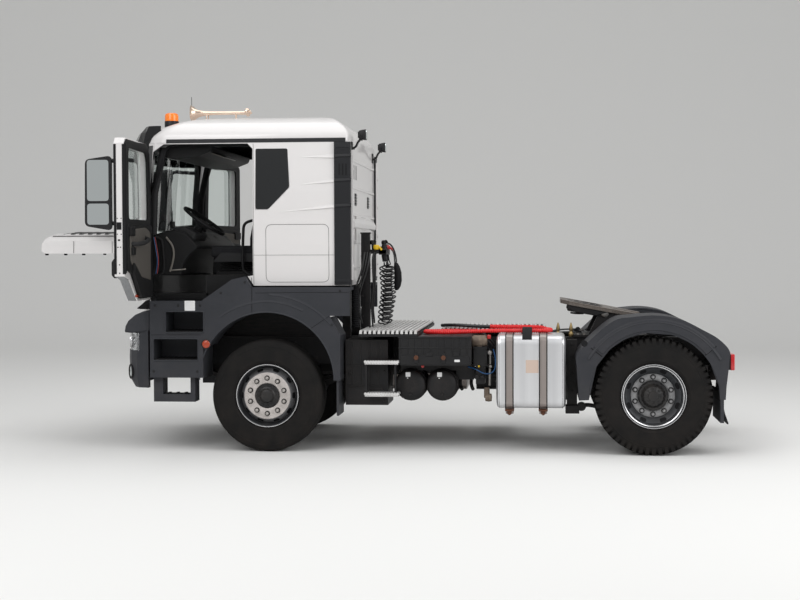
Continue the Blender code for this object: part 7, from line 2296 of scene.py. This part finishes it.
    def hose(self) -> None:
        """Lays the red sleeved hose along the deck and over the tank, with its black lead."""
        route = smooth_route(self.hose_route, 48)
        tube = Solid().sweep(route, self.hose_radius - 0.0034, 12,
                             wave=lambda run: 1.0 + 0.18 * math.sin(2 * math.pi * run / 0.020))
        made = place("red_hose_sleeve", tube, HOSE_RED, "chassis", smooth=80, stands_for=["red_hose"])
        lead = smooth_route([(1.60, -0.36, 1.158), (1.66, -0.46, 1.165), (1.78, -0.55, 1.168), (1.95, -0.585, 1.160),
                             (2.15, -0.60, 1.156), (2.38, -0.605, 1.155), (2.56, -0.60, 1.150), (2.62, -0.60, 1.1326)],
                            12)
        black = Solid().sweep(lead, 0.0165, 12)
        carried = place("hose_lead", black, CABLE_BLACK, "chassis", smooth=80)
        cover = smooth_route([tuple(p) for p in lead if p[0] > 2.07][::4], 30)
        sleeve = Solid().sweep(cover, 0.0208, 12, wave=lambda run: 1.0 + 0.18 * math.sin(2 * math.pi * run / 0.020))
        red = place("hose_lead_sleeve", sleeve, HOSE_RED, "chassis", smooth=80)
        clamp = Solid()
        clamp.prism("x", [(-0.82, 1.104), (-0.82, 1.166), (-0.93, 1.166), (-1.06, 1.124), (-1.135, 1.086),
                          (-1.150, 1.066), (-1.142, 1.060), (-1.06, 1.106)], 2.395, 2.485)
        place("hose_clamp", clamp, SEAL_AND_SHADE, "chassis", bevel=0.004)

    def air_lines(self) -> None:
        """Builds the post, the couplings and the two coiled lines."""
        post = Solid()
        post.prism("z", tile((0.812, -0.48), (0.898, -0.398), 0.008, 3), 1.133, 2.068)
        post.box((0.852, -0.4855, 1.30), (0.894, -0.4785, 2.05))
        post.box((0.806, -0.485, 2.060), (0.904, -0.39, 2.074))
        for z in (1.25, 1.45, 1.65, 1.84):
            screws(post, [(0.8255, -0.4795, z)], 0.010, 0.010, "y", -1)
        post.box((0.88, -0.45, 1.865), (1.055, -0.42, 1.905))
        post.prism("x", tile((-0.45, 1.855), (-0.06, 1.912), 0.012, 3), 0.985, 1.055)
        for y in (-0.33, -0.10):
            post.lathe([(0.030, -0.01), (0.034, 0.01), (0.026, 0.035), (0.020, 0.052), (0.0, 0.054)],
                       (1.025, y, 1.905), 18, axis="z")
            post.lathe([(0.026, -0.02), (0.026, 0.005), (0.016, 0.06), (0.0, 0.061)], (1.025, y, 1.845), 14, axis="z",
                       sign=-1)
        for x, y in ((0.925, -0.435), (1.018, -0.24)):
            post.bar((x, y, 1.88), (x - 0.004, y, 1.985), 0.011)
            post.lathe([(0.024, -0.03), (0.028, -0.006), (0.020, 0.012), (0.0, 0.014)], (x - 0.004, y, 1.985), 12,
                       axis="z")
            post.bend([(x - 0.004, y, 1.985), (x + 0.018, y - 0.01, 1.995), (x + 0.032, y - 0.015, 1.975)], 4, 0.008,
                      6)
        place("coupling_bracket", post, CHASSIS, "chassis", bevel=0.002, stands_for=["air_line_bracket"])
        steel = Solid()
        for y in (-0.30, -0.12):
            steel.lathe([(0.014, 0.0), (0.020, 0.01), (0.020, 0.024), (0.011, 0.032), (0.0, 0.034)], (0.975, y, 1.905),
                        10, axis="z")
        steel.box((0.955, -0.32, 1.885), (0.990, -0.10, 1.907))
        place("coupling_taps", steel, BRASS, "chassis")
        for finish, name, y, x, z in ((YELLOW, "yellow_coupling", -0.455, 0.960, 1.935),
                                      (RED_PLASTIC, "red_coupling", -0.115, 1.035, 1.930)):
            head = Solid().lathe([(0.0, -0.030), (0.022, -0.030), (0.030, -0.010), (0.030, 0.008), (0.022, 0.016),
                                  (0.0, 0.018)], (x, y, z), 22, axis="z")
            head.bend([(x, y, z), (x + 0.03, y - 0.005, z - 0.006), (x + 0.055, y - 0.01, z - 0.035)], 5, 0.011, 8)
            place(name, head, finish, "chassis", bevel=0.002)
        for index, y in enumerate((-0.33, -0.10), 1):
            path = [Vector((1.025, y, 1.780)), Vector((1.026, y, 1.750))]
            turns, start = 11.5, 1.2 * index
            for leg, (shift, high, low) in enumerate(((-0.012, 1.735, 1.185), (0.018, 1.735, 1.185))):
                count = int(turns * 14)
                for step in range(count + 1):
                    share = step / count
                    share = share if leg == 0 else 1 - share
                    angle = start + leg * 0.9 + 2 * math.pi * turns * share * (1 if leg == 0 else -1)
                    radius = 0.046 + 0.007 * math.sin(9.0 * share + index + leg)
                    bend = 1.045 - 0.075 * max(share - 0.55, 0.0) ** 1.3
                    path.append(Vector((bend + shift + radius * math.cos(angle), y + radius * math.sin(angle) * 0.9,
                                        high + (low - high) * share + 0.012 * math.sin(angle + leg))))
                if leg == 0:
                    last = path[-1]
                    path += [Vector((last.x * 0.5 + 0.51, y + 0.02, 1.172)), Vector((1.030, y - 0.01, 1.166)),
                             Vector((1.060, y - 0.02, 1.172))]
            path += [Vector((1.065, y, 1.76)), Vector((1.050, y, 1.80)), Vector((1.042, y, 1.858))]
            tube = Solid().sweep(path, 0.0072, 7)
            made = place(f"coiled_line_{index}", tube, CABLE_BLACK, "chassis", smooth=80,
                         stands_for=[f"air_coil_{index}"])
        runs = Solid()
        for dy, dx, low in ((0.0, 0.0, 1.14), (0.03, 0.012, 1.20), (0.06, -0.008, 1.26), (0.085, 0.006, 1.18)):
            runs.bend([(0.945 + dx, -0.46 + dy, 1.88), (0.930 + dx, -0.50 + dy, 1.80), (0.935 + dx, -0.49 + dy, 1.55),
                       (0.915 + dx, -0.47 + dy, 1.35), (0.925 + dx, -0.46 + dy, low)], 6, 0.009, 8)
        for dx, y in ((0.0, -0.50), (-0.05, -0.52), (-0.028, -0.49)):
            runs.bend([(0.905 + dx, y, 1.88), (0.875 + dx, y - 0.03, 1.70), (0.815 + dx, y - 0.02, 1.52),
                       (0.790 + dx, y - 0.01, 1.36), (0.825 + dx, y, 1.18)], 6, 0.010, 8)
        place("post_lines", runs, CABLE_BLACK, "chassis")
        bow = Solid().bend([(1.040, -0.245, 1.975), (1.080, -0.20, 1.950), (1.115, -0.21, 1.89), (1.135, -0.23, 1.81),
                            (1.135, -0.24, 1.75), (1.138, -0.245, 1.68)], 7, 0.0080, 8)
        bow.bend([(1.088, -0.128, 1.900), (1.108, -0.17, 1.85), (1.118, -0.20, 1.78), (1.130, -0.235, 1.70)], 7,
                 0.0075, 8)
        place("looped_line", bow, CABLE_BLACK, "chassis")
        red = Solid().bend([(1.080, -0.122, 1.914), (1.092, -0.124, 1.903), (1.104, -0.15, 1.868)], 6, 0.0095, 8)
        place("red_lead_end", red, RED_PLASTIC, "chassis")
        pouch = Solid().rows([[(1.145 + lean + dx * wide, -0.25 + dy * wide, z)
                               for dx, dy in arc((0, 0), 1.0, 0, 330, 11)]
                              for z, wide, lean in ((1.775, 0.006, -0.012), (1.768, 0.020, -0.010),
                                                    (1.735, 0.030, -0.002), (1.68, 0.036, 0.008), (1.60, 0.038, 0.010),
                                                    (1.54, 0.032, 0.004), (1.505, 0.018, -0.006),
                                                    (1.50, 0.006, -0.008))])
        place("coil_wrap", pouch, SEAL_AND_SHADE, "chassis", smooth=60)
        rows = []
        for step in range(81):
            z = 1.565 - 0.40 * step / 80
            radius = 0.036 + 0.005 * math.cos(2 * math.pi * step / 4)
            rows.append([(0.802 + radius * math.cos(a), -0.86 + radius * math.sin(a), z)
                         for a in (2 * math.pi * s / 20 for s in range(20))])
        place("intake_bellows", Solid().rows(rows), SEAL_AND_SHADE, "chassis", smooth=60)

    def build(self) -> None:
        """Builds the middle of the chassis."""
        self.hose()
        self.steps()
        self.valves()
        self.tank()
        self.decks()
        self.air_lines()


@dataclass
class Rear:
    """The fifth wheel's details, the tail and what is bolted to the frame."""

    def fifth(self) -> None:
        """Adds the edge, ribs, grease grooves, handle and bolts of the fifth wheel."""
        turn = Truck.about(Truck.fifth_place, Truck.fifth_tilt)
        px, py, pz = Truck.fifth_place
        rim = Solid()
        for side in (-1, 1):
            rim.sweep([(px - 0.44, side * 0.335, pz + 0.052), (px - 0.345, side * 0.447, pz + 0.052),
                       (px + 0.05, side * 0.447, pz + 0.052), (px + 0.365, side * 0.285, pz + 0.052)], 0.006, 8)
        rim.sweep([(px - 0.438, -0.335, pz + 0.052), (px - 0.438, 0.335, pz + 0.052)], 0.006, 8)
        place("plate_edge", rim, GREASED_PLATE, "fifth_wheel", matrix=turn)
        grooves = Solid()
        for radius in (0.14, 0.22, 0.30, 0.37):
            for low, high in ((100, 172), (188, 260)):
                grooves.sweep([(x, y, pz + 0.0555) for x, y in arc((px, py), radius, low, high, 18)], 0.003, 6)
        place("grease_grooves", grooves, HUB_BLACK, "fifth_wheel", matrix=turn)
        under = Solid()
        for side in (-1, 1):
            for y in (0.14, 0.27, 0.40):
                under.box((px - 0.36, side * y - 0.008, pz - 0.04), (px + 0.10, side * y + 0.008, pz + 0.018))
        under.box((px - 0.30, -0.40, pz - 0.035), (px - 0.28, 0.40, pz + 0.016))
        under.lathe([(0.0, -0.03), (0.052, -0.03), (0.060, -0.01), (0.060, 0.02), (0.0, 0.02)], (px, py, pz - 0.005),
                    28, axis="z")
        under.bend([(px - 0.20, -0.20, pz - 0.045), (px - 0.26, -0.34, pz - 0.05), (px - 0.30, -0.44, pz - 0.05),
                    (px - 0.33, -0.455, pz - 0.05)], 5, 0.010, 8)
        for side in (-1, 1):
            low, high = sorted((side * 0.405, side * 0.438))
            under.prism("y", [(px - 0.352, pz + 0.016), (px - 0.358, pz - 0.012), (px - 0.30, pz - 0.038),
                              (px - 0.08, pz - 0.034), (px + 0.02, pz + 0.0165)], low, high)
        place("plate_ribs", under, CHASSIS, "fifth_wheel", bevel=0.003, matrix=turn)
        base = Solid()
        spots = [(px + dx, side * y, 1.0706) for side in (-1, 1) for y in (0.33, 0.42)
                 for dx in (-0.26, -0.20, 0.22, 0.30)]
        screws(base, spots, 0.014, 0.014, "z", 1)
        for side in (-1, 1):
            base.lathe([(0.036, -0.01), (0.036, 0.012), (0.028, 0.018), (0.0, 0.018)], (px, side * 0.408, pz), 24, "y",
                       side)
        place("base_bolts", base, STEEL, "chassis")
        cones = Solid()
        for x, y in ((2.735, -0.34), (2.86, -0.37)):
            cones.lathe([(0.020, 0.0), (0.024, 0.012), (0.024, 0.03), (0.014, 0.05), (0.020, 0.075), (0.012, 0.11),
                         (0.004, 0.135), (0.0, 0.137)], (x, y, 1.0506), 14, axis="z")
        place("grease_fittings", cones, BRASS, "chassis")
        lines = Solid()
        for y, lift in ((-0.30, 0.0), (-0.24, 0.02), (0.20, 0.0)):
            lines.bend([(2.64, y, 1.062), (2.74, y + 0.02, 1.085 + lift), (2.86, y - 0.02, 1.095 + lift),
                        (2.96, y + 0.03, 1.09)], 6, 0.008, 8)
        place("rear_lines", lines, CABLE_BLACK, "chassis")

    def tail(self) -> None:
        """Builds the tail lamps, their strips and the blank plate."""
        for label, side in SIDES:
            lamp = Solid()
            y0, y1 = sorted((side * 0.797, side * 1.164))
            lamp.prism("x", tile((y0, 0.786), (y1, 0.934), 0.014, 4), 4.2985, 4.3345)
            place(label + "_tail_lamp", lamp, RED_LENS, "chassis", bevel=0.004)
            face = Solid()
            inner, outer = sorted((side * 0.90, side * 0.97))
            face.prism("x", tile((inner, 0.805), (outer, 0.915), 0.008, 3), 4.333, 4.3375)
            place(label + "_tail_amber", face, ORANGE_LENS, "chassis")
            inner, outer = sorted((side * 0.865, side * 0.895))
            place(label + "_tail_white", Solid().prism("x", tile((inner, 0.805), (outer, 0.915), 0.006, 3), 4.333,
                                                       4.3375), LABEL, "chassis")
            # The reflector strip takes the red lens's faint glow: a painted glow, as no lamp lights it.
            strip = Solid().prism("x", rectangle(*sorted(((side * 0.62, 0.80), (side * 0.84, 0.84)))), 4.2965, 4.2985)
            place(label + "_reflector", strip, RED_LENS, "chassis")
        plate = Solid().prism("x", tile((-0.26, 0.805), (0.26, 0.915), 0.006, 3), 4.2965, 4.301)
        place("rear_plate", plate, LABEL, "chassis")
        green = Solid().prism("y", [(4.297, 0.80), (4.330, 0.80), (4.330, 0.90), (4.297, 0.92)], 0.835, 0.85)
        place("green_reflector", green, GREEN_STRIP, "chassis")

    def frame_details(self) -> None:
        """Adds the frame rails' bolts and the clamps round the springs."""
        heads = Solid()
        for side in (-1, 1):
            for x in [-0.9 + 0.21 * s for s in range(25)]:
                for z in (0.84, 0.99):
                    screws(heads, [(x, side * 0.4305, z)], 0.010, 0.009, "y", side)
        place("frame_bolts", heads, CHASSIS, "chassis")
        clamps = Solid()
        for x, z, half, y in ((0.0, 0.70, 0.66, 0.42), (3.6, 0.76, 0.60, 0.505)):
            for side in (-1, 1):
                for dx in (-0.10, 0.10):
                    ring = tile((side * y - 0.052, z - 0.085), (side * y + 0.052, z + 0.05), 0.02, 3)
                    path = [(x + dx, py, pz) for py, pz in ring]
                    clamps.sweep(path + [path[0]], 0.009, 8)
        place("spring_bolts", clamps, STEEL, "chassis")

    def build(self) -> None:
        """Builds the rear."""
        self.fifth()
        self.tail()
        self.frame_details()


# Studio


@dataclass
class Studio:
    """The pale floor, the soft lamps and the camera."""

    camera_place: tuple[float, float, float] = (2.570, -15.145, 1.875)
    yaw: float = 0.0935
    pitch: float = -0.0315
    roll: float = -0.0033
    focal: float = 1505.6
    frame_width: float = 800.0

    def camera(self) -> None:
        """Places the camera as the photograph's."""
        ahead = Vector((-math.sin(self.yaw) * math.cos(self.pitch), math.cos(self.yaw) * math.cos(self.pitch),
                        math.sin(self.pitch)))
        right = Vector((math.cos(self.yaw), math.sin(self.yaw), 0.0))
        up = right.cross(ahead)
        leaned = right * math.cos(self.roll) + up * math.sin(self.roll)
        top = up * math.cos(self.roll) - right * math.sin(self.roll)
        data = bpy.data.cameras.new("camera")
        data.sensor_width = 36.0
        data.lens = self.focal * data.sensor_width / self.frame_width
        data.clip_end = 200.0
        made = bpy.data.objects.new("camera", data)
        turn = Matrix((leaned, top, -ahead)).transposed().to_4x4()
        made.matrix_world = Matrix.Translation(Vector(self.camera_place) + Truck.origin) @ turn
        bpy.context.scene.collection.objects.link(made)
        bpy.context.scene.camera = made

    def floor(self) -> None:
        """Lays a wide pale floor that bends up into a backdrop."""
        mesh = bmesh.new()
        rows = []
        profile = [(-60.0, 0.0), (-20.0, 0.0), (14.0, 0.0)]
        for step in range(1, 13):
            angle = math.pi / 2 * step / 12
            profile.append((14.0 + 8.0 * math.sin(angle), 8.0 - 8.0 * math.cos(angle)))
        profile.append((22.0, 40.0))
        for x in (-70.0, 70.0):
            rows.append([mesh.verts.new((x, y, z)) for y, z in profile])
        for index in range(len(profile) - 1):
            mesh.faces.new((rows[0][index], rows[1][index], rows[1][index + 1], rows[0][index + 1]))
        data = bpy.data.meshes.new("floor")
        mesh.to_mesh(data)
        mesh.free()
        data.shade_smooth()
        data.materials.append(PALE_FLOOR.build())
        made = bpy.data.objects.new("floor", data)
        bpy.context.scene.collection.objects.link(made)

    def lamps(self) -> None:
        """Hangs large soft lamps and sets the even light around them."""
        for name, spot, aim, size, watts in (
                ("front_softbox", (-3.5, -10.0, 8.5), (0.5, 0.0, 1.2), 8.0, 540.0),
                ("rear_softbox", (9.5, -6.0, 6.0), (1.0, 0.0, 1.4), 7.0, 430.0),
                ("top_softbox", (0.8, 0.5, 10.0), (0.8, 0.0, 0.0), 9.0, 330.0)):
            data = bpy.data.lights.new(name, "AREA")
            data.shape = "SQUARE"
            data.size = size
            data.energy = watts
            made = bpy.data.objects.new(name, data)
            made.location = Vector(spot) + Truck.origin
            made.rotation_euler = (Vector(aim) - Vector(spot)).to_track_quat("-Z", "Y").to_euler()
            bpy.context.scene.collection.objects.link(made)
        world = bpy.data.worlds.new("studio_air")
        world.use_nodes = True
        world.node_tree.nodes["Background"].inputs[0].default_value = (1.0, 1.0, 1.0, 1.0)
        world.node_tree.nodes["Background"].inputs[1].default_value = 0.55
        bpy.context.scene.world = world

    def build(self) -> None:
        """Sets the whole studio up."""
        self.camera()
        self.floor()
        self.lamps()
        bpy.context.scene.view_settings.view_transform = "Standard"


def dress_nodes(nodes: Nodes) -> None:
    """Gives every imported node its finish.

    Args:
        nodes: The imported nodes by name.
    """
    for finish, names in ((CAB_PAINT, "cab_shell cab_roof"), (WHITE_PAINT, "front_flap left_door right_door"),
                          (CLADDING, "bumper left_front_fender right_front_fender left_rear_fender right_rear_fender"),
                          (CORNER_BLACK, "left_corner_panel right_corner_panel"),
                          (MOULDING, "battery_box additive_tank left_mirror right_mirror tail_bar work_lamps"),
                          (SMOKED, "sun_visor"),
                          (CHASSIS,
                           "frame front_axle rear_axle left_knuckle right_knuckle engine left_side_steps air_tanks"),
                          (CHASSIS, "air_line_bracket fifth_wheel_base front_deck rear_deck"),
                          (GREASED_PLATE, "fifth_wheel_plate"), (TANK_METAL, "fuel_tank"),
                          (STRAP_METAL, "tank_straps silencer"),
                          (GLASS, "windscreen left_door_glass right_door_glass"),
                          (LAMP_GLASS, "left_headlamp right_headlamp"), (AMBER, "beacon"), (HORN_METAL, "air_horns"),
                          (TRIM_BLACK, "dashboard"), (SEAT_CLOTH, "left_seat right_seat"),
                          (CABLE_BLACK, "air_coil_1 air_coil_2"), (HOSE_RED, "red_hose")):
        paint(nodes, finish, *names.split())


def main() -> None:
    """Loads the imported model, dresses it and sets the studio."""
    logging.basicConfig(level=logging.INFO, format="%(message)s")
    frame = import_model()
    Truck.locate()
    Studio().build()
    dress_nodes(frame["nodes"])
    Wheels().build()
    CabOutside().build()
    Doors().build()
    Inside().build()
    Front().build(frame["nodes"])
    Fenders().build()
    Middle().build()
    Rear().build()


if __name__ == "__main__":
    main()
